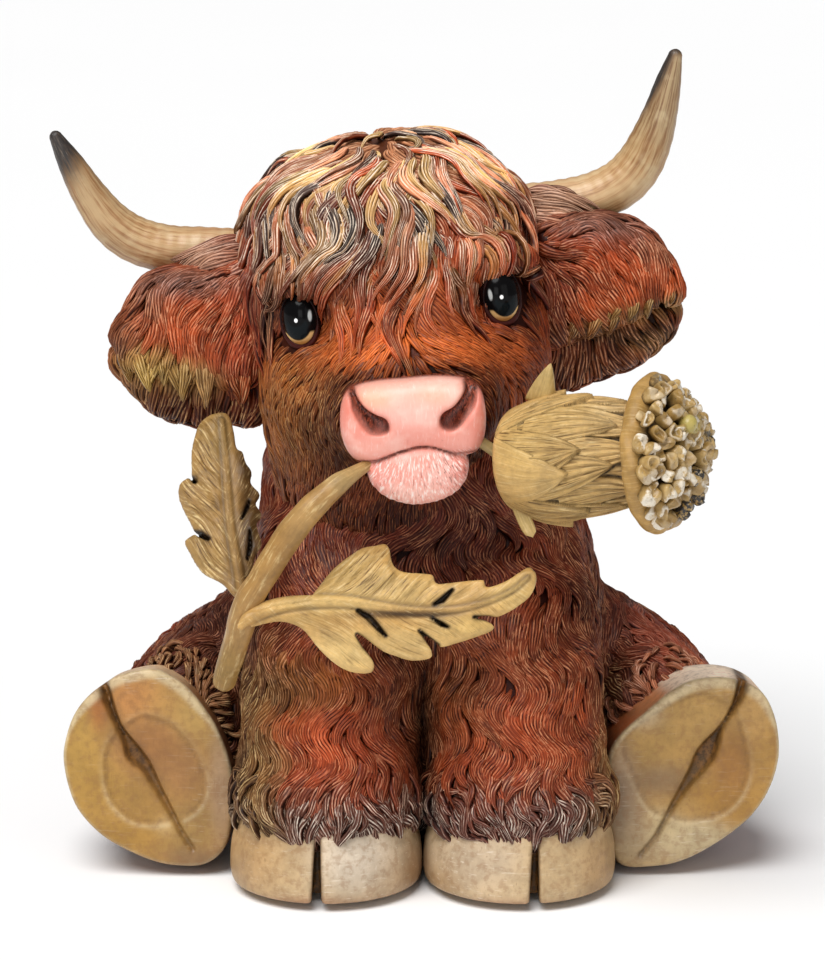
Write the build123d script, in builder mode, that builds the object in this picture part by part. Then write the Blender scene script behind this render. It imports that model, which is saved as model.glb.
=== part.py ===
# Seated calf figurine with a thistle sprig: a set of castings glued and pinned together.
# Millimetres. +Z up, the face looks along -Y, +X is the viewer's right.
# Origin: centre of the footprint, on the surface that the figurine stands on.
import math
import os

from build123d import *

# ---------------------------------------------------------------- driving dimensions
PAD_T = 0.8            # felt pad thickness; every casting starts this far above the surface
GLUE = 0.06            # glue gap round pegs, tenons and domes
MID_X = 3.0            # the body's middle plane
WALL = 6.0             # wall of the hollow body
HOOF_H = 14.5          # front hoof height
LEG_X = (-16.0, 21.8)  # front leg middles
HIND_X = (-50.0, 55.6) # hind foot middles
ROLL = 6.5             # the head leans this many degrees towards -X
HEAD_O = (-1.1, 0.0, 113.2)   # head frame: midway between the eyes, in the row's XY section
SEAM_Z = 82.0          # neck seam height at y = 0
SEAM_TILT = 9.5        # the seam drops this many degrees towards the front
DOWEL_R = 5.0
DOWEL_L = 22.0
PIN_R = 1.25
PIN_L = 12.0
TENON_R = 2.6
PEG_R = 1.2            # mouth peg of the stem and of the bulb
PLUG_R = 11.0
BULB_TURN = 24.0       # the flower head turns this many degrees towards the viewer
BULB_RISE = 6.0        # and rises this many degrees
FLOOR = -2.2           # height of the surface in the layout, which is drawn about the neck's axis
SHIFT = (-1.5, 10.1, 2.2)   # moves the finished layout onto its footprint's centre and the surface to z = 0

OUT = "parts"
os.makedirs(OUT, exist_ok=True)

c, s = math.cos(math.radians(ROLL)), math.sin(math.radians(ROLL))
HX = Vector(c, 0, s)
HZ = Vector(-s, 0, c)
HO = Vector(*HEAD_O)


def save(piece):
    """moves a finished piece from the layout to its place and writes its file"""
    placed = piece.moved(Location(SHIFT))
    placed.label = piece.label
    export_step(placed, f"{OUT}/{placed.label}.step")


def head_point(x, y, z):
    """a point given in the head's own leaning frame"""
    return HO + HX * x + Vector(0, 1, 0) * y + HZ * z


def head_level(z):
    """section plane across the head at height z of its frame; its y axis is the row's +Y"""
    return Plane(origin=tuple(head_point(0, 0, z)), x_dir=tuple(HX), z_dir=tuple(HZ))


def head_front(y):
    """section plane facing forwards at depth y; its y axis is the head's up"""
    return Plane(origin=tuple(head_point(0, y, 0)), x_dir=tuple(HX), z_dir=(0, -1, 0))


def stations(points, radii, x_dir=(0, 1, 0)):
    """planes square to a bent centre line, with the radius at each"""
    pts = [Vector(*p) for p in points]
    out = []
    for i, p in enumerate(pts):
        a, b = pts[max(i - 1, 0)], pts[min(i + 1, len(pts) - 1)]
        t = (b - a).normalized()
        x = Vector(*x_dir)
        x = (x - t * x.dot(t)).normalized()
        out.append((Plane(origin=tuple(p), x_dir=tuple(x), z_dir=tuple(t)), radii[i]))
    return out


def ellipsoid(centre, radii, turn=(0, 0, 0)):
    """a closed ellipsoid, made apart and then added"""
    rx, ry, rz = radii
    ball = Solid.make_sphere(1.0, angle1=-90, angle2=90, angle3=360).transform_geometry(
        Matrix([[rx, 0, 0, 0], [0, ry, 0, 0], [0, 0, rz, 0]]))
    return ball.moved(Location(tuple(centre), turn))


# ---------------------------------------------------------------- body
BASE = FLOOR + PAD_T
TORSO = [  # z, x, y, half width, half depth
    (BASE, 3, 12, 33, 32),
    (9, 3, 12, 38.5, 36),
    (26, 3, 12, 39, 37),
    (42, 3, 8, 37, 35),
    (56, 3, 3, 34, 31.5),
    (68, 2.5, 0, 31.5, 28),
    (80, 2, -2, 29, 26),
    (92, 1, -3, 25, 23),
]
FRONT = [  # z, outward shift from the leg's middle, y, half width, half depth
    (66, 4.0, -10, 15, 14),
    (52, 2.2, -20, 17, 16),
    (38, 1.2, -25, 16.8, 16.5),
    (25, 0.5, -28, 16.6, 16.5),
    (FLOOR + HOOF_H, 0, -29.5, 17.2, 17),
]
HOOF = [(FLOOR + HOOF_H, -29.5, 17.8, 17.6), (5, -30, 18.8, 18.6), (BASE, -30.5, 18.8, 19.0)]
HIND = [  # y, inward shift, z, half width, half height
    (40, 28, 17, 11, 12),
    (30, 20, 21, 19, 17.5),
    (12, 12.5, 24, 22.5, 19),
    (-2, 6, 22.5, 19.5, 18.5),
    (-13, 0.8, 20.5, 17.6, 18.8),
    (-21, 0, 19.8, 17.2, 20.2),
    (-27, 0, 19.8, 15.8, 18.8),
]
TAIL = [(3, 46, 20), (10, 50, 12), (22, 49, 5), (34, 43, 3.2), (43, 34, 3.2)]

seam = Plane(origin=(0, 0, SEAM_Z), x_dir=(1, 0, 0),
             z_dir=(0, -math.sin(math.radians(SEAM_TILT)), math.cos(math.radians(SEAM_TILT))))

with BuildPart() as body_casting:
    for z, x, y, a, b in TORSO:
        with BuildSketch(Plane.XY.offset(z)):
            with Locations((x, y)):
                Ellipse(a, b)
    loft()
    for lx in LEG_X:
        inward = 1 if lx < MID_X else -1
        with BuildPart(mode=Mode.PRIVATE) as leg:
            for z, dx, y, a, b in FRONT:
                with BuildSketch(Plane.XY.offset(z)):
                    with Locations((lx + inward * dx, y)):
                        Ellipse(a, b)
            loft()
        add(leg.part)
        with BuildPart(mode=Mode.PRIVATE) as hoof:
            for z, y, a, b in HOOF:
                with BuildSketch(Plane.XY.offset(z)):
                    with Locations((lx, y)):
                        Ellipse(a, b)
            loft()
            # cleft between the two claws
            with BuildSketch(Plane.XY.offset(FLOOR)):
                with Locations((lx, -48)):
                    Rectangle(1.6, 12)
            extrude(amount=HOOF_H - 0.5, mode=Mode.SUBTRACT)
        add(hoof.part)
    for hx in HIND_X:
        inward = 1 if hx < MID_X else -1
        with BuildPart(mode=Mode.PRIVATE) as hind:
            for y, dx, z, a, b in HIND:
                with BuildSketch(Plane.XZ.offset(-y)):
                    with Locations((hx + inward * dx, z)):
                        Ellipse(a, b)
            loft()
            # cleft across the sole
            with BuildSketch(Plane.XZ.offset(30)):
                with Locations(Location((hx, 21, 0), -inward * 33)):
                    Rectangle(2.2, 44)
            extrude(amount=-7.5, mode=Mode.SUBTRACT)
        add(hind.part)
    # tail laid along the hip
    with BuildPart(mode=Mode.PRIVATE) as tail:
        for plane, r in stations(TAIL, [4.2, 3.6, 3.2, 3.8, 2.6], x_dir=(0, 0, 1)):
            with BuildSketch(plane):
                Circle(r)
        loft()
    add(tail.part)
    # flat underside and neck seam
    split(bisect_by=Plane.XY.offset(BASE), keep=Keep.TOP)
    split(bisect_by=seam, keep=Keep.BOTTOM)
    # hollow core, closed above by the neck and below by the floor of the casting
    with BuildPart(mode=Mode.PRIVATE) as core:
        for z, x, y, a, b in [(r[0], r[1], r[2], r[3] - WALL, r[4] - WALL) for r in TORSO[1:6]]:
            with BuildSketch(Plane.XY.offset(z)):
                with Locations((x, y)):
                    Ellipse(a, b)
        loft()
    add(core.part, mode=Mode.SUBTRACT)
    # pour hole and dowel bore
    with BuildSketch(Plane.XY.offset(FLOOR)):
        with Locations((MID_X, 14)):
            Circle(PLUG_R)
    extrude(amount=14, mode=Mode.SUBTRACT)
    with BuildSketch(seam):
        with Locations((2, 0)):
            Circle(DOWEL_R + GLUE)
    extrude(amount=-(DOWEL_L / 2 + GLUE), mode=Mode.SUBTRACT)
body_casting.part.label = "body_casting"
save(body_casting.part)

# ---------------------------------------------------------------- head
SKULL = [  # height in the head's frame, x, y, half width, half depth
    (29.5, -1, -5, 9, 9),
    (27, -1.2, -5, 18, 17),
    (21, -1.5, -5.5, 25.5, 23),
    (12, -1, -6, 28.6, 27.5),
    (0, 0, -7, 28.8, 29),
    (-12, 0, -9, 28.2, 27.5),
    (-24, -0.5, -10, 26.5, 24),
    (-36, -1, -9, 24.5, 21),
    (-44, -1, -8, 22, 18),
]
MUZZLE = [  # y, height, half width, half height
    (-24, -13, 23, 19),
    (-34, -17, 19.5, 17),
    (-42, -19.5, 16.4, 14.2),
    (-48, -20, 15, 12.4),
    (-52, -19, 12.2, 8.5),
]
EYE_X, EYE_Y, EYE_R = 19.9, -28.0, (4.6, 4.2, 5.8)
MOUTH_Z = -25.0
HORN_IN = 26.5         # how far out from the head's middle plane a horn starts
HORN_Z = 13.5

with BuildPart() as neck_dowel:
    with BuildSketch(seam.offset(-DOWEL_L / 2)):
        with Locations((2, 0)):
            Circle(DOWEL_R)
    extrude(amount=DOWEL_L)
    chamfer(neck_dowel.edges().filter_by(GeomType.CIRCLE), 0.6)
neck_dowel.part.label = "neck_dowel"
save(neck_dowel.part)

# horn centre lines, from the root outwards
HORN_R_PTS = [(-27.5, -3, 118.8), (-33.5, -3, 118.9), (-40, -3, 119.2), (-46.8, -3.2, 119.5), (-53.4, -3.6, 121.4),
              (-58.4, -4, 125), (-62.6, -4.6, 130.8), (-66, -5.2, 137), (-68.6, -6, 142.0)]
HORN_R_RAD = [4.6, 4.6, 4.6, 4.6, 4.5, 4.1, 3.3, 2.4, 1.3]
HORN_L_PTS = [(22.5, -3, 127.8), (28.9, -3, 128.3), (35.7, -3.1, 129.6), (41.4, -3.4, 132.4), (45.1, -3.7, 136.4),
              (47.5, -4.2, 141.4), (49.3, -4.8, 147), (50.7, -5.3, 152.7), (51.9, -5.8, 157.8)]
HORN_L_RAD = [4.5, 4.6, 4.7, 4.7, 4.5, 4.0, 3.2, 2.4, 1.4]


def horn_line(points):
    a, b = Vector(*points[0]), Vector(*points[1])
    return a, (b - a).normalized()


with BuildPart() as horn_pins:
    for pts in (HORN_R_PTS, HORN_L_PTS):
        root, out = horn_line(pts)
        with BuildSketch(Plane(origin=tuple(root - out * PIN_L / 2), x_dir=(0, 1, 0), z_dir=tuple(out))):
            Circle(PIN_R)
        extrude(amount=PIN_L)
horn_pins.part.label = "horn_pins"
save(horn_pins.part)


def make_horn(points, radii):
    root, out = horn_line(points)
    with BuildPart() as horn:
        for plane, r in stations(points, radii):
            with BuildSketch(plane):
                Circle(r)
        loft()
        with Locations(Location(points[-1])):
            Sphere(radii[-1])
        with BuildSketch(Plane(origin=tuple(root - out * 1), x_dir=(0, 1, 0), z_dir=tuple(out))):
            Circle(PIN_R + GLUE)
        extrude(amount=PIN_L / 2 + 1 + GLUE, mode=Mode.SUBTRACT)
    return horn


horn_right = make_horn(HORN_R_PTS, HORN_R_RAD)
horn_right.part.label = "horn_right"
save(horn_right.part)
horn_left = make_horn(HORN_L_PTS, HORN_L_RAD)
horn_left.part.label = "horn_left"
save(horn_left.part)


def make_eye(side):
    with BuildPart() as eye:
        add(ellipsoid(head_point(side * EYE_X, EYE_Y, 0), EYE_R, (0, -ROLL, side * 24)))
    return eye


eye_right = make_eye(-1)
eye_right.part.label = "eye_right"
save(eye_right.part)
eye_left = make_eye(1)
eye_left.part.label = "eye_left"
save(eye_left.part)

# ears: cupped flaps that reach out sideways from below the horns
EAR = {
    "right": dict(root=(-23.5, -5, 105), mid=(-41.0, -8, 99.8), r=(17.2, 8.5, 14.6), turn=(0, 14, -8)),
    "left": dict(root=(22, -5, 112), mid=(36.2, -8, 109.6), r=(17.6, 8.5, 14.6), turn=(0, -8, 8)),
}

MOUTH_A = head_point(-9.5, -46.5, MOUTH_Z)
MOUTH_B = head_point(9.5, -46.5, MOUTH_Z + 0.4)
ACROSS = (MOUTH_B - MOUTH_A).normalized()

with BuildPart() as head_casting:
    for z, x, y, a, b in SKULL:
        with BuildSketch(head_level(z)):
            with Locations((x, y)):
                Ellipse(b, a, rotation=90)
    loft()
    with BuildPart(mode=Mode.PRIVATE) as muzzle:
        for y, z, a, b in MUZZLE:
            with BuildSketch(head_front(y)):
                with Locations((0, z)):
                    Ellipse(a, b)
        loft()
    add(muzzle.part)
    # nose pad and lower lip
    add(ellipsoid(head_point(0, -46.5, -15.6), (14.0, 6.6, 7.4), (0, -ROLL, 0)))
    add(ellipsoid(head_point(-0.6, -44.5, -29.4), (10.2, 7.2, 5.6), (0, -ROLL, 0)))
    # nostrils
    for side in (-1, 1):
        add(ellipsoid(head_point(side * 9.2, -52.2, -14.5), (2.3, 3.0, 3.6), (0, -ROLL + side * 28, 0)),
            mode=Mode.SUBTRACT)
    # mouth slit
    with BuildSketch(head_front(-42)):
        with Locations((0, MOUTH_Z)):
            Rectangle(24, 0.9)
    extrude(amount=14, mode=Mode.SUBTRACT)
    # flat neck seam, a glue gap above the body's
    split(bisect_by=seam.offset(GLUE), keep=Keep.TOP)
    with BuildSketch(seam):
        with Locations((2, 0)):
            Circle(DOWEL_R + GLUE)
    extrude(amount=DOWEL_L / 2 + GLUE, mode=Mode.SUBTRACT)
    # bore across the mouth for the sprig's two pegs
    with BuildSketch(Plane(origin=tuple(MOUTH_A - ACROSS * 12), z_dir=tuple(ACROSS))):
        Circle(PEG_R + GLUE)
    extrude(amount=43, mode=Mode.SUBTRACT)
    # eye sockets
    for side in (-1, 1):
        add(ellipsoid(head_point(side * EYE_X, EYE_Y, 0), tuple(r + GLUE for r in EYE_R), (0, -ROLL, side * 24)),
            mode=Mode.SUBTRACT)
    # horn seats and pin bores
    for pts, rad in ((HORN_R_PTS, HORN_R_RAD), (HORN_L_PTS, HORN_L_RAD)):
        root, out = horn_line(pts)
        with BuildSketch(Plane(origin=tuple(root - out * GLUE), x_dir=(0, 1, 0), z_dir=tuple(out))):
            Circle(rad[0] + 0.8)
        extrude(amount=12, mode=Mode.SUBTRACT)
        with BuildSketch(Plane(origin=tuple(root - out * (PIN_L / 2 + GLUE)), x_dir=(0, 1, 0), z_dir=tuple(out))):
            Circle(PIN_R + GLUE)
        extrude(amount=PIN_L / 2 + 2, mode=Mode.SUBTRACT)
    # ear tenon sockets
    for ear in EAR.values():
        a, b = Vector(*ear["root"]), Vector(*ear["mid"])
        t = (b - a).normalized()
        with BuildSketch(Plane(origin=tuple(a - t * (4 + GLUE)), z_dir=tuple(t))):
            Circle(TENON_R + GLUE)
        extrude(amount=14, mode=Mode.SUBTRACT)
head_casting.part.label = "head_casting"
save(head_casting.part)


def make_ear(ear):
    a, b = Vector(*ear["root"]), Vector(*ear["mid"])
    t = (b - a).normalized()
    rx, ry, rz = ear["r"]
    with BuildPart() as flap:
        add(ellipsoid(ear["mid"], (rx, ry, rz), ear["turn"]))
        # the cup opens downwards and forwards
        add(ellipsoid((b.X + (1 if b.X > 0 else -1) * 3, b.Y - 4.5, b.Z - rz * 0.62),
                      (rx * 0.66, ry * 0.8, rz * 0.6), ear["turn"]), mode=Mode.SUBTRACT)
        # seat against the head, the horn above it and the tenon
        add(head_casting.part, mode=Mode.SUBTRACT)
        with BuildSketch(Plane(origin=tuple(a - t * 4), z_dir=tuple(t))):
            Circle(TENON_R)
        extrude(amount=12)
        add(horn_right.part, mode=Mode.SUBTRACT)
        add(horn_left.part, mode=Mode.SUBTRACT)
        add(body_casting.part, mode=Mode.SUBTRACT)
    return flap


ear_right = make_ear(EAR["right"])
ear_right.part.label = "ear_right"
save(ear_right.part)
ear_left = make_ear(EAR["left"])
ear_left.part.label = "ear_left"
save(ear_left.part)

# ---------------------------------------------------------------- thistle sprig
PEG_END = MOUTH_A - ACROSS * 4.0
STEM_PTS = [tuple(PEG_END), (-12.9, -49.6, 84.4), (-15.0, -52.2, 81.2), (-18.4, -54.0, 77.6), (-23.1, -55.0, 71.6),
            (-27.6, -54.5, 65.0), (-30.3, -53.4, 59.6), (-32.2, -51.4, 52.6), (-34.2, -48.6, 45.0), (-34.9, -47.6, 42.4)]
STEM_RAD = [1.25, 1.6, 2.0, 2.4, 2.5, 2.5, 2.5, 2.4, 2.2, 2.0]

with BuildPart() as thistle_stem:
    for plane, r in stations(STEM_PTS, STEM_RAD, x_dir=(0.7, 0, 0.7)):
        with BuildSketch(plane):
            Circle(r)
    loft()
    for end in (0, -1):
        with Locations(Location(STEM_PTS[end])):
            Sphere(STEM_RAD[end] * 1.02)
    add(head_casting.part, mode=Mode.SUBTRACT)
    with BuildSketch(Plane(origin=tuple(MOUTH_A + ACROSS * 5.5), z_dir=tuple(ACROSS * -1))):
        Circle(PEG_R)
    extrude(amount=9.5)
    add(body_casting.part, mode=Mode.SUBTRACT)
thistle_stem.part.label = "thistle_stem"
save(thistle_stem.part)

turn, rise = math.radians(BULB_TURN), math.radians(BULB_RISE)
BULB_AXIS = Vector(math.cos(turn) * math.cos(rise), -math.sin(turn) * math.cos(rise), math.sin(rise))
BULB_O = Vector(17.8, -46.8, 86.7)      # where the cup starts, beside the mouth
BULB_SIDE = Vector(0, 0, 1).cross(BULB_AXIS).normalized()
BULB_UP = BULB_AXIS.cross(BULB_SIDE)
BULB_L = 29.0
BULB_PROFILE = [(0, 0), (3.0, 0.0), (6.4, 1.2), (9.6, 4.0), (11.6, 8.5), (12.4, 14.0), (12.0, 19.5), (10.9, 24.5),
                (10.4, BULB_L), (0, BULB_L)]
RIM_R = 15.2

with BuildPart() as thistle_bulb:
    # the cup is turned about the flower's axis
    with BuildSketch(Plane(origin=tuple(BULB_O), x_dir=tuple(BULB_UP), z_dir=tuple(BULB_UP.cross(BULB_AXIS)))):
        with BuildLine():
            Polyline(*BULB_PROFILE[:2])
            Spline(*BULB_PROFILE[1:-1])
            Polyline(*BULB_PROFILE[-2:], BULB_PROFILE[0])
        make_face()
    revolve(axis=Axis(tuple(BULB_O), tuple(BULB_AXIS)))
    # bract tips that stand off the cup
    for ang, h, out_r in ((0, 9.0, 17.5), (64, 3.5, 13.5), (128, 6.0, 14.5), (176, 3.0, 17.5), (236, 5.0, 14.0),
                          (300, 4.0, 14.0)):
        a = math.radians(ang)
        radial = BULB_UP * math.cos(a) + BULB_SIDE * math.sin(a)
        base = BULB_O + BULB_AXIS * (h + 1.5) + radial * 6.5
        tip = BULB_O + BULB_AXIS * (h - 0.5) + radial * out_r
        with BuildPart(mode=Mode.PRIVATE) as bract:
            with BuildSketch(Plane(origin=tuple(base), z_dir=tuple((tip - base).normalized()))):
                Circle(2.9)
            with BuildSketch(Plane(origin=tuple(tip), z_dir=tuple((tip - base).normalized()))):
                Circle(0.35)
            loft()
        add(bract.part)
    add(head_casting.part, mode=Mode.SUBTRACT)
    # stalk that pegs into the mouth
    inner = MOUTH_B - ACROSS * 5.5
    with BuildSketch(Plane(origin=tuple(inner), z_dir=tuple(ACROSS))):
        Circle(PEG_R)
    extrude(amount=(MOUTH_B - inner).length + 4.5)
    bend = MOUTH_B + ACROSS * 4.5
    with BuildPart(mode=Mode.PRIVATE) as stalk:
        with BuildSketch(Plane(origin=tuple(bend - ACROSS), z_dir=tuple((BULB_O + BULB_AXIS * 2 - bend).normalized()))):
            Circle(PEG_R + 0.3)
        extrude(amount=(BULB_O + BULB_AXIS * 2 - bend).length + 1)
        add(head_casting.part, mode=Mode.SUBTRACT)
    add(stalk.part)
thistle_bulb.part.label = "thistle_bulb"
save(thistle_bulb.part)

with BuildPart() as thistle_florets:
    # rim disc and domed cushion
    with BuildSketch(Plane(origin=tuple(BULB_O), x_dir=tuple(BULB_UP), z_dir=tuple(BULB_UP.cross(BULB_AXIS)))):
        with BuildLine():
            Polyline((0, BULB_L + GLUE), (12.0, BULB_L + GLUE), (RIM_R - 0.6, BULB_L + 0.8))
            Spline((RIM_R - 0.6, BULB_L + 0.8), (RIM_R, BULB_L + 1.8), (RIM_R - 0.5, BULB_L + 3.0), (13.2, BULB_L + 6.0),
                   (9.0, BULB_L + 8.6), (4.0, BULB_L + 9.8), (0, BULB_L + 10.0))
            Line((0, BULB_L + 10.0), (0, BULB_L + GLUE))
        make_face()
    revolve(axis=Axis(tuple(BULB_O), tuple(BULB_AXIS)))
    # rings of floret knobs
    for count, ring, low, high in ((1, 0.0, 6, 11.4), (6, 4.6, 6, 11.0), (11, 8.8, 5, 9.8), (16, 12.4, 3, 7.4)):
        for k in range(count):
            a = 2 * math.pi * (k + 0.5 * (count % 2)) / count
            foot = BULB_O + BULB_AXIS * (BULB_L + low) + (BULB_UP * math.cos(a) + BULB_SIDE * math.sin(a)) * ring * 0.9
            top = BULB_O + BULB_AXIS * (BULB_L + high) + (BULB_UP * math.cos(a) + BULB_SIDE * math.sin(a)) * ring
            with BuildSketch(Plane(origin=tuple(foot), z_dir=tuple((top - foot).normalized()))):
                Circle(1.45)
            extrude(amount=(top - foot).length)
thistle_florets.part.label = "thistle_florets"
save(thistle_florets.part)

# ---------------------------------------------------------------- leaves
LEAF_T = 1.8
LEAF_FRONT = dict(o=(-30, -54.5, 58.5), x=(0.9847, 0.128, 0.1182), z=(0.0945, -0.9623, 0.255), edge=[
    (0.5, 0.1), (5.4, 1.7), (11.4, 2.1), (16.4, 4.8), (20.6, 7.8), (25.0, 9.4), (28.0, 8.8), (29.6, 6.5), (28.8, 3.9),
    (31.8, 3.5), (34.7, 2.7), (36.0, 0.6), (39.6, 0.5), (44.9, -0.1), (45.4, -1.7), (49.0, -0.9), (52.0, 0.2),
    (55.0, -0.3), (53.4, -3.5), (50.7, -5.7), (47.8, -7.6), (42.9, -6.9), (45.4, -9.3), (40.7, -11.1), (34.9, -11.8),
    (31.7, -8.5), (33.7, -12.4), (30.4, -13.4), (25.3, -12.3), (19.6, -7.0), (22.1, -14.6), (17.7, -14.5),
    (14.7, -12.6), (10.8, -6.9), (7.4, -4.7), (4.3, -2.0), (1.1, -1.9)],
    rib=[(0.0, -1.0), (8.8, 1.4), (20.5, -0.4), (34.1, -4.2), (46.0, -5.4), (53.0, -2.0)])
LEAF_SIDE = dict(o=(-32.2, -47.5, 58.0), x=(-0.1447, 0.7234, 0.6751), z=(0.0019, -0.6821, 0.7312), edge=[
    (2.1, 0.6), (5.6, 2.5), (12.2, 6.9), (17.3, 8.2), (18.9, 6.5), (23.5, 7.1), (29.3, 8.0), (33.3, 6.0), (36.4, 6.1),
    (39.0, 4.2), (41.5, 3.1), (44.2, 1.1), (44.7, -2.0), (42.9, -4.5), (39.8, -4.1), (36.4, -5.9), (34.3, -7.0),
    (32.5, -6.4), (30.5, -6.9), (28.5, -7.0), (26.3, -7.7), (24.3, -6.9), (22.3, -7.3), (19.2, -5.9), (14.1, -5.7),
    (10.2, -3.6), (4.7, -1.8), (1.4, -0.7)],
    rib=[(1.0, -0.3), (5.2, -1.5), (18.2, -1.3), (30.2, -0.8), (41.3, -1.7)])


def make_leaf(leaf):
    plane = Plane(origin=leaf["o"], x_dir=leaf["x"], z_dir=leaf["z"])
    rib = leaf["rib"]
    with BuildPart() as blade:
        with BuildSketch(plane.offset(-LEAF_T / 2)):
            with BuildLine():
                Polyline(*leaf["edge"], close=True)
            make_face()
        extrude(amount=LEAF_T)
        # midrib, narrowing to the tip
        with BuildSketch(plane):
            with BuildLine():
                n = len(rib) - 1
                Polyline(*[(x, y + 0.9 * (1 - 0.7 * i / n)) for i, (x, y) in enumerate(rib)],
                         *[(x, y - 0.9 * (1 - 0.7 * i / n)) for i, (x, y) in reversed(list(enumerate(rib)))], close=True)
            make_face()
        extrude(amount=LEAF_T / 2 + 0.6)
        for other in (thistle_stem, body_casting, head_casting, ear_right):
            add(other.part, mode=Mode.SUBTRACT)
    return blade


thistle_leaf_front = make_leaf(LEAF_FRONT)
thistle_leaf_front.part.label = "thistle_leaf_front"
save(thistle_leaf_front.part)
thistle_leaf_side = make_leaf(LEAF_SIDE)
thistle_leaf_side.part.label = "thistle_leaf_side"
save(thistle_leaf_side.part)

# ---------------------------------------------------------------- plug and felt pads
with BuildPart() as base_plug:
    with BuildSketch(Plane.XY.offset(BASE)):
        with Locations((MID_X, 14)):
            Circle(PLUG_R - GLUE)
    extrude(amount=5)
    chamfer(base_plug.edges().group_by(Axis.Z)[-1], 0.8)
base_plug.part.label = "base_plug"
save(base_plug.part)

PADS = [(LEG_X[0], -29), (LEG_X[1], -29), (MID_X - 22, 24), (MID_X + 22, 24)]
with BuildPart() as felt_pads:
    with BuildSketch(Plane.XY.offset(FLOOR)):
        with Locations(*PADS):
            Circle(6.0)
    extrude(amount=PAD_T)
felt_pads.part.label = "felt_pads"
save(felt_pads.part)
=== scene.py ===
import math

import bpy
import numpy as np
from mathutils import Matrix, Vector


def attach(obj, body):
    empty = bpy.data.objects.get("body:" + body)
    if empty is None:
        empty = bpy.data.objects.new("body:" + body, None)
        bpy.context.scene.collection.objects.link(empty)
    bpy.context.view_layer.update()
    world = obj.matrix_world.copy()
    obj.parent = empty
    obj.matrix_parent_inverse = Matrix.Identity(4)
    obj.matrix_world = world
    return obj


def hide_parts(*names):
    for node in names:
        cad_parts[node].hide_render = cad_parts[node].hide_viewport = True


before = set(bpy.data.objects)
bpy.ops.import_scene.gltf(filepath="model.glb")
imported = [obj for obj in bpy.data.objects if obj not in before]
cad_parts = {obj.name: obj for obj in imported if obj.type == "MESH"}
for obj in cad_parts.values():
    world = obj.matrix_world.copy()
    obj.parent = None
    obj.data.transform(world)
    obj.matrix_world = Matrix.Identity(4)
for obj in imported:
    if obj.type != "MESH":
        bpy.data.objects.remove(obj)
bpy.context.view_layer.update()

# The layout is in millimetres about the neck's axis, as in the part's own source; SHIFT moves it to the row frame.
SHIFT = np.array([-1.5, 10.1, 2.2])
FLOOR = -2.2
F32 = np.float32


# ------------------------------------------------------------------ small maths
def unit(v, axis=-1):
    v = np.asarray(v, float)
    return v / np.maximum(np.linalg.norm(v, axis=axis, keepdims=True), 1e-9)


def smooth(x, a, b):
    t = np.clip((x - a) / (b - a), 0, 1)
    return t * t * (3 - 2 * t)


def smin(a, b, k):
    h = np.clip(0.5 + 0.5 * (b - a) / k, 0, 1)
    return b + (a - b) * h - k * h * (1 - h)


def smax(a, b, k):
    return -smin(-a, -b, k)


def ellipsoid(p, c, r):
    x, y, z = (p[0] - c[0], p[1] - c[1], p[2] - c[2])
    k0 = np.sqrt((x / r[0]) ** 2 + (y / r[1]) ** 2 + (z / r[2]) ** 2) + 1e-6
    k1 = np.sqrt((x / r[0] ** 2) ** 2 + (y / r[1] ** 2) ** 2 + (z / r[2] ** 2) ** 2) + 1e-6
    return k0 * (k0 - 1) / k1


def turned(p, c, axes):
    """coordinates of p about c in a turned frame; axes are three unit rows"""
    d = [p[i] - c[i] for i in range(3)]
    return tuple(d[0] * a[0] + d[1] * a[1] + d[2] * a[2] for a in axes)


def capsule(p, a, b, ra, rb):
    a, b = np.asarray(a, float), np.asarray(b, float)
    ab = b - a
    t = ((p[0] - a[0]) * ab[0] + (p[1] - a[1]) * ab[1] + (p[2] - a[2]) * ab[2]) / float(ab @ ab)
    t = np.clip(t, 0, 1)
    d = np.sqrt((p[0] - a[0] - ab[0] * t) ** 2 + (p[1] - a[1] - ab[1] * t) ** 2 + (p[2] - a[2] - ab[2] * t) ** 2)
    return d - (ra + (rb - ra) * t)


def stack(u, v, w, rows, end=2.0):
    """a stack of ellipses: rows are (w, centre u, centre v, half u, half v), rounded off at both ends"""
    rows = np.array(sorted(rows), float)
    ws = rows[:, 0]
    fine = np.linspace(ws[0], ws[-1], 160)
    cols = []
    for k in range(1, 5):
        y = rows[:, k]
        m = np.gradient(y, ws)
        i = np.clip(np.searchsorted(ws, fine) - 1, 0, len(ws) - 2)
        h = ws[i + 1] - ws[i]
        t = (fine - ws[i]) / h
        cols.append((2 * t ** 3 - 3 * t ** 2 + 1) * y[i] + (t ** 3 - 2 * t ** 2 + t) * h * m[i]
                    + (-2 * t ** 3 + 3 * t ** 2) * y[i + 1] + (t ** 3 - t ** 2) * h * m[i + 1])
    wc = np.clip(w, ws[0], ws[-1])
    cu, cv, a, b = (np.interp(wc, fine, col) for col in cols)
    x, y = (u - cu), (v - cv)
    k0 = np.sqrt((x / a) ** 2 + (y / b) ** 2) + 1e-6
    k1 = np.sqrt((x / a ** 2) ** 2 + (y / b ** 2) ** 2) + 1e-6
    d = k0 * (k0 - 1) / k1
    over = np.maximum(ws[0] - w, w - ws[-1]) + end
    return smax(d, over, end * 1.5) if end else np.maximum(d, np.maximum(ws[0] - w, w - ws[-1]))


# ------------------------------------------------------------------ smooth repeatable noise
def _hash(ix, iy, iz, seed):
    n = (ix.astype(np.int64) * 374761393 + iy.astype(np.int64) * 668265263 + iz.astype(np.int64) * 2147483647
         + seed * 1274126177) & 0x7FFFFFFF
    n = ((n ^ (n >> 13)) * 1274126177) & 0x7FFFFFFF
    n = n ^ (n >> 16)
    return (n & 0xFFFFFF) / float(0xFFFFFF)


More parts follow.
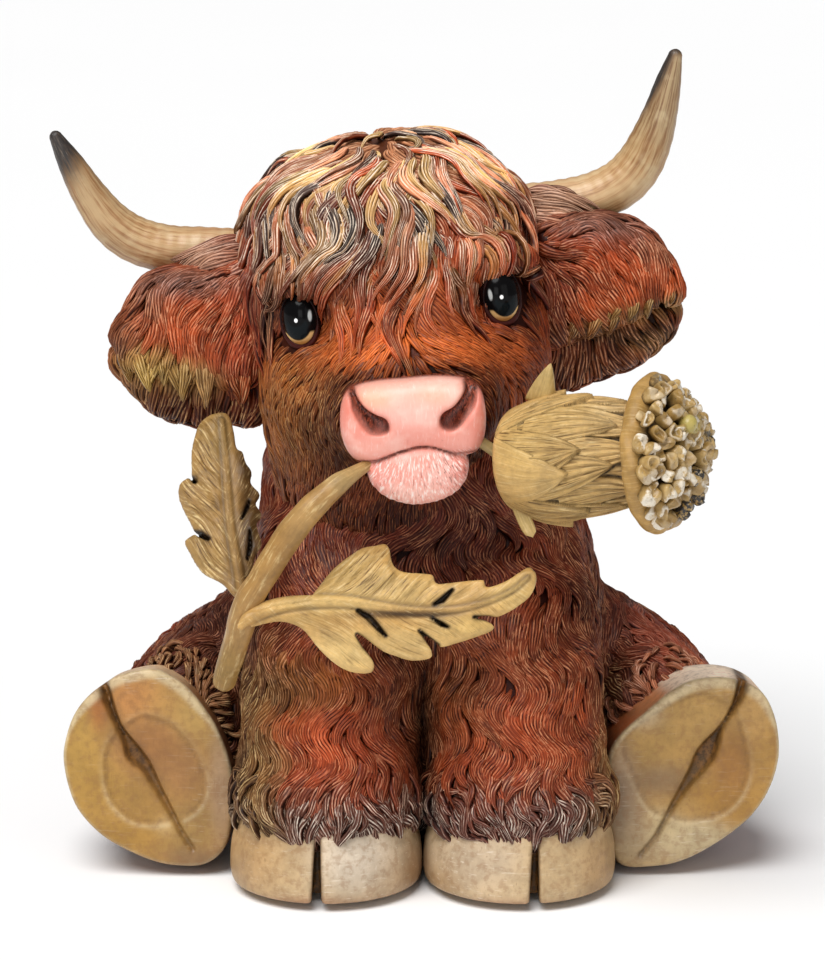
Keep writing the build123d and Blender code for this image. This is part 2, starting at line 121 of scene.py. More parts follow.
def noise3(P, scale, seed=0):
    """value noise in -1..1 at points P (n, 3)"""
    q = np.asarray(P, float) / scale
    i = np.floor(q).astype(np.int64)
    f = q - i
    f = f * f * (3 - 2 * f)
    out = 0
    for dx in (0, 1):
        for dy in (0, 1):
            for dz in (0, 1):
                w = ((f[:, 0] if dx else 1 - f[:, 0]) * (f[:, 1] if dy else 1 - f[:, 1])
                     * (f[:, 2] if dz else 1 - f[:, 2]))
                out = out + w * _hash(i[:, 0] + dx, i[:, 1] + dy, i[:, 2] + dz, seed)
    return out * 2 - 1


def fbm(P, scale, seed=0, octaves=3):
    out, amp, tot = 0, 1.0, 0
    for k in range(octaves):
        out = out + amp * noise3(P, scale / 2 ** k, seed + 17 * k)
        tot += amp
        amp *= 0.5
    return out / tot


# ------------------------------------------------------------------ volumes
class Field:
    """a signed-distance grid of a sculpted mass, with its gradient"""

    def __init__(self, lo, hi, h, fn):
        self.lo, self.h = np.array(lo, float), float(h)
        n = [int(math.ceil((hi[i] - lo[i]) / h)) + 1 for i in range(3)]
        X = (self.lo[0] + h * np.arange(n[0], dtype=F32))[:, None, None].astype(F32)
        Y = (self.lo[1] + h * np.arange(n[1], dtype=F32))[None, :, None].astype(F32)
        Z = (self.lo[2] + h * np.arange(n[2], dtype=F32))[None, None, :].astype(F32)
        self.g = np.ascontiguousarray(np.broadcast_to(fn((X, Y, Z)), n)).astype(F32)
        self.d = [c.astype(F32) for c in np.gradient(self.g, self.h)]

    def _at(self, arrays, P):
        q = (np.asarray(P, float) - self.lo) / self.h
        top = np.array(self.g.shape) - 1.001
        q = np.clip(q, 0, top)
        i = q.astype(int)
        f = q - i
        out = []
        for a in arrays:
            v = 0
            for dx in (0, 1):
                for dy in (0, 1):
                    for dz in (0, 1):
                        w = ((f[:, 0] if dx else 1 - f[:, 0]) * (f[:, 1] if dy else 1 - f[:, 1])
                             * (f[:, 2] if dz else 1 - f[:, 2]))
                        v = v + w * a[i[:, 0] + dx, i[:, 1] + dy, i[:, 2] + dz]
            out.append(v)
        return out

    def value(self, P):
        return self._at([self.g], P)[0]

    def normal(self, P):
        return unit(np.stack(self._at(self.d, P), 1))

    def both(self, P):
        v = self._at([self.g] + self.d, P)
        g = np.stack(v[1:], 1)
        return v[0] / np.clip(np.linalg.norm(g, axis=1), 0.6, 8.0), unit(g)

    def snap(self, P, level=0.0, steps=2):
        for _ in range(steps):
            d, n = self.both(P)
            P = P - n * np.clip(d - level, -2.5, 2.5)[:, None]
        return P


def surface_net(field, level=0.0):
    """a closed quad mesh of the field's level surface"""
    g = field.g - level
    s = g < 0
    corners = [(a, b, c) for a in (0, 1) for b in (0, 1) for c in (0, 1)]
    n = np.array(g.shape)

    def part(a, b, c, arr):
        return arr[a:n[0] - 1 + a, b:n[1] - 1 + b, c:n[2] - 1 + c]

    count = sum(part(*c, s).astype(np.uint8) for c in corners)
    cells = np.argwhere((count > 0) & (count < 8))
    ids = np.full(tuple(n - 1), -1, np.int32)
    ids[tuple(cells.T)] = np.arange(len(cells))
    acc = np.zeros((len(cells), 3))
    num = np.zeros(len(cells))
    val = {c: g[cells[:, 0] + c[0], cells[:, 1] + c[1], cells[:, 2] + c[2]] for c in corners}
    for a in corners:
        for ax in range(3):
            if a[ax]:
                continue
            b = list(a)
            b[ax] = 1
            b = tuple(b)
            va, vb = val[a], val[b]
            m = (va < 0) != (vb < 0)
            t = va[m] / (va[m] - vb[m])
            p = np.repeat(np.array(a, float)[None], m.sum(), 0)
            p[:, ax] += t
            acc[m] += p
            num[m] += 1
    verts = field.lo + field.h * (cells + acc / num[:, None])
    quads = []
    for ax in range(3):
        lo_s = [slice(None)] * 3
        hi_s = [slice(None)] * 3
        lo_s[ax], hi_s[ax] = slice(0, n[ax] - 1), slice(1, n[ax])
        A, B = s[tuple(lo_s)], s[tuple(hi_s)]
        o1, o2 = [k for k in range(3) if k != ax]
        e = np.argwhere(A != B)
        ok = (e[:, o1] > 0) & (e[:, o2] > 0) & (e[:, o1] < n[o1] - 1) & (e[:, o2] < n[o2] - 1)
        e = e[ok]
        inside_first = A[tuple(e.T)]
        ring = []
        for d1, d2 in ((0, 0), (1, 0), (1, 1), (0, 1)):
            q = e.copy()
            q[:, o1] -= d1
            q[:, o2] -= d2
            ring.append(ids[tuple(q.T)])
        ring = np.stack(ring, 1)
        flip = inside_first if ax != 1 else ~inside_first
        ring[flip] = ring[flip][:, ::-1]
        quads.append(ring)
    faces = np.concatenate(quads)
    faces = faces[(faces >= 0).all(1)][:, ::-1]
    verts = field.snap(verts, level, 2)
    return verts, faces


# ------------------------------------------------------------------ meshes
def mesh_piece(name, verts, faces, mat, replaces=(), attrs=None, uv=None, shade=True, slot=None):
    """one Blender piece from layout-millimetre vertices; faces is an (n, k) array or a list of arrays"""
    me = bpy.data.meshes.new(name)
    verts = np.array(verts, float)
    verts[:, 2] = np.maximum(verts[:, 2], FLOOR + 0.02)       # nothing sinks into the table
    verts = (verts + SHIFT) / 1000.0
    groups = faces if isinstance(faces, list) else [faces]
    groups = [np.asarray(f, np.int32) for f in groups if len(f)]
    loops = np.concatenate([f.ravel() for f in groups])
    totals = np.concatenate([np.full(len(f), f.shape[1], np.int32) for f in groups])
    starts = np.concatenate([[0], np.cumsum(totals)[:-1]]).astype(np.int32)
    me.vertices.add(len(verts))
    me.vertices.foreach_set("co", verts.astype(F32).ravel())
    me.loops.add(len(loops))
    me.loops.foreach_set("vertex_index", loops)
    me.polygons.add(len(totals))
    me.polygons.foreach_set("loop_start", starts)
    me.polygons.foreach_set("loop_total", totals)
    me.update(calc_edges=True)
    if shade:
        me.polygons.foreach_set("use_smooth", np.ones(len(totals), bool))
    for key, val in (attrs or {}).items():
        val = np.asarray(val, F32)
        if val.ndim == 2 and val.shape[1] == 3:
            a = me.attributes.new(key, "FLOAT_VECTOR", "POINT")
            a.data.foreach_set("vector", np.ascontiguousarray(val).ravel())
        else:
            a = me.attributes.new(key, "FLOAT", "POINT")
            a.data.foreach_set("value", np.ascontiguousarray(val).ravel())
    if uv is not None:
        layer = me.uv_layers.new(name="OFBake")
        layer.data.foreach_set("uv", np.asarray(uv, F32)[loops].ravel())
    me.validate(clean_customdata=False)
    ob = bpy.data.objects.new(name, me)
    bpy.context.scene.collection.objects.link(ob)
    me.materials.append(mat)
    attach(ob, "root")
    for node in ([replaces] if isinstance(replaces, str) else replaces):
        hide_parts(node)
    return ob


# ------------------------------------------------------------------ camera, in layout millimetres
ELEV, DIST, FOCAL_PX = math.radians(12.0), 800.0, 4000.0
TARGET = np.array([0.9, 0.0, 72.4])
BACK = np.array([0.0, -math.cos(ELEV), math.sin(ELEV)])
UP = np.array([0.0, math.sin(ELEV), math.cos(ELEV)])
EYE = TARGET + DIST * BACK


def to_image(P):
    """where layout points fall in the 825 x 960 picture"""
    q = np.asarray(P, float) - EYE
    z = -(q @ BACK)
    return 412.5 + FOCAL_PX * q[:, 0] / z, 480 - FOCAL_PX * (q @ UP) / z


# ------------------------------------------------------------------ the animal's masses
MID_X = 3.0
LEG_X = (-16.0, 21.8)
HIND_X = (-50.0, 55.6)
ROLL = math.radians(6.5)
HEAD_O = np.array([-1.1, 0.0, 113.2])
HX = np.array([math.cos(ROLL), 0, math.sin(ROLL)])
HY = np.array([0.0, 1, 0])
HZ = np.array([-math.sin(ROLL), 0, math.cos(ROLL)])
INSET = 1.0      # the skin under the carved locks lies this far inside the finished outline


def head_to_layout(p):
    p = np.atleast_2d(np.asarray(p, float))
    return HEAD_O + p[:, :1] * HX + p[:, 1:2] * HY + p[:, 2:3] * HZ


def layout_to_head(P):
    d = np.atleast_2d(np.asarray(P, float)) - HEAD_O
    return np.stack([d @ HX, d @ HY, d @ HZ], 1)


TORSO = [(-3.0, 3, 12, 33, 32), (9, 3, 12, 38.5, 36), (26, 3, 12, 39, 37), (42, 3, 8, 37, 35), (56, 3, 3, 34, 31.5),
         (68, 2.5, 0, 31.5, 28), (80, 2, -2, 29.5, 26), (92, 1, -3, 26, 23)]
FRONT = [(70, 5.0, -8, 14, 13), (60, 3.2, -14, 16, 15.2), (50, 2.0, -20.5, 17, 16), (38, 1.2, -25, 16.8, 16.5),
         (25, 0.5, -28, 17.0, 16.5), (14, 0.2, -29.5, 17.8, 17.2), (8, 0, -29.5, 16.8, 16.2)]
HIND = [(42, 28, 17, 9, 10), (32, 20, 21, 18, 17), (12, 12.5, 24, 22.0, 18.6), (-2, 6, 22.5, 19.3, 18.2),
        (-13, 0.8, 20.5, 17.4, 18.2), (-19, 0.2, 19.8, 16.0, 17.6)]
TAIL = [(3, 46, 20), (10, 50, 12), (22, 49, 5), (34, 43, 3.2), (43, 34, 3.2)]
TAIL_R = [4.0, 3.4, 3.0, 3.6, 2.4]


def body_sdf(p):
    x, y, z = p
    d = stack(x, y, z, TORSO, end=0)
    for lx in LEG_X:
        s = 1 if lx < MID_X else -1
        leg = stack(x, y, z, [(r[0], lx + s * r[1], r[2], r[3], r[4]) for r in FRONT], end=2.0)
        d = smin(d, leg, 2.2) if lx > 0 else smin(d, leg, 5.0)
    for hx in HIND_X:
        s = 1 if hx < MID_X else -1
        hind = stack(x, z, y, [(r[0], hx + s * r[1], r[2], r[3], r[4]) for r in HIND], end=3.0)
        u = (x - MID_X) * -s
        hind = smin(hind, ellipsoid((u, y, z), (34.0, 11.0, 35.0), (13.0, 15.0, 12.5)), 4.0)
        hind = smax(hind, (z + 0.9 * u - 83.8) / 1.345, 3.0)
        d = smin(d, hind, 4.0)
    for i in range(len(TAIL) - 1):
        d = smin(d, capsule(p, TAIL[i], TAIL[i + 1], TAIL_R[i], TAIL_R[i + 1]), 2.0)
    d = smax(d, FLOOR + 0.4 - z, 1.0)
    return d + INSET


SKULL = [(29.8, -1.4, -5, 3, 3), (28.4, -1.4, -5, 9, 9), (25.6, -1.8, -5, 16.2, 15.8), (20.8, -2.2, -5.5, 23.0, 22.5),
         (14, -2.3, -6, 27.0, 26.6), (6, -1.8, -6.6, 28.4, 28.6), (0, -1.2, -7, 28.7, 29.3), (-12, -1.4, -9, 28.4, 27.5),
         (-20, -2.8, -10, 27.2, 26), (-28, -5.0, -10, 24.6, 23.5), (-36, -6.0, -9, 23.2, 22), (-46, -4.5, -8, 22.5, 20)]
MUZZLE = [(-20, 0, -12, 24, 18), (-30, 0, -15.2, 20.5, 16.6), (-38, 0.2, -17.6, 16.8, 14.6), (-44, 0.4, -19.5, 14.2, 12.8),
          (-47.5, 0.4, -20.5, 12.6, 11.4)]
EYES = {-1: (-19.3, -29.2, -1.1), 1: (18.5, -29.2, -1.0)}


def head_sdf(q):
    """q: coordinates in the head's own leaning frame"""
    x, y, z = q
    d = stack(x, y, z, SKULL, end=0)
    d = smin(d, stack(x, z, y, MUZZLE, end=3.0), 7.0)
    # cheeks, brow and the hollows before the eyes
    for s in (-1, 1):
        d = smin(d, ellipsoid(q, (s * 15.0, -20.0, -15.0), (11.5, 13.0, 12.0)), 6.0)
        e = EYES[s]
        d = smax(d, -ellipsoid(q, (e[0] - s * 1.0, e[1] - 3.6, e[2] + 0.2), (5.4, 4.6, 5.8)), 3.0)
        d = smin(d, capsule(q, (s * 12.0, -31.0, 7.0), (s * 24.0, -24.0, 5.5), 3.0, 3.0), 3.5)
    return d + INSET


def head_sdf_layout(p):
    q = turned(p, HEAD_O, (HX, HY, HZ))
    return head_sdf(q)


# ------------------------------------------------------------------ carved locks
def spread(verts, quads, spacing, keep, seed):
    """evenly spread points over a mesh where keep(points, normals) is true"""
    rng = np.random.default_rng(seed)
    tri = np.concatenate([quads[:, [0, 1, 2]], quads[:, [0, 2, 3]]])
    a, b, c = (verts[tri[:, k]] for k in range(3))
    cr = np.cross(b - a, c - a)
    area = np.linalg.norm(cr, axis=1) / 2
    ok = keep((a + b + c) / 3, unit(cr))
    area = np.where(ok, area, 0)
    total = area.sum()
    n = int(total / spacing ** 2 * 6)
    t = rng.choice(len(tri), n, p=area / total)
    u = rng.random((n, 2))
    m = u.sum(1) > 1
    u[m] = 1 - u[m]
    P = a[t] + (b - a)[t] * u[:, :1] + (c - a)[t] * u[:, 1:]
    cell = {}
    out = []
    r2 = (spacing * 0.82) ** 2
    keys = np.floor(P / spacing).astype(int)
    near = [(i, j, k) for i in (-1, 0, 1) for j in (-1, 0, 1) for k in (-1, 0, 1)]
    for i, (p, k) in enumerate(zip(P.tolist(), keys.tolist())):
        good = True
        for d in near:
            for q in cell.get((k[0] + d[0], k[1] + d[1], k[2] + d[2]), ()):
                if (p[0] - q[0]) ** 2 + (p[1] - q[1]) ** 2 + (p[2] - q[2]) ** 2 < r2:
                    good = False
                    break
            if not good:
                break
        if good:
            cell.setdefault(tuple(k), []).append(p)
            out.append(i)
    return P[out]


def comb(field, roots, flow, length, steps=14, stiff=0.35):
    """lock centre lines that follow the flow over the surface"""
    P = field.snap(roots, 0, 2)
    pts, nrm, prev = [], [], None
    for k in range(steps + 1):
        d, n = field.both(P)
        P = P - n * np.clip(d, -2, 2)[:, None]
        pts.append(P)
        nrm.append(n)
        f = flow(P, n)
        f = f - n * (f * n).sum(1, keepdims=True)
        f = unit(f)
        if prev is not None:
            f = unit(f * (1 - stiff) + prev * stiff)
        prev = f
        P = P + f * (length / steps)[:, None]
    return np.stack(pts, 1), np.stack(nrm, 1)


def lock_shape(t, fat=0.55, root=0.35):
    """width along a lock: rises fast, long taper to a point; above 1, fat gives a needle tip"""
    power = 2.6 if fat < 1 else 1.7
    return np.clip((root + (1 - root) * smooth(t, 0, 0.35)) * (1 - t ** power) ** fat, 0.02, None)


def locks(pts, nrm, width, height, ridges=4, per=4, lift0=-0.25, lift1=0.55, tip_dip=0.35, seed=1, sharp=0.75, twist=0.3,
          root=0.35, sink=0.0, loose=0.3, fat=0.55):
    """closed, ridged, tapering locks along centre lines; returns verts, quads, attributes"""
    n, K = pts.shape[:2]
    rng = np.random.default_rng(seed)
    t = np.linspace(0, 1, K)
    tan = unit(np.gradient(pts, axis=1))
    side = unit(np.cross(nrm, tan))
    m = ridges * per + 1
    s = np.linspace(-1, 1, m)
    ph = rng.random(n) * 0.6
    # ridges run the lock's length and gather towards its tip
    wob = 0.16 * np.sin(2 * np.pi * (t[None, :] * 1.3 + rng.random(n)[:, None]))
    arg = (s[None, None, :] + wob[:, :, None]) * ridges / 2 + ph[:, None, None]
    crest = np.abs(np.cos(np.pi * arg)) ** 0.8
    amp = 0.75 + 0.5 * rng.random((n, 1, 1))
    dome = np.sqrt(np.clip(1 - s ** 2, 0, 1))[None, None, :] ** 0.9
    w = width[:, None] * lock_shape(t, fat, root)[None, :]
    h = height[:, None] * (0.3 + 0.7 * smooth(t, 0, 0.25))[None, :] * (1 - 0.55 * t ** 2)[None, :]
    prof = dome * (1 - 0.55 * sharp) + 0.55 * sharp * dome * crest * amp
    rise = lift0 + (lift1 - lift0) * smooth(t, 0, 0.6) - tip_dip * smooth(t, 0.7, 1.0) - sink * smooth(t, 0.22, 0.0)
    rise = rise[None, :] * np.ones((n, 1))
    rise = rise + (rng.random((n, 1)) - 0.5) * loose
    roll = twist * (rng.random((n, 1)) - 0.5) * 2 * smooth(t, 0.2, 1.0)[None, :]
    top = (pts[:, :, None, :] + side[:, :, None, :] * (s[None, None, :] * w[:, :, None])[..., None]
           + nrm[:, :, None, :] * (rise[:, :, None] + h[:, :, None] * prof * np.minimum(1, w / (0.35 * width[:, None]))[:, :, None]
                                   + roll[:, :, None] * s[None, None, :] * w[:, :, None])[..., None])
    low = pts + nrm * (rise - 0.35 * np.minimum(1, w / (0.5 * width[:, None])))[..., None]
    ring = np.concatenate([top, low[:, :, None, :]], 2)          # one more point underneath closes the section
    r = m + 1
    verts = ring.reshape(-1, 3)
    i = np.arange(n)[:, None, None] * K * r
    k = np.arange(K - 1)[None, :, None] * r
    j = np.arange(r)[None, None, :]
    j2 = (j + 1) % r
    quads = np.stack(np.broadcast_arrays(i + k + j, i + k + j2, i + k + r + j2, i + k + r + j), -1).reshape(-1, 4)
    caps = []
    for kk, rev in ((0, True), (K - 1, False)):
        base = np.arange(n)[:, None] * K * r + kk * r
        for q in range(0, (m - 1) // 2):
            a_, b_, c_, d_ = q, q + 1, m - 2 - q, m - 1 - q
            if b_ == c_:
                f = [a_, b_, d_]
                caps.append((base + np.array(f if not rev else f[::-1])).reshape(-1, 3))
            else:
                f = [a_, b_, c_, d_]
                caps.append((base + np.array(f if not rev else f[::-1])).reshape(-1, 4))
        f = [m - 1, m, 0]
        caps.append((base + np.array(f if not rev else f[::-1])).reshape(-1, 3))
    tris = np.concatenate([c for c in caps if c.shape[1] == 3])
    quads = np.concatenate([quads] + [c for c in caps if c.shape[1] == 4])
    one = np.ones((n, K, r))
    c_all = np.concatenate([crest * np.minimum(1, 0.35 + 0.65 * dome / 0.6), np.zeros((n, K, 1))], 2)
    lk = np.stack([t[None, :, None] * one, c_all * one, rng.random(n)[:, None, None] * one], -1).reshape(-1, 3)
    arc = np.concatenate([np.zeros((n, 1)), np.cumsum(np.linalg.norm(np.diff(pts, axis=1), axis=2), 1)], 1)
    sx = np.concatenate([s, [0.0]])[None, None, :] * width[:, None, None]
    st = np.stack([sx * one, arc[:, :, None] * one, (rng.random(n) * 50)[:, None, None] * one], -1).reshape(-1, 3)
    return verts, quads, tris, {"lk": lk, "st": st}


class Bag:
    """gathers lock batches into one piece"""

    def __init__(self):
        self.v, self.q, self.t, self.a, self.n = [], [], [], {}, 0

    def add(self, verts, quads, tris, attrs):
        self.v.append(verts)
        self.q.append(quads + self.n)
        self.t.append(tris + self.n)
        for k, v in attrs.items():
            self.a.setdefault(k, []).append(v)
        self.n += len(verts)

    def verts(self):
        return np.concatenate(self.v)

    def piece(self, name, mat, paint, **kw):
        v = self.verts()
        attrs = {k: np.concatenate(x) for k, x in self.a.items()}
        attrs.update(paint(v))
        return mesh_piece(name, v, [np.concatenate(self.q), np.concatenate(self.t)], mat, attrs=attrs, **kw)


# ------------------------------------------------------------------ paint
def rgb(h):
    c = np.array([int(h[i:i + 2], 16) for i in (0, 2, 4)]) / 255.0
    return np.where(c <= 0.04045, c / 12.92, ((c + 0.055) / 1.055) ** 2.4)


def blobs(px, py, base, spots, w0=0.12):
    """soft patches of paint laid over each other; spots are (x, y, reach x, reach y, colour, strength)"""
    acc = np.ones((len(px), 1)) * np.asarray(base, float) * w0
    tot = np.full(len(px), w0)
    for x, y, rx, ry, c, s in spots:
        w = s * np.exp(-(((px - x) / rx) ** 2 + ((py - y) / ry) ** 2))
        acc += w[:, None] * np.atleast_1d(c)
        tot += w
    return acc / tot[:, None]


class Mat:
    """a node material, with short names for the nodes used here"""

    def __init__(self, name, **sockets):
        self.m = bpy.data.materials.new(name)
        self.m.use_nodes = True
        self.t = self.m.node_tree
        self.b = self.t.nodes["Principled BSDF"]
        for k, v in sockets.items():
            self.b.inputs[k.replace("_", " ")].default_value = v

    def put(self, sock, v):
        if isinstance(v, bpy.types.NodeSocket):
            self.t.links.new(v, sock)
        elif v is not None:
            try:
                sock.default_value = v
            except (TypeError, ValueError):
                sock.default_value = tuple(v) + (1.0,)

    def new(self, kind, inputs=(), **props):
        n = self.t.nodes.new("ShaderNode" + kind)
        for k, v in props.items():
            setattr(n, k, v)
        for k, v in (inputs.items() if isinstance(inputs, dict) else enumerate(inputs)):
            self.put(n.inputs[k], v)
        return n

    def attr(self, name):
        return self.new("Attribute", attribute_name=name).outputs["Vector"]

    def split(self, vec):
        return self.new("SeparateXYZ", [vec]).outputs

    def join(self, x, y, z):
        return self.new("CombineXYZ", [x, y, z]).outputs[0]

    def where(self, kind="Object"):
        return self.new("TexCoord").outputs[kind]

    def scaled(self, vec, s):
        return self.new("Mapping", {"Vector": vec, "Scale": s}, vector_type="POINT").outputs[0]

    def noise(self, vec, scale, detail=2.0, rough=0.5, dist=0.0):
        return self.new("TexNoise", {"Vector": vec, "Scale": scale, "Detail": detail, "Roughness": rough,
                                     "Distortion": dist}).outputs["Fac"]

    def math(self, op, a, b=None, c=None, clamp=False):
        return self.new("Math", [a, b, c], operation=op, use_clamp=clamp).outputs[0]

    def range(self, v, a, b, c=0.0, d=1.0, smooth_=True):
        n = self.new("MapRange", {"Value": v, "From Min": a, "From Max": b, "To Min": c, "To Max": d},
                     interpolation_type="SMOOTHSTEP" if smooth_ else "LINEAR")
        return n.outputs[0]

    def mix(self, fac, a, b, blend="MIX"):
        n = self.new("Mix", data_type="RGBA", blend_type=blend)
        self.put(n.inputs[0], fac)
        self.put(n.inputs[6], a)
        self.put(n.inputs[7], b)
        return n.outputs[2]

    def bump(self, height, strength, dist, normal=None):
        n = self.new("Bump", {"Height": height, "Strength": strength, "Distance": dist / 1000.0})
        if normal is not None:
            self.put(n.inputs["Normal"], normal)
        return n.outputs[0]

    def ao(self, dist):
        return self.new("AmbientOcclusion", {"Distance": dist / 1000.0}, samples=6).outputs["AO"]

    def set(self, **kw):
        for k, v in kw.items():
            self.put(self.b.inputs[k.replace("_", " ")], v)
        return self.m


def fur_material(name, rough=0.42):
    """painted carved hair: dark wash in the grooves; pale drybrush on the crests, partly a painted highlight for the
    varnish's glints
    """
    M = Mat(name)
    col, hi = M.attr("col"), M.attr("hi")
    t, crest, rnd = M.split(M.attr("lk"))
    drybrush_and_highlight, wash, hue = M.split(M.attr("mx"))
    sx, sa, so = M.split(M.attr("st"))
    fine = M.noise(M.join(M.math("MULTIPLY", sx, 3.6), M.math("MULTIPLY", sa, 0.28), so), 1.0, 3.0, 0.6)
    patch = M.noise(M.where(), 160.0, 2.0, 0.5)
    speck = M.noise(M.where(), 1500.0, 2.0, 0.6)
    # every lock differs a little in value, and the brush left uneven colour
    value = M.math("MULTIPLY_ADD", rnd, 0.50, 0.72)
    value = M.math("MULTIPLY", value, M.range(patch, 0.3, 0.7, 0.8, 1.2))
    value = M.math("MULTIPLY", value, M.range(fine, 0.25, 0.75, 0.66, 1.38))
    base = M.new("VectorMath", {0: col, 3: value}, operation="SCALE").outputs[0]
    deep = M.new("VectorMath", {0: col, 1: (0.12, 0.07, 0.05)}, operation="MULTIPLY").outputs[0]
    strand = M.noise(M.join(M.math("MULTIPLY", sx, 1.5), M.math("MULTIPLY", sa, 0.045), so), 1.0, 2.0, 0.6)
    base = M.mix(M.math("MULTIPLY", M.range(strand, 0.58, 0.66), M.math("MULTIPLY", hue, 0.55)), base, tuple(rgb("4a332b")) + (1,))
    base = M.mix(M.math("MULTIPLY", M.range(strand, 0.42, 0.34), M.math("MULTIPLY", hue, 0.55)), base, tuple(rgb("dfb48c")) + (1,))
    groove = M.math("SUBTRACT", 1.0, M.range(crest, 0.18, 0.90))
    groove = M.math("MULTIPLY", groove, wash)
    groove = M.math("ADD", groove, M.range(fine, 0.30, 0.10, 0.0, 0.35), clamp=True)
    shade = M.mix(groove, base, deep)
    # the pale line on each crest is drybrush paint and in part a painted highlight standing in for glints of the
    # varnish
    line = M.range(crest, 0.66, 0.96)
    line = M.math("MULTIPLY", line, M.range(fine, 0.44, 0.62, 0.06, 1.0))
    line = M.math("MULTIPLY", line, M.range(speck, 0.3, 0.6, 0.6, 1.0))
    line = M.math("MULTIPLY", line, drybrush_and_highlight, clamp=True)
    final = M.mix(line, shade, hi)
    height = M.math("ADD", fine, M.math("MULTIPLY", speck, 0.3))
    normal = M.bump(height, 0.55, 0.16)
    return M.set(Base_Color=final, Roughness=M.range(fine, 0.2, 0.8, rough - 0.1, rough + 0.14), Normal=normal,
                 Specular_IOR_Level=0.16)


# paint zones of the body, in picture coordinates for what faces the viewer
DARK = rgb("24100a")
MAROON = rgb("551d14")
REDBROWN = rgb("7c2f1b")
RUST = rgb("9c4424")
ORANGE = rgb("b9552a")
BRIGHT = rgb("cf6a30")
TAN = rgb("ab8450")
OLIVE = rgb("84683c")
CREAM = rgb("efdcbb")
BLOND = rgb("d8ba85")
PEACH = rgb("dca184")
ASH = rgb("574845")
MAUVE = rgb("6b4740")
SOOT = rgb("2b2322")

BODY_SPOTS = [
    # (330, 540) and (440, 535) darken the chest under the chin: partly its dark red-brown, partly painted shade under
    # the head
    (330, 540, 60, 26, rgb("6d2817"), 1.0), (440, 535, 70, 32, rgb("5c2114"), 1.0), (540, 560, 34, 40, rgb("7a321d"), 1.0),
    (590, 600, 26, 60, rgb("4c1d15"), 1.0), (330, 600, 50, 30, rgb("7d341c"), 0.8), (440, 610, 60, 40, rgb("74301b"), 0.8),
    (330, 735, 45, 50, rgb("aa4624"), 1.2), (300, 680, 40, 26, rgb("93602f"), 0.8), (268, 760, 16, 70, rgb("87663c"), 0.9),
    (370, 760, 26, 50, rgb("84351e"), 0.7), (395, 700, 24, 60, rgb("62301c"), 0.9),
    (500, 740, 46, 60, rgb("a64524"), 1.2), (560, 700, 30, 60, rgb("96401f"), 1.0), (470, 690, 26, 40, rgb("7b4a28"), 0.7),
    (530, 640, 46, 40, rgb("8c3d20"), 0.9), (605, 770, 12, 70, rgb("8d6a40"), 0.9),
    # painted shade in the narrow gap between the front legs
    (425, 780, 14, 130, rgb("260e08"), 2.2),
    (320, 815, 70, 24, rgb("674339"), 1.6), (255, 810, 20, 26, rgb("7d5f3f"), 1.0), (520, 812, 70, 24, rgb("5d3b35"), 1.6),
    (590, 820, 16, 30, rgb("7a5b3d"), 1.0),
    # (240, 650), (215, 720), (625, 680) and (245, 770) are painted shade in the undercuts between the front legs and
    # the thighs
    (175, 625, 60, 26, rgb("5b2b1c"), 1.0), (215, 720, 30, 50, rgb("3a1a10"), 1.2), (240, 650, 18, 50, rgb("2d130c"), 1.2),
    (650, 625, 50, 30, rgb("7b3728"), 1.3), (625, 680, 26, 30, rgb("4f1f14"), 1.0), (690, 655, 30, 14, rgb("934a30"), 0.8),
    (610, 740, 16, 50, rgb("7d3a1d"), 1.1), (245, 770, 10, 60, rgb("20100a"), 0.8),
]


def paint_body(v, root):
    px, py = to_image(root)
    behind = smooth(root[:, 1], 8, 22)
    col = blobs(px, py, REDBROWN, BODY_SPOTS)
    low = smooth(root[:, 2], 40, 4)
    rear = (REDBROWN * 0.95)[None] * (1 - low[:, None]) + rgb("6a3420")[None] * low[:, None]
    n = fbm(root, 16.0, 5)
    rear = rear * (1 + 0.35 * n[:, None]) + np.maximum(n, 0)[:, None] * (rgb("a3502a") - REDBROWN)[None] * 0.9
    col = col * (1 - behind[:, None]) + rear * behind[:, None]
    vary = noise3(root, 5.5, 11)
    col = col * (1 + 0.18 * vary[:, None])
    hi = np.ones((len(v), 1)) * rgb("e0a174")
    band = np.exp(-(((py - 815) / 26) ** 2)) * (1 - behind) * smooth(root[:, 1], -2, -12)
    band = band * smooth(np.abs(root[:, 0] - MID_X), 40, 36)
    thigh = smooth(np.abs(root[:, 0] - MID_X), 33, 38) * smooth(root[:, 2], 56, 48) * (1 - behind)
    hi = hi * (1 - 0.6 * thigh[:, None]) + rgb("b57a62") * 0.6 * thigh[:, None]
    east, west = thigh * smooth(px, 616, 640), thigh * smooth(px, 224, 200)
    col = col * (1 + 0.70 * east - 0.20 * west)[:, None]
    hi = hi * (1 - 0.6 * east[:, None]) + rgb("cf937c") * 0.6 * east[:, None]
    hi = hi * (1 - band[:, None]) + rgb("e6dccb") * band[:, None]
    drybrush_and_highlight = 0.56 + 0.42 * noise3(root, 4.0, 3) + 0.22 * east - 0.10 * west
    edge = np.exp(-(((px - 262) / 16) ** 2)) + np.exp(-(((px - 604) / 12) ** 2))
    edge = edge * smooth(py, 640, 680) * (1 - behind)
    hi = hi * (1 - np.clip(edge, 0, 1)[:, None]) + rgb("cdb27d") * np.clip(edge, 0, 1)[:, None]
    some = smooth(noise3(root, 2.6, 23), 0.0, 0.35)
    drybrush_and_highlight = drybrush_and_highlight + edge * 0.45 + band * (0.15 + 0.85 * some)
    col = col * np.array([0.86, 0.84, 0.72])
    mx = np.stack([np.clip(drybrush_and_highlight, 0, 1), np.full(len(v), 1.0), 0.0 * vary], 1)
    return {"col": np.clip(col, 0.001, 1), "hi": hi, "mx": mx}


# ------------------------------------------------------------------ body
body_field = Field((-76, -50, -5), (82, 60, 96), 1.1, body_sdf)
body_v, body_q = surface_net(body_field)


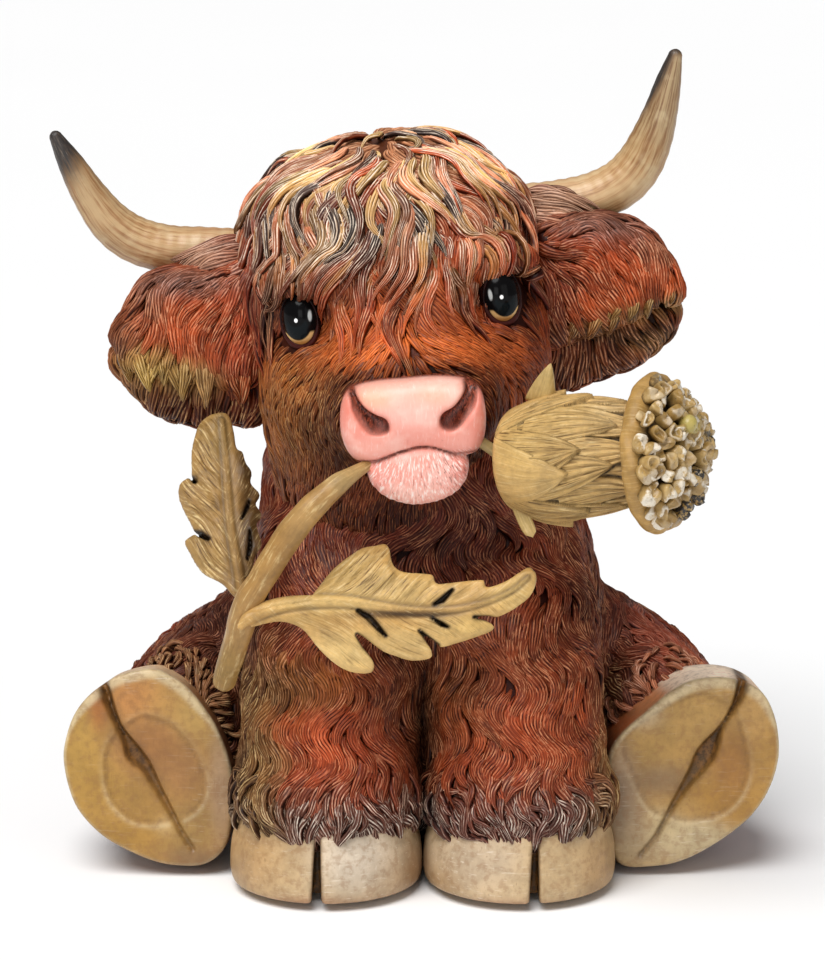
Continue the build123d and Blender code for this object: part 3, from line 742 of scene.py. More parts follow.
def turn(f, n, ang):
    """turn tangent vectors f about normals n"""
    f = unit(f - n * (f * n).sum(1, keepdims=True))
    return f * np.cos(ang)[:, None] + np.cross(n, f) * np.sin(ang)[:, None]


def wave(P, along, lam, amp, seed):
    return amp * np.sin(2 * math.pi * along / lam + 2.4 * noise3(P, 11.0, seed)) + 0.4 * noise3(P, 6.5, seed + 1)


def body_flow(P, n):
    x, y, z = P.T
    side = np.where(x > MID_X, 1.0, -1.0)
    f = np.stack([0.12 * side, np.zeros_like(x), -np.ones_like(x)], 1)
    # the thighs run out to the hind feet
    thigh = smooth(np.abs(x - MID_X), 33, 41) * smooth(z, 56, 44)
    g = np.stack([0.55 * side, -np.ones_like(x), -0.30 * np.ones_like(x)], 1)
    f = f * (1 - thigh[:, None]) + g * thigh[:, None]
    back = smooth(y, 18, 34) * (1 - thigh)
    g = np.stack([0.1 * side, 0.25 * np.ones_like(x), -np.ones_like(x)], 1)
    f = f * (1 - back[:, None]) + g * back[:, None]
    along = z * (1 - thigh) + y * thigh
    swirl = (0.72 - 0.22 * thigh) * np.sin(2 * math.pi * along / 14.0 + 2.9 * noise3(P, 11.0, 31)) + 0.38 * noise3(P, 6.5, 32)
    return turn(f, n, swirl)


def on_hoof(P):
    """where the hooves stand in for fur"""
    front = (P[:, 2] < 13.6) & (P[:, 1] < -4) & (np.abs(P[:, 0] - MID_X) < 40)
    hind = (P[:, 1] < -12.6) & (P[:, 1] > -23) & (np.abs(P[:, 0] - MID_X) > 33) & (P[:, 2] < 42)
    return front | hind


def keep_body(lo_y, hi_y):
    def keep(P, n):
        top = np.where(P[:, 1] > -4, 97.0, 88.0)
        return (P[:, 1] > lo_y) & (P[:, 1] <= hi_y) & (P[:, 2] > 1.5) & ~on_hoof(P) & (P[:, 2] < top)
    return keep


fur = fur_material("painted_fur")


def carpet(field, verts, quads, keep, flow, spacing, length, width, height, seed, ridges=4, per=3, steps=12, **kw):
    roots = spread(verts, quads, spacing, keep, seed)
    rng = np.random.default_rng(seed + 5)
    n = len(roots)
    L = length[0] + (length[1] - length[0]) * rng.random(n)
    W = width[0] + (width[1] - width[0]) * rng.random(n)
    H = height[0] + (height[1] - height[0]) * rng.random(n)
    pts, nrm = comb(field, roots, flow, L, steps)
    v, q, t, a = locks(pts, nrm, W, H, ridges=ridges, per=per, seed=seed + 9, **kw)
    a["root"] = np.repeat(pts[:, pts.shape[1] // 3], pts.shape[1] * (ridges * per + 2), 0)
    return v, q, t, a


class Coat(Bag):
    def paint_with(self, name, mat, paint, **kw):
        root = np.concatenate(self.a.pop("root"))
        return self.piece(name, mat, lambda v: paint(v, root), **kw)


mesh_piece("body_core", body_v, body_q, fur, replaces="body_casting",
           attrs=dict(paint_body(body_v, body_v), lk=np.tile([0.5, 0.0, 0.4], (len(body_v), 1)),
                      st=np.stack([body_v[:, 0], body_v[:, 2], body_v[:, 1]], 1)))
coat = Coat()
coat.add(*carpet(body_field, body_v, body_q, keep_body(-60, 12), body_flow, 2.05, (10, 14.5), (1.35, 1.95), (0.85, 1.25), 101,
                 ridges=5, root=0.2, lift1=0.8, tip_dip=0.35, twist=0.4, loose=0.8))
# ragged ends that lie over the hooves
def fringe_flow(P, n):
    return turn(body_flow(P, n), n, 1.0 * noise3(P, 2.4, 131) + 0.5 * noise3(P, 5.0, 132))


for seed, low, high_, L, W, lift in ((111, 12.8, 19.5, (3.6, 9.4), (0.65, 1.3), 1.7), (112, 14.5, 24.0, (7.0, 11.0), (0.7, 1.2), 2.0)):
    coat.add(*carpet(body_field, body_v, body_q,
                     lambda P, n: (P[:, 2] > low) & (P[:, 2] < high_) & (P[:, 1] < -6) & (np.abs(P[:, 0] - MID_X) < 40),
                     fringe_flow, 1.55 if seed == 111 else 2.9, L, W, (0.8, 1.15), seed, ridges=3, root=0.15, lift1=lift, tip_dip=0.1, twist=0.6,
                     loose=1.2, fat=0.9, steps=12))
coat.add(*carpet(body_field, body_v, body_q,
                 lambda P, n: (np.abs(P[:, 0] - MID_X) > 31) & (P[:, 2] > 3) & (P[:, 2] < 60) & (P[:, 1] < 26) & ~on_hoof(P),
                 lambda P, n: turn(body_flow(P, n), n, 0.55 * noise3(P, 5.0, 151) + 0.15), 2.2, (6.5, 10), (1.0, 1.5), (0.75, 1.05), 114, ridges=4, root=0.15, lift1=0.75, tip_dip=0.3, twist=0.4,
                 loose=0.8, steps=10))
coat.paint_with("body_fur_front", fur, paint_body)
coat = Coat()
coat.add(*carpet(body_field, body_v, body_q, keep_body(12, 80), body_flow, 2.5, (12, 17), (1.9, 2.6), (0.9, 1.3), 102, ridges=4))
coat.paint_with("body_fur_back", fur, paint_body)


# ------------------------------------------------------------------ hooves
def from_image(px, py, Y):
    """layout points seen at picture places px, py and lying at depth Y"""
    px, py = np.atleast_1d(np.asarray(px, float)), np.atleast_1d(np.asarray(py, float))
    d = -BACK[None] + ((px - 412.5) / FOCAL_PX)[:, None] * np.array([1.0, 0, 0]) + ((480 - py) / FOCAL_PX)[:, None] * UP
    return EYE + d * ((Y - EYE[1]) / d[:, 1])[:, None]


def closed_curve(pts, n=140):
    """points on a smooth closed curve through pts (Catmull-Rom)"""
    P = np.asarray(pts, float)
    m = len(P)
    u = np.linspace(0, m, n, endpoint=False)
    i = u.astype(int)
    t = (u - i)[:, None]
    a, b, c, d = P[(i - 1) % m], P[i % m], P[(i + 1) % m], P[(i + 2) % m]
    return 0.5 * (2 * b + (c - a) * t + (2 * a - 5 * b + 4 * c - d) * t ** 2 + (3 * b - a - 3 * c + d) * t ** 3)


def open_curve(pts, n=40):
    P = np.asarray(pts, float)
    m = len(P)
    u = np.linspace(0, m - 1, n)
    i = np.minimum(u.astype(int), m - 2)
    t = (u - i)[:, None]
    a, b, c, d = P[np.maximum(i - 1, 0)], P[i], P[i + 1], P[np.minimum(i + 2, m - 1)]
    return 0.5 * (2 * b + (c - a) * t + (2 * a - 5 * b + 4 * c - d) * t ** 2 + (3 * b - a - 3 * c + d) * t ** 3)


def polygon_distance(U, V, pts):
    """signed distance to a closed polygon over flat coordinate arrays, negative inside"""
    A = np.asarray(pts, float)
    B = np.roll(A, -1, 0)
    best = np.full(U.shape, 1e9)
    inside = np.zeros(U.shape, bool)
    for (ax, ay), (bx, by) in zip(A, B):
        dx, dy = bx - ax, by - ay
        t = np.clip(((U - ax) * dx + (V - ay) * dy) / max(dx * dx + dy * dy, 1e-9), 0, 1)
        best = np.minimum(best, (U - ax - dx * t) ** 2 + (V - ay - dy * t) ** 2)
        if ay != by:
            cross = ((ay > V) != (by > V)) & (U < (bx - ax) * (V - ay) / (by - ay) + ax)
            inside ^= cross
    d = np.sqrt(best)
    return np.where(inside, -d, d)


def track_distance(U, V, pts):
    """distance past a path whose points carry a half width: rows (u, v, half width)"""
    best = np.full(np.broadcast(U, V).shape, 1e9)
    for (ax, ay, aw), (bx, by, bw) in zip(pts[:-1], pts[1:]):
        dx, dy = bx - ax, by - ay
        t = np.clip(((U - ax) * dx + (V - ay) * dy) / max(dx * dx + dy * dy, 1e-9), 0, 1)
        best = np.minimum(best, np.sqrt((U - ax - dx * t) ** 2 + (V - ay - dy * t) ** 2) - (aw + (bw - aw) * t))
    return best


def hoof_material():
    """painted horn-like resin: cream over ochre, brown wash in the clefts, fine drybrushed scratches"""
    M = Mat("painted_hoof")
    col = M.attr("col")
    wash, chalk, _ = M.split(M.attr("mx"))
    at = M.where()
    cloud = M.noise(at, 130.0, 3.0, 0.6)
    mottle = M.noise(at, 620.0, 3.0, 0.65)
    scratch = M.noise(M.scaled(at, (2600.0, 2600.0, 190.0)), 1.0, 2.0, 0.6, 0.4)
    cross_ = M.noise(M.scaled(at, (240.0, 900.0, 2400.0)), 1.0, 2.0, 0.6, 0.3)
    value = M.math("MULTIPLY", M.range(cloud, 0.3, 0.7, 0.86, 1.12), M.range(mottle, 0.25, 0.75, 0.9, 1.1))
    base = M.new("VectorMath", {0: col, 3: value}, operation="SCALE").outputs[0]
    base = M.mix(M.math("MULTIPLY", M.range(mottle, 0.52, 0.36), 0.28), base, tuple(rgb("96683f")) + (1,))
    pale = M.math("MULTIPLY", M.range(scratch, 0.62, 0.95), M.range(mottle, 0.35, 0.6))
    pale = M.math("ADD", pale, M.math("MULTIPLY", M.range(cross_, 0.58, 0.78), 0.6))
    pale = M.math("MULTIPLY", pale, chalk, clamp=True)
    base = M.mix(pale, base, tuple(rgb("e6dac6")) + (1,))
    stain = M.math("MULTIPLY", M.range(mottle, 0.60, 0.74), M.range(scratch, 0.3, 0.55, 0.5, 0.0))
    base = M.mix(stain, base, tuple(rgb("6a4a26")) + (1,))
    dark = M.math("ADD", wash, M.math("MULTIPLY", M.math("SUBTRACT", mottle, 0.5), M.math("MULTIPLY", wash, 1.2)), clamp=True)
    base = M.mix(dark, base, M.mix(M.range(mottle, 0.38, 0.62), tuple(rgb("33200d")) + (1,), tuple(rgb("7a5328")) + (1,)))
    normal = M.bump(M.math("ADD", scratch, M.math("MULTIPLY", mottle, 0.8)), 0.35, 0.12)
    return M.set(Base_Color=base, Roughness=M.range(mottle, 0.2, 0.8, 0.34, 0.52), Normal=normal, Specular_IOR_Level=0.35)


hoof_mat = hoof_material()
HOOF_CREAM, HOOF_WHITE, HOOF_OCHRE, HOOF_RUST = rgb("cdb384"), rgb("ddd2b8"), rgb("b1894c"), rgb("9c5f38")
CLEFT_X = (310, 532)
# the pale patches high on each front hoof are partly worn cream paint and partly a painted highlight on the lit top;
# the row along the bottom is browner
FRONT_SPOTS = [
    (255, 855, 26, 30, rgb("b78f56"), 1.0), (290, 860, 26, 26, rgb("c9ab78"), 0.8), (355, 858, 34, 26, rgb("ddd0b4"), 1.2),
    (395, 880, 20, 24, rgb("bda076"), 0.9), (415, 880, 12, 26, rgb("8a6238"), 1.2), (440, 890, 18, 20, rgb("a5814f"), 0.8),
    (475, 858, 34, 24, rgb("cbb693"), 1.2), (560, 862, 30, 30, rgb("c8ab79"), 1.0), (600, 870, 18, 30, rgb("b28a52"), 1.0),
    (290, 908, 60, 8, rgb("b07a52"), 0.9), (400, 905, 40, 8, rgb("a57c55"), 0.7), (470, 912, 60, 8, rgb("b37d66"), 0.9),
    (560, 912, 50, 8, rgb("a97a4e"), 0.9),
]


def front_hoof(k):
    lx = LEG_X[k]
    rows = [(14.6, lx, -29.4, 16.6, 16.2), (11.5, lx, -29.6, 17.7, 17.6), (7, lx, -29.9, 18.3, 18.4),
            (2.0, lx, -30.3, 18.8, 19.0), (-1.2, lx, -30.4, 18.2, 18.6)]
    cx = float(from_image(CLEFT_X[k] + (7 if k == 0 else 3), 866, -47.5)[0, 0])

    def fn(p):
        x, y, z = p
        d = stack(x, y, z, rows, end=0.6)
        d = smax(d, FLOOR + 0.75 - z, 1.2)
        d = d - 0.25 * np.exp(-((z - 6.5) / 2.2) ** 2) + 0.2 * np.exp(-((z - 9.6) / 0.9) ** 2)
        w = 0.45 + 0.55 * np.clip((12.5 - z) / 14, 0, 1)
        gap = np.sqrt((x - cx - 0.02 * (z - 6)) ** 2 + 0.02) - w
        cut = smax(gap, y + 42.0 + 0.10 * z, 0.5)
        return smax(d, -cut, 0.55)

    f = Field((lx - 20.5, -51, FLOOR - 0.6), (lx + 20.5, -10, 16), 0.55, fn)
    v, q = surface_net(f)
    px, py = to_image(v)
    col = blobs(px, py, HOOF_CREAM, FRONT_SPOTS, 0.3)
    back = smooth(v[:, 1], -34, -22)[:, None]
    col = (col * (1 - back) + HOOF_OCHRE[None] * back) * np.array([0.80, 0.78, 0.86])
    w = 0.45 + 0.55 * np.clip((12.5 - v[:, 2]) / 14, 0, 1)
    gap = np.abs(v[:, 0] - cx - 0.02 * (v[:, 2] - 6)) - w
    deep = smooth(v[:, 1], -46.3, -44.8) * smooth(gap, 0.9, 0.1) + 0.8 * smooth(gap, 0.55, 0.0) * smooth(v[:, 1], -44, -46)
    top = smooth(v[:, 2], 11.6, 13.4)
    wash = np.clip(deep + top * 0.9, 0, 1)
    chalk = 0.30 + 0.55 * np.exp(-((px - (355 if k == 0 else 478)) / 60) ** 2)
    mesh_piece(f"hoof_front_{'right' if k == 0 else 'left'}", v, q, hoof_mat,
               attrs=dict(col=col, mx=np.stack([wash, chalk, wash], 1)))


SOLE = [
    dict(name="hoof_hind_right", Y=-22.0, shear=(0.03, -0.19, -0.19),
         edge=[(151, 669), (120, 675), (102, 685), (86, 698), (73, 716), (65, 740), (63, 760), (68, 787), (79, 812), (102, 836),
               (130, 852), (155, 862), (178, 866), (203, 865), (221, 853), (230, 832), (233, 800), (231, 768), (219, 733),
               (205, 710), (188, 689), (170, 676)],
         plate=[(136, 718), (149, 716), (163, 720), (176, 728), (190, 744), (200, 762), (206, 785), (200, 805), (185, 818),
                (164, 823), (149, 824), (130, 819), (113, 803), (106, 783), (104, 760), (112, 738)],
         cleft=[(101, 682, 7.2), (106, 694, 6.4), (112, 711, 5.0), (120, 729, 4.2), (128, 743, 6.5), (135, 756, 9.5), (146, 768, 7.0),
                (155, 784, 5.2), (164, 800, 4.0), (174, 818, 3.4), (184, 836, 3.2), (193, 849, 3.0)],
         spots=[(98, 702, 7, 20, rgb("a96a3a"), 2.2), (130, 700, 24, 16, rgb("c98f58"), 1.2), (165, 705, 20, 14, rgb("c29a5c"), 1.0),
                (190, 715, 16, 18, rgb("c8a868"), 1.0), (150, 745, 26, 22, rgb("ab7a4c"), 1.6), (175, 775, 22, 22, rgb("a57a50"), 1.3),
                (80, 750, 16, 40, rgb("bb9850"), 1.2), (95, 790, 24, 24, rgb("b8924a"), 1.2), (120, 835, 40, 14, rgb("b38c45"), 1.2),
                (150, 800, 26, 20, rgb("a98548"), 1.0), (190, 830, 22, 20, rgb("a98c5a"), 1.0), (222, 790, 9, 40, rgb("b89c84"), 1.6),
                (195, 858, 22, 8, rgb("8d7258"), 1.6), (150, 862, 20, 6, rgb("a07a42"), 1.0), (165, 826, 8, 8, rgb("d2b98c"), 1.0)],
         wall=[(150, 668, 60, 12, rgb("c9b090"), 1.6), (225, 760, 14, 50, rgb("7a4326"), 1.6), (80, 700, 20, 20, rgb("b8926a"), 1.2)],
         chalk=[(165, 675, 40, 10, 1.0, 1.0), (215, 800, 14, 40, 0.8, 1.0)]),
    dict(name="hoof_hind_left", Y=-22.0, shear=(-0.11, -0.03, -0.19),
         edge=[(690, 683), (712, 679), (733, 680), (752, 686), (767, 698), (777, 722), (780, 750), (776, 774), (765, 799),
               (746, 822), (713, 846), (680, 862), (650, 867), (624, 866), (613, 850), (607, 812), (606, 775), (612, 751),
               (625, 733), (647, 714), (668, 696)],
         plate=[(622, 745), (632, 775), (640, 793), (652, 811), (672, 819), (692, 821), (716, 816), (733, 805), (745, 786),
                (749, 766), (746, 745), (740, 722), (725, 702), (700, 693), (670, 704), (640, 722)],
         cleft=[(744, 679, 8.0), (740, 694, 6.0), (732, 711, 3.6), (722, 727, 3.0), (713, 743, 8.0), (705, 757, 11.0), (695, 773, 8.0),
                (684, 789, 5.2), (674, 805, 3.8), (664, 822, 3.2), (654, 839, 3.0), (640, 855, 2.6)],
         spots=[(690, 715, 30, 18, rgb("bd9c62"), 1.2), (655, 745, 24, 20, rgb("b3935a"), 1.0), (660, 778, 18, 12, rgb("917a62"), 1.3),
                (622, 790, 12, 34, rgb("9d8878"), 1.8), (628, 825, 16, 20, rgb("ad9c86"), 1.6), (650, 850, 30, 12, rgb("b9a98e"), 1.6),
                (690, 840, 34, 14, rgb("cfc3a8"), 2.0), (662, 828, 14, 14, rgb("c6b898"), 1.2), (645, 716, 14, 10, rgb("d6c6ae"), 1.3),
                (760, 712, 16, 20, rgb("c5a068"), 1.2), (772, 760, 12, 34, rgb("b28c4e"), 1.2), (732, 770, 14, 30, rgb("a1743f"), 1.4),
                (712, 800, 24, 14, rgb("a9813f"), 1.2), (745, 805, 20, 18, rgb("b8904c"), 1.0), (690, 806, 14, 8, rgb("c0a06a"), 0.8)],
         wall=[(700, 674, 40, 12, rgb("f7eadb"), 4.0), (645, 698, 16, 14, rgb("d08a60"), 2.0), (622, 722, 14, 16, rgb("b05c34"), 2.0),
               (606, 760, 12, 26, rgb("6a2c18"), 2.4), (603, 810, 10, 40, rgb("54301e"), 2.0), (755, 684, 16, 8, rgb("cfae8c"), 1.2)],
         chalk=[(690, 845, 36, 18, 1.0, 1.2), (620, 800, 16, 50, 0.8, 1.0), (670, 685, 50, 12, 1.0, 1.0)]),
]


def sole_curve(s, key, n):
    e = np.array(s[key], float)
    return closed_curve(from_image(e[:, 0], e[:, 1], s["Y"] - 4.6)[:, [0, 2]], n)


def sheared(s, U, V, dy):
    """the wall of a hind hoof leans as it runs back from the sole"""
    sx, top, low = s["shear"]
    return U - sx * dy, V - (low + (top - low) * smooth(V, 4, 26)) * dy


def hind_hoof(s):
    Y = s["Y"]
    E, plate = sole_curve(s, "edge", 96), sole_curve(s, "plate", 70)
    c = np.array(s["cleft"], float)
    C = from_image(c[:, 0], c[:, 1], Y - 4.2)
    track = open_curve(np.stack([C[:, 0], C[:, 2], c[:, 2] / 5.17], 1), 34)
    y0, y1 = Y - 4.6, Y + 9.5
    order = np.argsort(track[:, 1])
    lip = np.interp(track[order, 1], [track[:, 1].min(), track[:, 1].max() - 9, track[:, 1].max()], [1.1, 2.6, 4.2])

    def fn(p):
        x, y, z = p
        U, V = np.broadcast_arrays(x[:, 0, :], z[:, 0, :])
        ys = np.asarray(y).reshape(-1)
        d2 = np.stack([polygon_distance(*sheared(s, U, V, max(yy - y0, 0.0)), E) for yy in ys], 1).astype(F32)
        tr = track_distance(U, V, track).astype(F32)[:, None, :]
        dp = polygon_distance(U, V, plate).astype(F32)[:, None, :]
        # the middle of the sole lies a step lower than its border
        front = y0 + 0.42 * smooth(dp, 0.4, -0.4) + 0.25 * smooth(dp, -1, -8)
        d = smax(d2, front - y, 1.0)
        d = smax(d, y - y1, 1.5)
        along = np.interp(V, track[order, 1], lip).astype(F32)[:, None, :]
        cut = smax(tr + 0.30 * np.clip(y - front, 0, 6), y - (front + along), 0.8)
        return smax(d, -cut, 0.55)

    lo, hi = E.min(0) - 2.5, E.max(0) + 2.5
    f = Field((lo[0], y0 - 1.5, lo[1] - 2.0), (hi[0], y1 + 1.2, hi[1]), 0.52, fn)
    v, q = surface_net(f)
    v[:, 2] = np.maximum(v[:, 2], FLOOR + 0.3)
    px, py = to_image(v)
    col = blobs(px, py, rgb("b7935a"), s["spots"], 0.25)
    tr = track_distance(v[:, 0], v[:, 2], track)
    dp = polygon_distance(v[:, 0], v[:, 2], plate)
    depth = v[:, 1] - y0
    U, V = sheared(s, v[:, 0], v[:, 2], np.maximum(depth, 0.0))
    d2 = polygon_distance(U, V, E)
    up = smooth(py, 790, 730)
    wash = (0.60 + 0.34 * up) * smooth(tr, 0.35, -0.75 - 0.3 * up) + 0.22 * smooth(tr, 1.7, 0.0) * (0.5 + 0.5 * up)
    # a thin dark line just inside the edge of the recessed plate is painted shade at the foot of its step
    wash = np.maximum(wash, 0.30 * np.exp(-((dp + 0.35) / 0.5) ** 2) * (depth < 2.5))
    wash = np.maximum(wash, 0.45 * smooth(depth, 10.5, 13.5))
    # the pale rim round the sole is partly its whitish paint and partly a painted highlight along the upper outline,
    # where it is widest and strongest
    top = smooth(py, 740, 695)
    rim = smooth(d2, -0.9 - 1.7 * top, -0.3 - 0.9 * top) * (depth < 2.6) * (0.35 + 0.65 * smooth(py, 850, 700))
    col = col * (1 - 0.75 * rim[:, None]) + HOOF_WHITE[None] * 0.75 * rim[:, None]
    # a thin pale line just outside the plate's edge, strongest low down, is a painted highlight on the step's edge
    light = (0.35 * np.exp(-((dp - 0.6) / 0.45) ** 2) * (depth < 2) * smooth(tr, 0.2, 1.0) * (0.25 + 0.75 * smooth(py, 760, 800)))[:, None]
    col = col * (1 - light) + HOOF_WHITE[None] * light
    chalk = 0.12 + blobs(px, py, [0.0], [(a, b, c_, d_, [e_], g) for a, b, c_, d_, e_, g in s["chalk"]], 0.5)[:, 0]
    side = (smooth(depth, 0.9, 2.4) * (d2 > -1.6))[:, None]
    # the wall takes the wall patches' tones; their pale top ones, (150, 668) and (700, 674), and the lightening towards
    # the top here are partly cream paint and partly a painted highlight on the upward-facing top
    tone = blobs(px, py, rgb("8a5c3a"), s["wall"], 0.2)
    col = (col * (1 - 0.9 * side) + tone * 0.9 * side) * (np.array([0.81, 0.74, 0.61]) + side * np.array([0.42, 0.40, 0.42]) * smooth(py, 712, 690)[:, None])
    mesh_piece(s["name"], v, q, hoof_mat, attrs=dict(col=col, mx=np.stack([np.clip(wash, 0, 1), np.clip(chalk + rim * 0.4, 0, 1), wash], 1)))


for k in (0, 1):
    front_hoof(k)
for s in SOLE:
    hind_hoof(s)
# small curls along the upper rims of the hind hooves
RIMS = [sole_curve(s, "edge", 96) for s in SOLE]


def near_rim(P, n):
    d = np.minimum(*[polygon_distance(*sheared(s, P[:, 0], P[:, 2], 12.0), E) for s, E in zip(SOLE, RIMS)])
    return (P[:, 1] > -15.5) & (P[:, 1] < -3) & (P[:, 2] > 8) & (d > -3.5) & (d < 3.6) & (np.abs(P[:, 0] - MID_X) > 30)


def rim_flow(P, n):
    side = np.where(P[:, 0] > MID_X, 1.0, -1.0)
    return turn(np.stack([0.4 * side, -0.9 + 0 * side, -0.3 + 0 * side], 1), n, 1.3 * noise3(P, 2.4, 141) + 0.6 * noise3(P, 6.0, 142))


def paint_rim(v, root):
    px, py = to_image(v)
    left = smooth(px, 420, 400)[:, None]
    col = rgb("b56f4e")[None] * (1 - left) + rgb("8a5c3c")[None] * left
    col = col * (1 + 0.25 * noise3(root, 2.5, 145)[:, None])
    hi = rgb("f6cdb2")[None] * (1 - left) + rgb("e2c08c")[None] * left
    some = smooth(noise3(root, 2.2, 146), -0.15, 0.3)
    mx = np.stack([0.55 + 0.45 * some, np.full(len(v), 0.7), 0.0 * some], 1)
    return {"col": np.clip(col, 0.001, 1), "hi": hi, "mx": mx}


coat = Coat()
coat.add(*carpet(body_field, body_v, body_q, near_rim, rim_flow, 1.5, (3.4, 6.0), (0.6, 1.0), (0.7, 1.0), 113, ridges=3, root=0.2,
                 lift1=2.3, tip_dip=0.1, twist=0.5, loose=1.0, fat=0.9, steps=9))
coat.paint_with("hind_rim_fur", fur, paint_rim)


# ------------------------------------------------------------------ head
head_field = Field((-38, -56, 66), (36, 32, 150), 1.0, head_sdf_layout)
head_v, head_q = surface_net(head_field)
CROWN = np.array([-1.5, -9.0, 28.5])

HEAD_SPOTS = [
    (400, 148, 90, 26, rgb("cc8c6c"), 1.4), (300, 200, 40, 50, rgb("a8583c"), 1.0), (500, 220, 40, 60, rgb("a2472c"), 1.0),
    (270, 300, 22, 60, rgb("7e3520"), 1.0), (300, 270, 30, 30, rgb("8a4226"), 0.8), (400, 290, 60, 40, rgb("b5552d"), 1.0),
    (400, 350, 62, 16, rgb("d06a33"), 2.0), (345, 345, 26, 18, rgb("c25e2c"), 1.0), (455, 345, 36, 18, rgb("c65f2d"), 1.2),
    # (271, 320) here and (524, 302) below are painted shadow in the hollows beside the eyes
    (414, 371, 60, 9, rgb("42190f"), 6.0), (366, 380, 16, 9, rgb("42190f"), 4.0), (271, 320, 8, 22, rgb("1d0c08"), 4.0),
    (524, 302, 6, 26, rgb("2a110b"), 2.6), (296, 353, 16, 6, rgb("571a10"), 2.6), (505, 328, 15, 6, rgb("571a10"), 2.4), (345, 388, 10, 12, rgb("3f1a10"), 3.0), (483, 388, 10, 14, rgb("3f1a10"), 3.0),
    (340, 440, 9, 34, rgb("45200f"), 2.4), (330, 378, 22, 18, rgb("9a5529"), 1.2), (295, 375, 26, 26, rgb("b3692f"), 1.2),
    (275, 410, 18, 30, rgb("a5642f"), 1.0), (300, 430, 24, 40, rgb("7c4a28"), 1.2), (330, 430, 16, 60, rgb("5b2c18"), 1.6),
    (270, 470, 20, 30, rgb("6f3a20"), 1.0), (330, 480, 40, 24, rgb("5f2d1a"), 1.2), (300, 500, 40, 20, rgb("65301b"), 1.0),
    (505, 370, 26, 30, rgb("a8522a"), 1.2), (535, 350, 14, 36, rgb("7b3219"), 1.0), (490, 400, 14, 30, rgb("5c2512"), 1.4),
    # (420, 515) darkens the chin: partly its dark paint, partly painted shade under the muzzle
    (485, 460, 24, 36, rgb("2c120a"), 1.8), (420, 515, 60, 16, rgb("3a1007"), 2.4), (520, 280, 26, 40, rgb("83351f"), 1.0),
    (535, 230, 16, 60, rgb("8f3a22"), 1.0), (478, 300, 16, 26, rgb("9a4322"), 0.8), (330, 320, 20, 26, rgb("96491f"), 0.8),
]


def paint_head(v, root):
    px, py = to_image(root)
    q = layout_to_head(root)
    behind = smooth(root[:, 1], 4, 14)
    col = blobs(px, py, RUST, HEAD_SPOTS)
    rear = REDBROWN[None] * np.ones((len(v), 1))
    n = fbm(root, 14.0, 8)
    rear = rear * (1 + 0.35 * n[:, None]) + smooth(q[:, 2], 8, 26)[:, None] * (rgb("9a4a2e") - REDBROWN)[None]
    col = col * (1 - behind[:, None]) + rear * behind[:, None]
    vary = noise3(root, 4.5, 12)
    col = col * (1 + 0.16 * vary[:, None])
    hi = np.ones((len(v), 1)) * rgb("d08a55")
    pale = smooth(q[:, 2], 2, 14)[:, None]
    hi = hi * (1 - pale) + rgb("eac3a0")[None] * pale
    drybrush_and_highlight = 0.28 + 0.12 * vary + 0.35 * smooth(q[:, 2], 0, 16)
    rim = np.exp(-(((px - 300) / 50) ** 2 + ((py - 400) / 60) ** 2))
    hi = hi * (1 - rim[:, None]) + rgb("d3b076")[None] * rim[:, None]
    drybrush_and_highlight = drybrush_and_highlight + 0.3 * rim + 0.12
    col = col * np.array([0.90, 0.84, 0.66])
    mx = np.stack([np.clip(drybrush_and_highlight, 0, 1), np.full(len(v), 0.95), 0.0 * vary], 1)
    return {"col": np.clip(col, 0.001, 1), "hi": hi, "mx": mx}


def head_flow(P, n):
    q = layout_to_head(P)
    x, y, z = q.T
    # round the crown the hair runs outwards, lower down it hangs
    d = q - CROWN
    radial = d[:, :1] * HX + d[:, 1:2] * HY + d[:, 2:3] * HZ
    radial = unit(radial) + np.array([0, 0, -0.35])
    side = np.sign(x)
    face = smooth(y, -18, -28) * smooth(z, 0, -5)
    lateral = np.tanh(x / 8.0) * (1.55 * np.exp(-((z + 7) / 9.0) ** 2) + 0.35)
    fan = lateral[:, None] * HX + (-1.0) * HZ[None]
    low = smooth(z, 6, -10) * (1 - face)
    hang = (0.10 * side)[:, None] * HX - HZ[None]
    f = unit(radial) * (1 - low[:, None]) + hang * low[:, None]
    f = f * (1 - face[:, None]) + unit(fan) * face[:, None]
    amp = wave(P, q[:, 2], 16.0, 0.5, 61)
    return turn(f, n, amp * (1 - 0.78 * face))


def clear_of_face(q, grow=0.0):
    """true where hair may grow: off the eyes, nose and lips"""
    x, y, z = q.T
    ok = np.ones(len(q), bool)
    for s in (-1, 1):
        ex, _, ez = EYES[s]
        ok &= ~((((x - ex) / (4.6 + grow)) ** 2 + ((z - ez - 0.4) / (6.2 + grow)) ** 2 < 1) & (y < -18))
    nose = ((np.abs(x) / (12.6 + grow)) ** 3 + (np.abs(z + 18.2) / (6.4 + grow)) ** 3 < 1) & (y < -34)
    lip = ((x / (9.2 + grow)) ** 2 + ((z + 27.5) / (6.8 + grow)) ** 2 < 1) & (y < -34)
    return ok & ~nose & ~lip


def keep_head(fn):
    def keep(P, n):
        q = layout_to_head(P)
        return fn(q) & (P[:, 2] > 72)
    return keep


mesh_piece("head_core", head_v, head_q, fur, replaces="head_casting",
           attrs=dict(paint_head(head_v, head_v), lk=np.tile([0.5, 0.0, 0.4], (len(head_v), 1)),
                      st=np.stack([head_v[:, 0], head_v[:, 2], head_v[:, 1]], 1)))


def face_zone(q):
    return (q[:, 1] < -17) & (q[:, 2] < 3) & (q[:, 2] > -42)


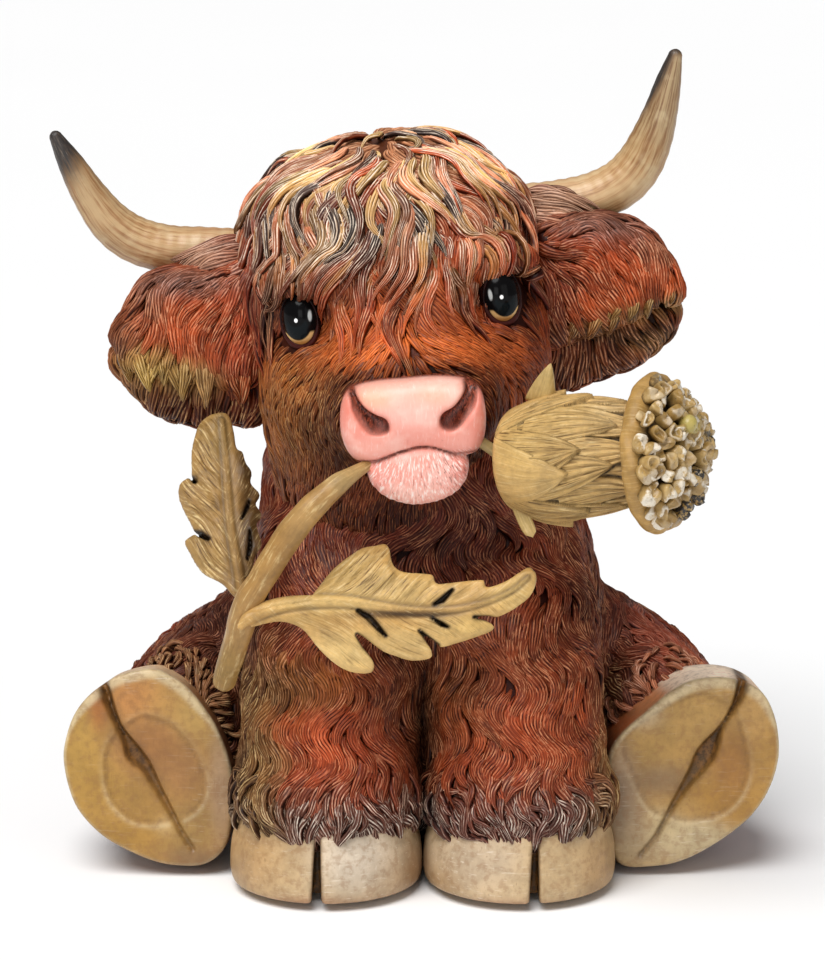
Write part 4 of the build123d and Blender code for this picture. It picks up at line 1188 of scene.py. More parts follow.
coat = Coat()
coat.add(*carpet(head_field, head_v, head_q, keep_head(lambda q: face_zone(q) & clear_of_face(q, 0.5)), head_flow,
                 1.45, (6, 9), (0.8, 1.15), (0.5, 0.8), 201, ridges=3, per=3, steps=9, loose=0.35, fat=0.8))
coat.add(*carpet(head_field, head_v, head_q, keep_head(lambda q: ~face_zone(q) & (q[:, 1] < 4) & clear_of_face(q, 0.5)), head_flow,
                 2.1, (10, 14), (1.2, 1.7), (0.8, 1.2), 202, ridges=4, per=3, loose=0.7, twist=0.4))
coat.paint_with("head_fur", fur, paint_head)
coat = Coat()
coat.add(*carpet(head_field, head_v, head_q, keep_head(lambda q: (q[:, 1] >= 4)), head_flow,
                 3.4, (12, 17), (1.9, 2.6), (0.9, 1.3), 203, ridges=4))
coat.paint_with("head_fur_back", fur, paint_head)

# the long forelock: loose locks thrown forwards from the crown
rng = np.random.default_rng(77)
LOCK_COLOURS = np.array([rgb("c98566"), rgb("bf9a64"), rgb("41322f"), rgb("93401f"), rgb("74402b")])


def forelock(seed, count, r0, r1, fan, length, width, height, lift, spread_seed, centre=CROWN):
    g = np.random.default_rng(seed)
    ang = -math.pi / 2 + fan * (g.random(count) * 2 - 1)
    rad = r0 + (r1 - r0) * g.random(count)
    q = centre + np.stack([rad * np.cos(ang) * 1.05, rad * np.sin(ang), -0.02 * rad ** 2], 1)
    P = head_field.snap(head_to_layout(q), 0, 4)
    L = length[0] + (length[1] - length[0]) * g.random(count)
    W = width[0] + (width[1] - width[0]) * g.random(count)
    H = height[0] + (height[1] - height[0]) * g.random(count)
    H = H * (0.60 + 0.40 * smooth(rad, 2, 12))
    W = W * (0.70 + 0.30 * smooth(rad, 2, 12))

    def flow(P, n):
        qq = layout_to_head(P)
        d = qq - centre
        rr = np.linalg.norm(d, axis=1)
        f = d[:, :1] * HX + d[:, 1:2] * HY + d[:, 2:3] * HZ
        f = unit(f)
        hang = smooth(qq[:, 2], 24, 6)[:, None]
        down = (-1.0) * HZ[None] + (0.012 * qq[:, 0])[:, None] * HX
        f = f * (1 - hang * 0.75) + down * hang * 0.75
        a = 0.74 * np.sin(2 * math.pi * rr / 20.0 + 2.6 * noise3(P, 10.0, spread_seed)) + 0.28 * noise3(P, 8.0, spread_seed + 3)
        a = a * (1 - 0.35 * smooth(qq[:, 2], 8, -6))
        return turn(f, n, a)

    pts, nrm = comb(head_field, P, flow, L, 20, 0.5)
    # no lock hangs across an eye
    ix, iy = to_image(pts.reshape(-1, 3))
    ix, iy = ix.reshape(pts.shape[:2]), iy.reshape(pts.shape[:2])
    over = (((ix - 297) / 20.0) ** 2 + ((iy - 325) / 25.0) ** 2 < 1) | (((ix - 504) / 18.0) ** 2 + ((iy - 300) / 26.0) ** 2 < 1)
    first = np.where(over.any(1), over.argmax(1), pts.shape[1] - 1)
    part = first / (pts.shape[1] - 1)
    ok = part > 0.66
    P, L, H, part, count = P[ok], L[ok], H[ok], part[ok], int(ok.sum())
    W = W[ok] * np.where(part < 1, 0.7, 1.0)
    L = L * part
    pts, nrm = comb(head_field, P, flow, L, 20, 0.5)
    v, qd, tr, a = locks(pts, nrm, W, H, ridges=4, per=3, lift0=lift[0], lift1=lift[1], tip_dip=lift[2], seed=seed + 1, twist=0.55,
                         root=0.06, sink=lift[0] + 1.0, loose=0.9, fat=1.05)
    rep = pts.shape[1] * (3 * 4 + 2)
    a["root"] = np.repeat(pts[:, 6], rep, 0)
    # each lock carries its own tint
    base = pts[:, 3]
    pick = np.clip(0.5 + 0.42 * noise3(base, 4.2, 91) + 0.55 * (g.random(count) - 0.5), 0, 1)
    tint = np.zeros((count, 3))
    edges = [0.0, 0.34, 0.56, 0.66, 0.84, 1.01]
    for k, c in enumerate(LOCK_COLOURS):
        m = (pick >= edges[k]) & (pick < edges[k + 1]) if k else pick < edges[1]
        tint[m] = c
    a["tint"] = np.repeat(tint, rep, 0)
    return v, qd, tr, a


def paint_forelock(v, root, tint, lk):
    px, py = to_image(v)
    q = layout_to_head(v)
    t = lk[:, 0]
    under = blobs(px, py, rgb("b35a33"), HEAD_SPOTS)
    # the tint fades into the rust of the fur at the tips and the sides
    keep = np.clip(1.0 - 0.80 * smooth(py, 235, 320) - 0.30 * smooth(np.abs(q[:, 0]), 20, 30), 0.05, 1)
    col = under * (1 - keep[:, None]) + tint * keep[:, None]
    vary = noise3(root, 3.0, 15)
    col = col * (1 + 0.18 * vary[:, None]) * (0.48 + 0.78 * lk[:, 2:3]) * np.array([0.95, 0.84, 0.68])
    col = col * (1 + 0.66 * smooth(py, 225, 165) * smooth(q[:, 1], 4, -8))[:, None]
    col = col * (1 + smooth(py, 215, 165)[:, None] * np.array([0.10, 0.22, 0.38]))
    col = col * (1 - smooth(py, 285, 325)[:, None] * np.array([0.02, 0.16, 0.26]))
    edge_side = smooth(np.abs(q[:, 0]), 10, 22) * smooth(py, 175, 225)
    col = col * (1 - edge_side[:, None] * np.array([0.12, 0.26, 0.34])) * (1 - smooth(q[:, 0], 6, 20)[:, None] * np.array([0.0, 0.14, 0.24]))
    col = col * (1 - smooth(py, 235, 285)[:, None] * np.array([0.0, 0.20, 0.36]))
    hi = rgb("f9e6d0")[None] * np.ones((len(v), 1))
    low = smooth(py, 250, 330)[:, None]
    hi = hi * (1 - low * 0.85) + rgb("d58a52")[None] * low * 0.85
    east = smooth(q[:, 0], 8, 19)[:, None] * smooth(py, 165, 200)[:, None]
    hi = hi * (1 - east * 0.6) + rgb("dd9c74")[None] * east * 0.6
    drybrush_and_highlight = 1.25 + 0.60 * vary - 0.35 * edge_side - 0.10 * smooth(np.abs(q[:, 0]), 18, 30) - 0.25 * low[:, 0]
    mx = np.stack([np.clip(drybrush_and_highlight, 0, 2), np.full(len(v), 1.0), 0.9 - 0.6 * smooth(py, 240, 310)], 1)
    return {"col": np.clip(col, 0.001, 1), "hi": hi, "mx": mx}


class Forelock(Bag):
    def finish(self, name):
        root = np.concatenate(self.a.pop("root"))
        tint = np.concatenate(self.a.pop("tint"))
        lk = np.concatenate(self.a["lk"])
        return self.piece(name, fur, lambda v: paint_forelock(v, root, tint, lk))


mop = Forelock()
mop.add(*forelock(301, 330, 8, 36, 2.2, (14, 21), (1.1, 1.7), (0.9, 1.4), (0.0, 0.9, 0.5), 71))
mop.add(*forelock(302, 190, 4, 33, 1.9, (18, 26), (1.15, 1.75), (1.0, 1.5), (0.3, 1.7, 1.1), 72))
mop.add(*forelock(303, 80, 2, 26, 1.7, (21, 29), (1.15, 1.7), (1.0, 1.5), (0.5, 2.5, 1.5), 73))
mop.add(*forelock(305, 26, 3.5, 9.5, 1.25, (11, 17), (1.1, 1.6), (1.0, 1.3), (0.2, 1.5, 0.9), 74, CROWN + np.array([1.0, 9.5, -0.6])))
mop.finish("forelock")


# ------------------------------------------------------------------ muzzle skin
NOSE_PX = [(340, 421), (341, 405), (347, 392), (360, 385), (381, 381), (405, 379), (428, 377), (448, 377), (464, 379),
           (473, 383), (481, 391), (485, 405), (486, 421), (484, 437), (478, 449), (470, 453), (461, 453), (451, 451),
           (441, 448), (430, 446), (418, 446), (404, 449), (390, 454), (378, 459), (366, 461), (355, 458), (347, 449),
           (342, 436)]
LIP_PX = [(366, 464), (378, 457), (398, 449), (420, 444), (438, 445), (452, 450), (467, 457), (469, 469), (465, 481),
          (458, 491), (446, 499), (431, 504), (414, 506), (399, 503), (385, 497), (375, 488), (369, 478)]
NOSTRILS = [[(345, 388), (352, 385), (356, 395), (361, 403), (367, 409), (376, 414), (386, 418), (390, 425), (389, 433), (380, 436),
             (370, 435), (361, 427), (353, 413), (350, 401)],
            [(464, 377), (476, 377), (478, 392), (476, 406), (468, 418), (460, 428), (450, 432), (441, 428), (439, 419),
             (443, 412), (453, 406), (460, 398), (464, 390)]]
NOSTRIL_IN = [((358, 428), (379, 414)), ((477, 420), (447, 405))]      # from the outer edge of each to its deep inner edge
MOUTH_PX = [(362, 463), (377, 462), (398, 453), (418, 447.5), (432, 447.5), (443, 451), (455, 455), (478, 452)]


def px_to_head(pts, Y):
    P = np.array([p[:2] for p in pts], float)
    return layout_to_head(from_image(P[:, 0], P[:, 1], Y))[:, [0, 2]]


nose_xz = closed_curve(px_to_head(NOSE_PX, -47.0), 90)
lip_xz = closed_curve(px_to_head(LIP_PX, -47.5), 70)
nostril_xz = [closed_curve(px_to_head(n, -51.5), 60) for n in NOSTRILS]
nostril_in = [px_to_head(n, -51.5) for n in NOSTRIL_IN]


def nostril_depth(U, V, k):
    a, b = nostril_in[k]
    t = ((U - a[0]) * (b - a)[0] + (V - a[1]) * (b - a)[1]) / ((b - a) @ (b - a))
    return 0.9 + 3.4 * smooth(t, -0.1, 0.75)


mouth_xz = np.column_stack([px_to_head(MOUTH_PX, -50.5), np.full(len(MOUTH_PX), 0.15)])


def muzzle_parts(x, y, z):
    U, V = x, z
    nose2 = polygon_distance(U, V, nose_xz).astype(F32)
    lip2 = polygon_distance(U, V, lip_xz).astype(F32)
    return nose2, lip2


def muzzle_sdf(p):
    x, y, z = p
    U, V = np.broadcast_arrays(x[:, 0, :], z[:, 0, :])
    nose2 = polygon_distance(U, V, nose_xz).astype(F32)[:, None, :]
    lip2 = polygon_distance(U, V, lip_xz).astype(F32)[:, None, :]
    cut2 = [polygon_distance(U, V, t).astype(F32)[:, None, :] for t in nostril_xz]
    deep2 = [nostril_depth(U, V, k).astype(F32)[:, None, :] for k in (0, 1)]
    mouth2 = track_distance(U, V, mouth_xz).astype(F32)[:, None, :]
    face = -52.4 + 0.0085 * x ** 2 + 0.022 * (z + 18.6) ** 2
    face = face + 0.7 * np.exp(-((x - 0.5) / 4.5) ** 2 - ((z + 23.5) / 3.0) ** 2)
    for s, cx in ((-1, -6.4), (1, 8.2)):          # fleshy roll round each nostril
        face = face - 0.7 * np.exp(-((x - cx) / 5.0) ** 2 - ((z + 17.5) / 5.0) ** 2)
    d = smax(nose2, face - y, 2.9)
    d = smax(d, y + 38.0, 1.0)
    for c, depth in zip(cut2, deep2):
        carve = smax(c + 0.15 * np.clip(y - face, 0, 6), y - (face + depth), 1.3)
        d = smax(d, -carve, 0.9)
    chin = -51.3 + 0.013 * x ** 2 + 0.045 * (z + 27.5) ** 2 + 0.10 * np.sin(x * 3.1 + 0.4 * z) * smooth(z, -28, -33)
    lip = smax(lip2 + 0.10 * np.sin(x * 4.3), chin - y, 2.6)
    lip = smax(lip, y + 38.0, 1.0)
    d = smin(d, lip, 0.9)
    line = smax(mouth2 - 0.02, y + 49.3, 0.4)
    return smax(d, -line, 0.35)


nose_field = Field((-17.5, -55, -38.5), (17.5, -37, -8.5), 0.45, muzzle_sdf)
nose_v, nose_q = surface_net(nose_field)
nose_l = head_to_layout(nose_v)
npx, npy = to_image(nose_l)
# the pale spots across the top and left of the nose, (410, 392), (375, 398) and (432, 395), are partly its pink and
# peach paint, partly a painted highlight
NOSE_SPOTS = [
    (410, 392, 60, 14, rgb("f9cdbd"), 1.2), (375, 398, 16, 8, rgb("f7bf98"), 1.2), (432, 395, 14, 8, rgb("f5bd9b"), 0.9), (415, 415, 30, 18, rgb("f7c9bf"), 1.2), (350, 430, 12, 22, rgb("e99d8e"), 1.6), (347, 408, 7, 14, rgb("dc8676"), 1.4),
    (480, 430, 10, 24, rgb("ee9f92"), 1.2), (420, 436, 26, 10, rgb("eda396"), 1.3), (360, 450, 18, 12, rgb("f4bcb0"), 1.0),
    (465, 442, 18, 12, rgb("f3b9ae"), 1.0), (415, 470, 50, 14, rgb("f1aca0"), 1.0), (415, 492, 40, 12, rgb("f6c6ba"), 1.0),
    (455, 470, 12, 18, rgb("dc8b80"), 1.0), (376, 478, 12, 14, rgb("eea096"), 1.0), (480, 400, 8, 16, rgb("e89183"), 1.0),
]
ncol = blobs(npx, npy, rgb("f4b8ab"), NOSE_SPOTS, 0.2)
ntr = np.minimum(*[polygon_distance(nose_v[:, 0], nose_v[:, 2], t) for t in nostril_xz])
nface = -52.4 + 0.0085 * nose_v[:, 0] ** 2 + 0.022 * (nose_v[:, 2] + 18.6) ** 2
nin = (0.55 + 0.45 * smooth(nose_v[:, 1] - nface, 0.8, 2.6)) * smooth(ntr, 0.45, -0.45) * smooth(nose_v[:, 1] - nface, 0.1, 0.7)
pink_end = np.exp(-((npx - 381) / 7.0) ** 2 - ((npy - 430) / 7.0) ** 2) + np.exp(-((npx - 446) / 8.0) ** 2 - ((npy - 428) / 5.5) ** 2)
nslope = np.zeros(len(nose_v))
for k in (0, 1):
    near = polygon_distance(nose_v[:, 0], nose_v[:, 2], nostril_xz[k]) < 1.5
    nslope = np.where(near, smooth((nostril_depth(nose_v[:, 0], nose_v[:, 2], k) - 0.9) / 3.4, 0.0, 0.75), nslope)
nin = nin * (1 - 0.55 * pink_end) * (0.42 + 0.58 * nslope)
halo = np.exp(-np.clip(ntr, 0, 9) / 0.9) * (1 - nin)
ncol = ncol * (1 - 0.38 * halo[:, None]) + rgb("d0694f")[None] * 0.38 * halo[:, None]
nmouth = track_distance(nose_v[:, 0], nose_v[:, 2], mouth_xz)
crease = np.exp(-np.clip(nmouth, 0, 9) / 0.22) * smooth(nose_v[:, 1], -51.2, -49.8)
nback = smooth(nose_v[:, 1], -47.5, -44.5)
nwash = np.clip(np.maximum.reduce([nin, crease * 0.72, nback]), 0, 1)
nlip = smooth(nose_v[:, 2] + 25.5 - 0.02 * nose_v[:, 0], 0.5, -0.5)
fan_x, fan_z = nose_v[:, 0] - 0.8, nose_v[:, 2] + 16.0
fan_r = np.hypot(fan_x, fan_z)
nfan = np.stack([np.arctan2(fan_x, -fan_z) * 40.0, fan_r * 0.55, np.zeros(len(nose_v))], 1)
nsmut = nlip * (0.25 + 0.75 * np.exp(-((npx - 452) / 18) ** 2 - ((npy - 470) / 15) ** 2))


def skin_material():
    """satin pink skin with pale drybrushed streaks and red-brown wash in the nostrils"""
    M = Mat("painted_skin")
    col = M.attr("col")
    wash, lip, smut = M.split(M.attr("mx"))
    at = M.where()
    cloud = M.noise(at, 190.0, 3.0, 0.6)
    spoke = M.noise(M.attr("st"), 1.0, 2.0, 0.6)
    x, y, z = M.split(at)
    streak = M.noise(M.scaled(at, (2300.0, 900.0, 330.0)), 1.0, 3.0, 0.62, 0.6)
    fleck = M.noise(M.scaled(at, (1500.0, 900.0, 700.0)), 1.0, 3.0, 0.7)
    base = M.mix(M.math("MULTIPLY", M.range(cloud, 0.45, 0.7), 0.35), col, tuple(rgb("fbd9cb")) + (1,))
    base = M.mix(M.math("MULTIPLY", M.range(streak, 0.56, 0.72), M.math("MULTIPLY_ADD", lip, 0.50, 0.28)), base, tuple(rgb("fdeee4")) + (1,))
    base = M.mix(M.math("MULTIPLY", M.range(streak, 0.42, 0.28), M.math("MULTIPLY_ADD", lip, 0.62, 0.14)), base, tuple(rgb("bf5f4e")) + (1,))
    base = M.mix(M.math("MULTIPLY", M.range(spoke, 0.52, 0.64), M.math("MULTIPLY", lip, 0.7)), base, tuple(rgb("fdeee6")) + (1,))
    base = M.mix(M.math("MULTIPLY", M.range(spoke, 0.46, 0.34), M.math("MULTIPLY", smut, 0.8)), base, tuple(rgb("6e3f38")) + (1,))
    dots = M.math("MULTIPLY", M.range(fleck, 0.67, 0.76), M.math("MULTIPLY_ADD", lip, 0.5, 0.3))
    base = M.mix(dots, base, tuple(rgb("9c4a3e")) + (1,))
    hairs = M.noise(M.scaled(at, (2600.0, 600.0, 1100.0)), 1.0, 3.0, 0.7, 0.8)
    deep = M.mix(M.range(hairs, 0.36, 0.64), tuple(rgb("240c08")) + (1,), tuple(rgb("9c4a33")) + (1,))
    nick = M.math("MULTIPLY", M.range(hairs, 0.66, 0.74), 0.8)
    deep = M.mix(nick, deep, tuple(rgb("d9a391")) + (1,))
    base = M.mix(M.math("POWER", wash, 0.8), base, deep)
    relief = M.math("ADD", streak, M.math("MULTIPLY", fleck, 0.6))
    relief = M.math("ADD", relief, M.math("MULTIPLY", spoke, M.math("MULTIPLY", lip, 1.6)))
    normal = M.bump(relief, 0.28, 0.14)
    return M.set(Base_Color=base, Roughness=M.range(fleck, 0.2, 0.8, 0.36, 0.52), Normal=normal, Specular_IOR_Level=0.45)


skin = skin_material()
ncol = ncol * np.array([0.98, 0.80, 0.75])
mesh_piece("muzzle", nose_l, nose_q, skin, attrs=dict(col=ncol, st=nfan, mx=np.stack([nwash, nlip, nsmut], 1)))


# ------------------------------------------------------------------ eyes
def eye_material(name, catchlight_u):
    """glossy painted eye: black, a painted slate reflection, an amber crescent below and a small painted catchlight"""
    M = Mat(name, Roughness=0.14, Specular_IOR_Level=0.10)
    u, w, side = M.split(M.attr("ep"))

    def dist(cu, cw, su, sw):
        a = M.math("MULTIPLY", M.math("SUBTRACT", u, cu), 1 / su)
        b = M.math("MULTIPLY", M.math("SUBTRACT", w, cw), 1 / sw)
        return M.math("SQRT", M.math("ADD", M.math("MULTIPLY", a, a), M.math("MULTIPLY", b, b)))

    black = tuple(rgb("0b0a0b")) + (1,)
    # the slate disc is a painted reflection
    painted_slate_reflection = dist(0.15, -1.2, 2.2, 2.5)
    base = M.mix(M.range(painted_slate_reflection, 1.06, 0.9), black, tuple(rgb("0e1417")) + (1,))
    pupil = dist(0.15, 0.9, 2.0, 1.9)
    base = M.mix(M.range(pupil, 1.1, 0.86), base, black)
    outer = dist(0.1, -0.15, 3.25, 4.5)
    inner = dist(0.0, 1.3, 3.3, 4.95)
    amber = M.math("MULTIPLY", M.range(inner, 0.985, 1.05), M.range(outer, 1.03, 0.97))
    amber = M.math("MULTIPLY", amber, M.range(w, -1.9, -2.5))
    ambercol = M.mix(M.range(w, -4.4, -3.2), tuple(rgb("a9743c")) + (1,), tuple(rgb("dcb478")) + (1,))
    base = M.mix(amber, base, ambercol)
    sliver = dist(2.75, 0.9, 0.34, 1.15)
    base = M.mix(M.math("MULTIPLY", M.range(sliver, 1.15, 0.6), 0.8), base, tuple(rgb("c3c6c4")) + (1,))
    base = M.mix(M.range(outer, 1.04, 1.12), base, tuple(rgb("1c0907")) + (1,))
    # a painted catchlight: a small white highlight
    painted_catchlight = dist(catchlight_u, 0.3, 0.36, 0.42)
    base = M.mix(M.range(painted_catchlight, 1.15, 0.75), base, (1.0, 1.0, 1.0, 1.0))
    return M.set(Base_Color=base)


def lid_material():
    M = Mat("painted_lid", Specular_IOR_Level=0.15)
    at = M.where()
    n = M.noise(at, 900.0, 3.0, 0.6)
    t, _, _ = M.split(M.attr("lk"))
    base = M.mix(M.range(n, 0.35, 0.7), tuple(rgb("0f0504")) + (1,), tuple(rgb("2a0c08")) + (1,))
    base = M.mix(M.math("MULTIPLY", t, 0.6), base, tuple(rgb("4f170f")) + (1,))
    return M.set(Base_Color=base, Roughness=0.4, Normal=M.bump(n, 0.4, 0.12))


eye_mats = {-1: eye_material("glossy_eye_right", 0.25), 1: eye_material("glossy_eye_left", 0.9)}
lid_mat = lid_material()
for side, name in ((-1, "eye_right"), (1, "eye_left")):
    ex, ey, ez = EYES[side]
    yaw = side * math.radians(20)
    ax = np.array([math.cos(yaw), math.sin(yaw), 0])           # across, away from the nose for the left eye
    ay = np.array([math.sin(yaw), -math.cos(yaw), 0])          # outwards
    nu, nv = 72, 48
    th = np.linspace(0, 2 * math.pi, nu, endpoint=False)
    ph = np.linspace(0, math.pi, nv + 1)
    rows, ep = [], []
    for a in ph[1:-1]:
        u, w, o = 4.1 * math.sin(a) * np.cos(th), 5.7 * math.sin(a) * np.sin(th), 4.0 * math.cos(a) * np.ones(nu)
        rows.append(u[:, None] * ax + w[:, None] * np.array([0, 0, 1.0]) + o[:, None] * ay)
        ep.append(np.stack([-side * u, w, o], 1))
    ring = np.concatenate(rows + [4.0 * ay[None], -4.0 * ay[None]])
    ep = np.concatenate(ep + [np.array([[0, 0, 4.0]]), np.array([[0, 0, -4.0]])])
    m = nv - 1
    i, j = np.arange(m - 1)[:, None] * nu, np.arange(nu)[None]
    quads = np.stack(np.broadcast_arrays(i + j, i + nu + j, i + nu + (j + 1) % nu, i + (j + 1) % nu), -1).reshape(-1, 4)
    k = np.arange(nu)
    tris = np.concatenate([np.stack([np.full(nu, m * nu), k, (k + 1) % nu], 1),
                           np.stack([np.full(nu, m * nu + 1), (m - 1) * nu + (k + 1) % nu, (m - 1) * nu + k], 1)])
    if side < 0:
        quads, tris = quads[:, ::-1], tris[:, ::-1]
    q = ring + np.array([ex, ey + 1.6, ez])
    mesh_piece(name + "_ball", head_to_layout(q), [quads, tris], eye_mats[side], replaces=name, attrs=dict(ep=ep))
    # lid: a soft roll round the ball, fuller below
    nt, nr = 80, 14
    a = np.linspace(0, 2 * math.pi, nt, endpoint=False)
    b = np.linspace(0, 2 * math.pi, nr, endpoint=False)
    cu, cw = 3.75 * np.cos(a), 5.15 * np.sin(a)
    co = 4.0 * np.sqrt(np.clip(1 - (cu / 4.3) ** 2 - (cw / 5.95) ** 2, 0.02, 1)) - 0.25
    rad = 0.18 + 0.52 * np.clip(-np.sin(a), 0, 1) ** 0.8 + 0.05 * np.sin(5 * a + side) + 0.03 * np.sin(11 * a)
    out = unit(np.stack([cu / 3.75 ** 2, cw / 5.15 ** 2], 1))
    U = cu[:, None] + out[:, :1] * rad[:, None] * np.cos(b)[None]
    W = cw[:, None] + out[:, 1:2] * rad[:, None] * np.cos(b)[None]
    O = co[:, None] + rad[:, None] * np.sin(b)[None] * 0.9
    q = (U[..., None] * ax + W[..., None] * np.array([0, 0, 1.0]) + O[..., None] * ay).reshape(-1, 3) + np.array([ex, ey + 1.6, ez])
    i, j = np.arange(nt)[:, None], np.arange(nr)[None]
    quads = np.stack(np.broadcast_arrays(i * nr + j, i * nr + (j + 1) % nr, ((i + 1) % nt) * nr + (j + 1) % nr, ((i + 1) % nt) * nr + j), -1).reshape(-1, 4)
    if side > 0:
        quads = quads[:, ::-1]
    low = np.repeat(np.clip(-np.sin(a), 0, 1), nr)
    mesh_piece(name + "_lid", head_to_layout(q), quads, lid_mat, attrs=dict(lk=np.stack([low, low, low], 1)))


# ------------------------------------------------------------------ tubes: horns and stem
def tube(points, radii, around=40, per=10, shape=None, round_end=(True, True)):
    """a closed swept tube; returns verts, [quads, tris], s (arc mm), ring angle"""
    C = open_curve(points, (len(points) - 1) * per + 1)
    R = open_curve(np.asarray(radii, float)[:, None], (len(points) - 1) * per + 1)[:, 0]
    T = unit(np.gradient(C, axis=0))
    N = np.zeros_like(C)
    n = unit(np.cross(T[0], [0.3, 1.0, 0.1]))
    for i in range(len(C)):
        n = unit(n - T[i] * (n @ T[i]))
        N[i] = n
    B = np.cross(T, N)
    s = np.concatenate([[0], np.cumsum(np.linalg.norm(np.diff(C, axis=0), axis=1))])
    # rounded ends
    add0, add1 = [], []
    steps = (0.35, 0.7, 0.92)
    for c in steps[::-1]:
        add0.append((C[0] - T[0] * R[0] * c, R[0] * math.sqrt(1 - c * c), N[0], B[0], T[0], s[0] - R[0] * c))
    for c in steps:
        add1.append((C[-1] + T[-1] * R[-1] * c, R[-1] * math.sqrt(1 - c * c), N[-1], B[-1], T[-1], s[-1] + R[-1] * c))
    rows = (add0 if round_end[0] else []) + [(C[i], R[i], N[i], B[i], T[i], s[i]) for i in range(len(C))] + (add1 if round_end[1] else [])
    th = np.linspace(0, 2 * math.pi, around, endpoint=False)
    P, S, A = [], [], []
    for c, r, n_, b_, t_, s_ in rows:
        k = np.ones(around) if shape is None else shape(s_, th)
        P.append(c + (np.cos(th) * r * k)[:, None] * n_ + (np.sin(th) * r * k)[:, None] * b_)
        S.append(np.full(around, s_))
        A.append(th)
    m = len(rows)
    P = np.concatenate(P + [rows[0][0][None] - rows[0][4] * rows[0][1] * 0.3, rows[-1][0][None] + rows[-1][4] * rows[-1][1] * 0.3])
    S = np.concatenate(S + [[rows[0][5]], [rows[-1][5]]])
    A = np.concatenate(A + [[0.0], [0.0]])
    i, j = np.arange(m - 1)[:, None] * around, np.arange(around)[None]
    quads = np.stack(np.broadcast_arrays(i + j, i + (j + 1) % around, i + around + (j + 1) % around, i + around + j), -1).reshape(-1, 4)
    k = np.arange(around)
    tris = np.concatenate([np.stack([np.full(around, m * around), (k + 1) % around, k], 1),
                           np.stack([np.full(around, m * around + 1), (m - 1) * around + k, (m - 1) * around + (k + 1) % around], 1)])
    return P, [quads, tris], S, A


def horn_material():
    """horn painted cream to ochre, with lengthwise grain and a sooty tip"""
    M = Mat("painted_horn")
    col = M.attr("col")
    ca, sa, arc = M.split(M.attr("st"))
    tip, _, _ = M.split(M.attr("mx"))
    grain = M.noise(M.join(M.math("MULTIPLY", ca, 6.5), M.math("MULTIPLY", sa, 6.5), M.math("MULTIPLY", arc, 0.10)), 1.0, 3.0, 0.62, 0.3)
    fine = M.noise(M.join(M.math("MULTIPLY", ca, 22.0), M.math("MULTIPLY", sa, 22.0), M.math("MULTIPLY", arc, 0.35)), 1.0, 2.0, 0.6)
    cloud = M.noise(M.where(), 210.0, 3.0, 0.55)
    base = M.mix(M.math("MULTIPLY", M.range(grain, 0.35, 0.62), 0.42), col, tuple(rgb("dcc394")) + (1,))
    base = M.mix(M.math("MULTIPLY", M.range(grain, 0.46, 0.26), 0.55), base, tuple(rgb("7c5430")) + (1,))
    base = M.mix(M.math("MULTIPLY", M.range(cloud, 0.5, 0.72), 0.3), base, tuple(rgb("e0cda4")) + (1,))
    edge = M.math("ADD", tip, M.math("MULTIPLY", M.math("SUBTRACT", grain, 0.5), 0.9))
    brown = M.math("MULTIPLY", M.range(edge, 0.10, 0.55), 0.75)
    base = M.mix(brown, base, tuple(rgb("6a4f36")) + (1,))
    soot = M.range(edge, 0.34, 0.86)
    soot = M.math("MULTIPLY", soot, M.range(fine, 0.68, 0.5, 0.55, 1.0))
    base = M.mix(soot, base, tuple(rgb("272322")) + (1,))
    pale = M.math("MULTIPLY", M.math("MULTIPLY", M.range(fine, 0.60, 0.74), M.range(tip, 0.5, 0.9)), 0.5)
    base = M.mix(pale, base, tuple(rgb("9a9a97")) + (1,))
    normal = M.bump(M.math("ADD", grain, M.math("MULTIPLY", fine, 0.5)), 0.4, 0.14)
    return M.set(Base_Color=base, Roughness=M.range(fine, 0.2, 0.8, 0.33, 0.5), Normal=normal, Specular_IOR_Level=0.5)


HORN_R = [(-24.0, -3, 118.7), (-27.5, -3, 118.8), (-33.5, -3, 118.9), (-40, -3, 119.2), (-46.8, -3.2, 119.5), (-53.4, -3.6, 121.4),
          (-58.4, -4, 125), (-62.6, -4.6, 130.8), (-66, -5.2, 137), (-68.6, -6, 142.0)]
HORN_R_RAD = [4.7, 4.7, 4.7, 4.7, 4.7, 4.6, 4.2, 3.4, 2.5, 1.3]
HORN_L = [(19.5, -3, 127.6), (22.5, -3, 127.8), (28.9, -3, 128.3), (35.7, -3.1, 129.6), (41.4, -3.4, 132.4), (45.1, -3.7, 136.4),
          (47.5, -4.2, 141.4), (49.3, -4.8, 147), (50.7, -5.3, 152.7), (51.9, -5.8, 157.8)]
HORN_L_RAD = [4.6, 4.6, 4.7, 4.8, 4.8, 4.6, 4.1, 3.3, 2.5, 1.4]
HORN_SPOTS = [
    (60, 150, 16, 26, rgb("4a3d33"), 1.0), (85, 190, 18, 22, rgb("8a6840"), 1.2), (115, 210, 20, 16, rgb("a07e52"), 1.3),
    (110, 240, 26, 14, rgb("8c6537"), 1.4), (165, 235, 30, 12, rgb("bb9a6a"), 1.1), (165, 272, 32, 12, rgb("96653a"), 1.6),
    (215, 240, 20, 14, rgb("c49b70"), 1.0), (670, 70, 14, 24, rgb("5d4226"), 1.8), (655, 115, 20, 26, rgb("644422"), 1.9), (645, 150, 20, 24, rgb("95703a"), 1.2),
    (620, 185, 24, 18, rgb("c3a472"), 1.0), (570, 195, 26, 14, rgb("d9bd90"), 1.2), (600, 212, 26, 12, rgb("a58049"), 1.0),
    (540, 205, 16, 16, rgb("cfa67a"), 1.2),
]
horn_mat = horn_material()
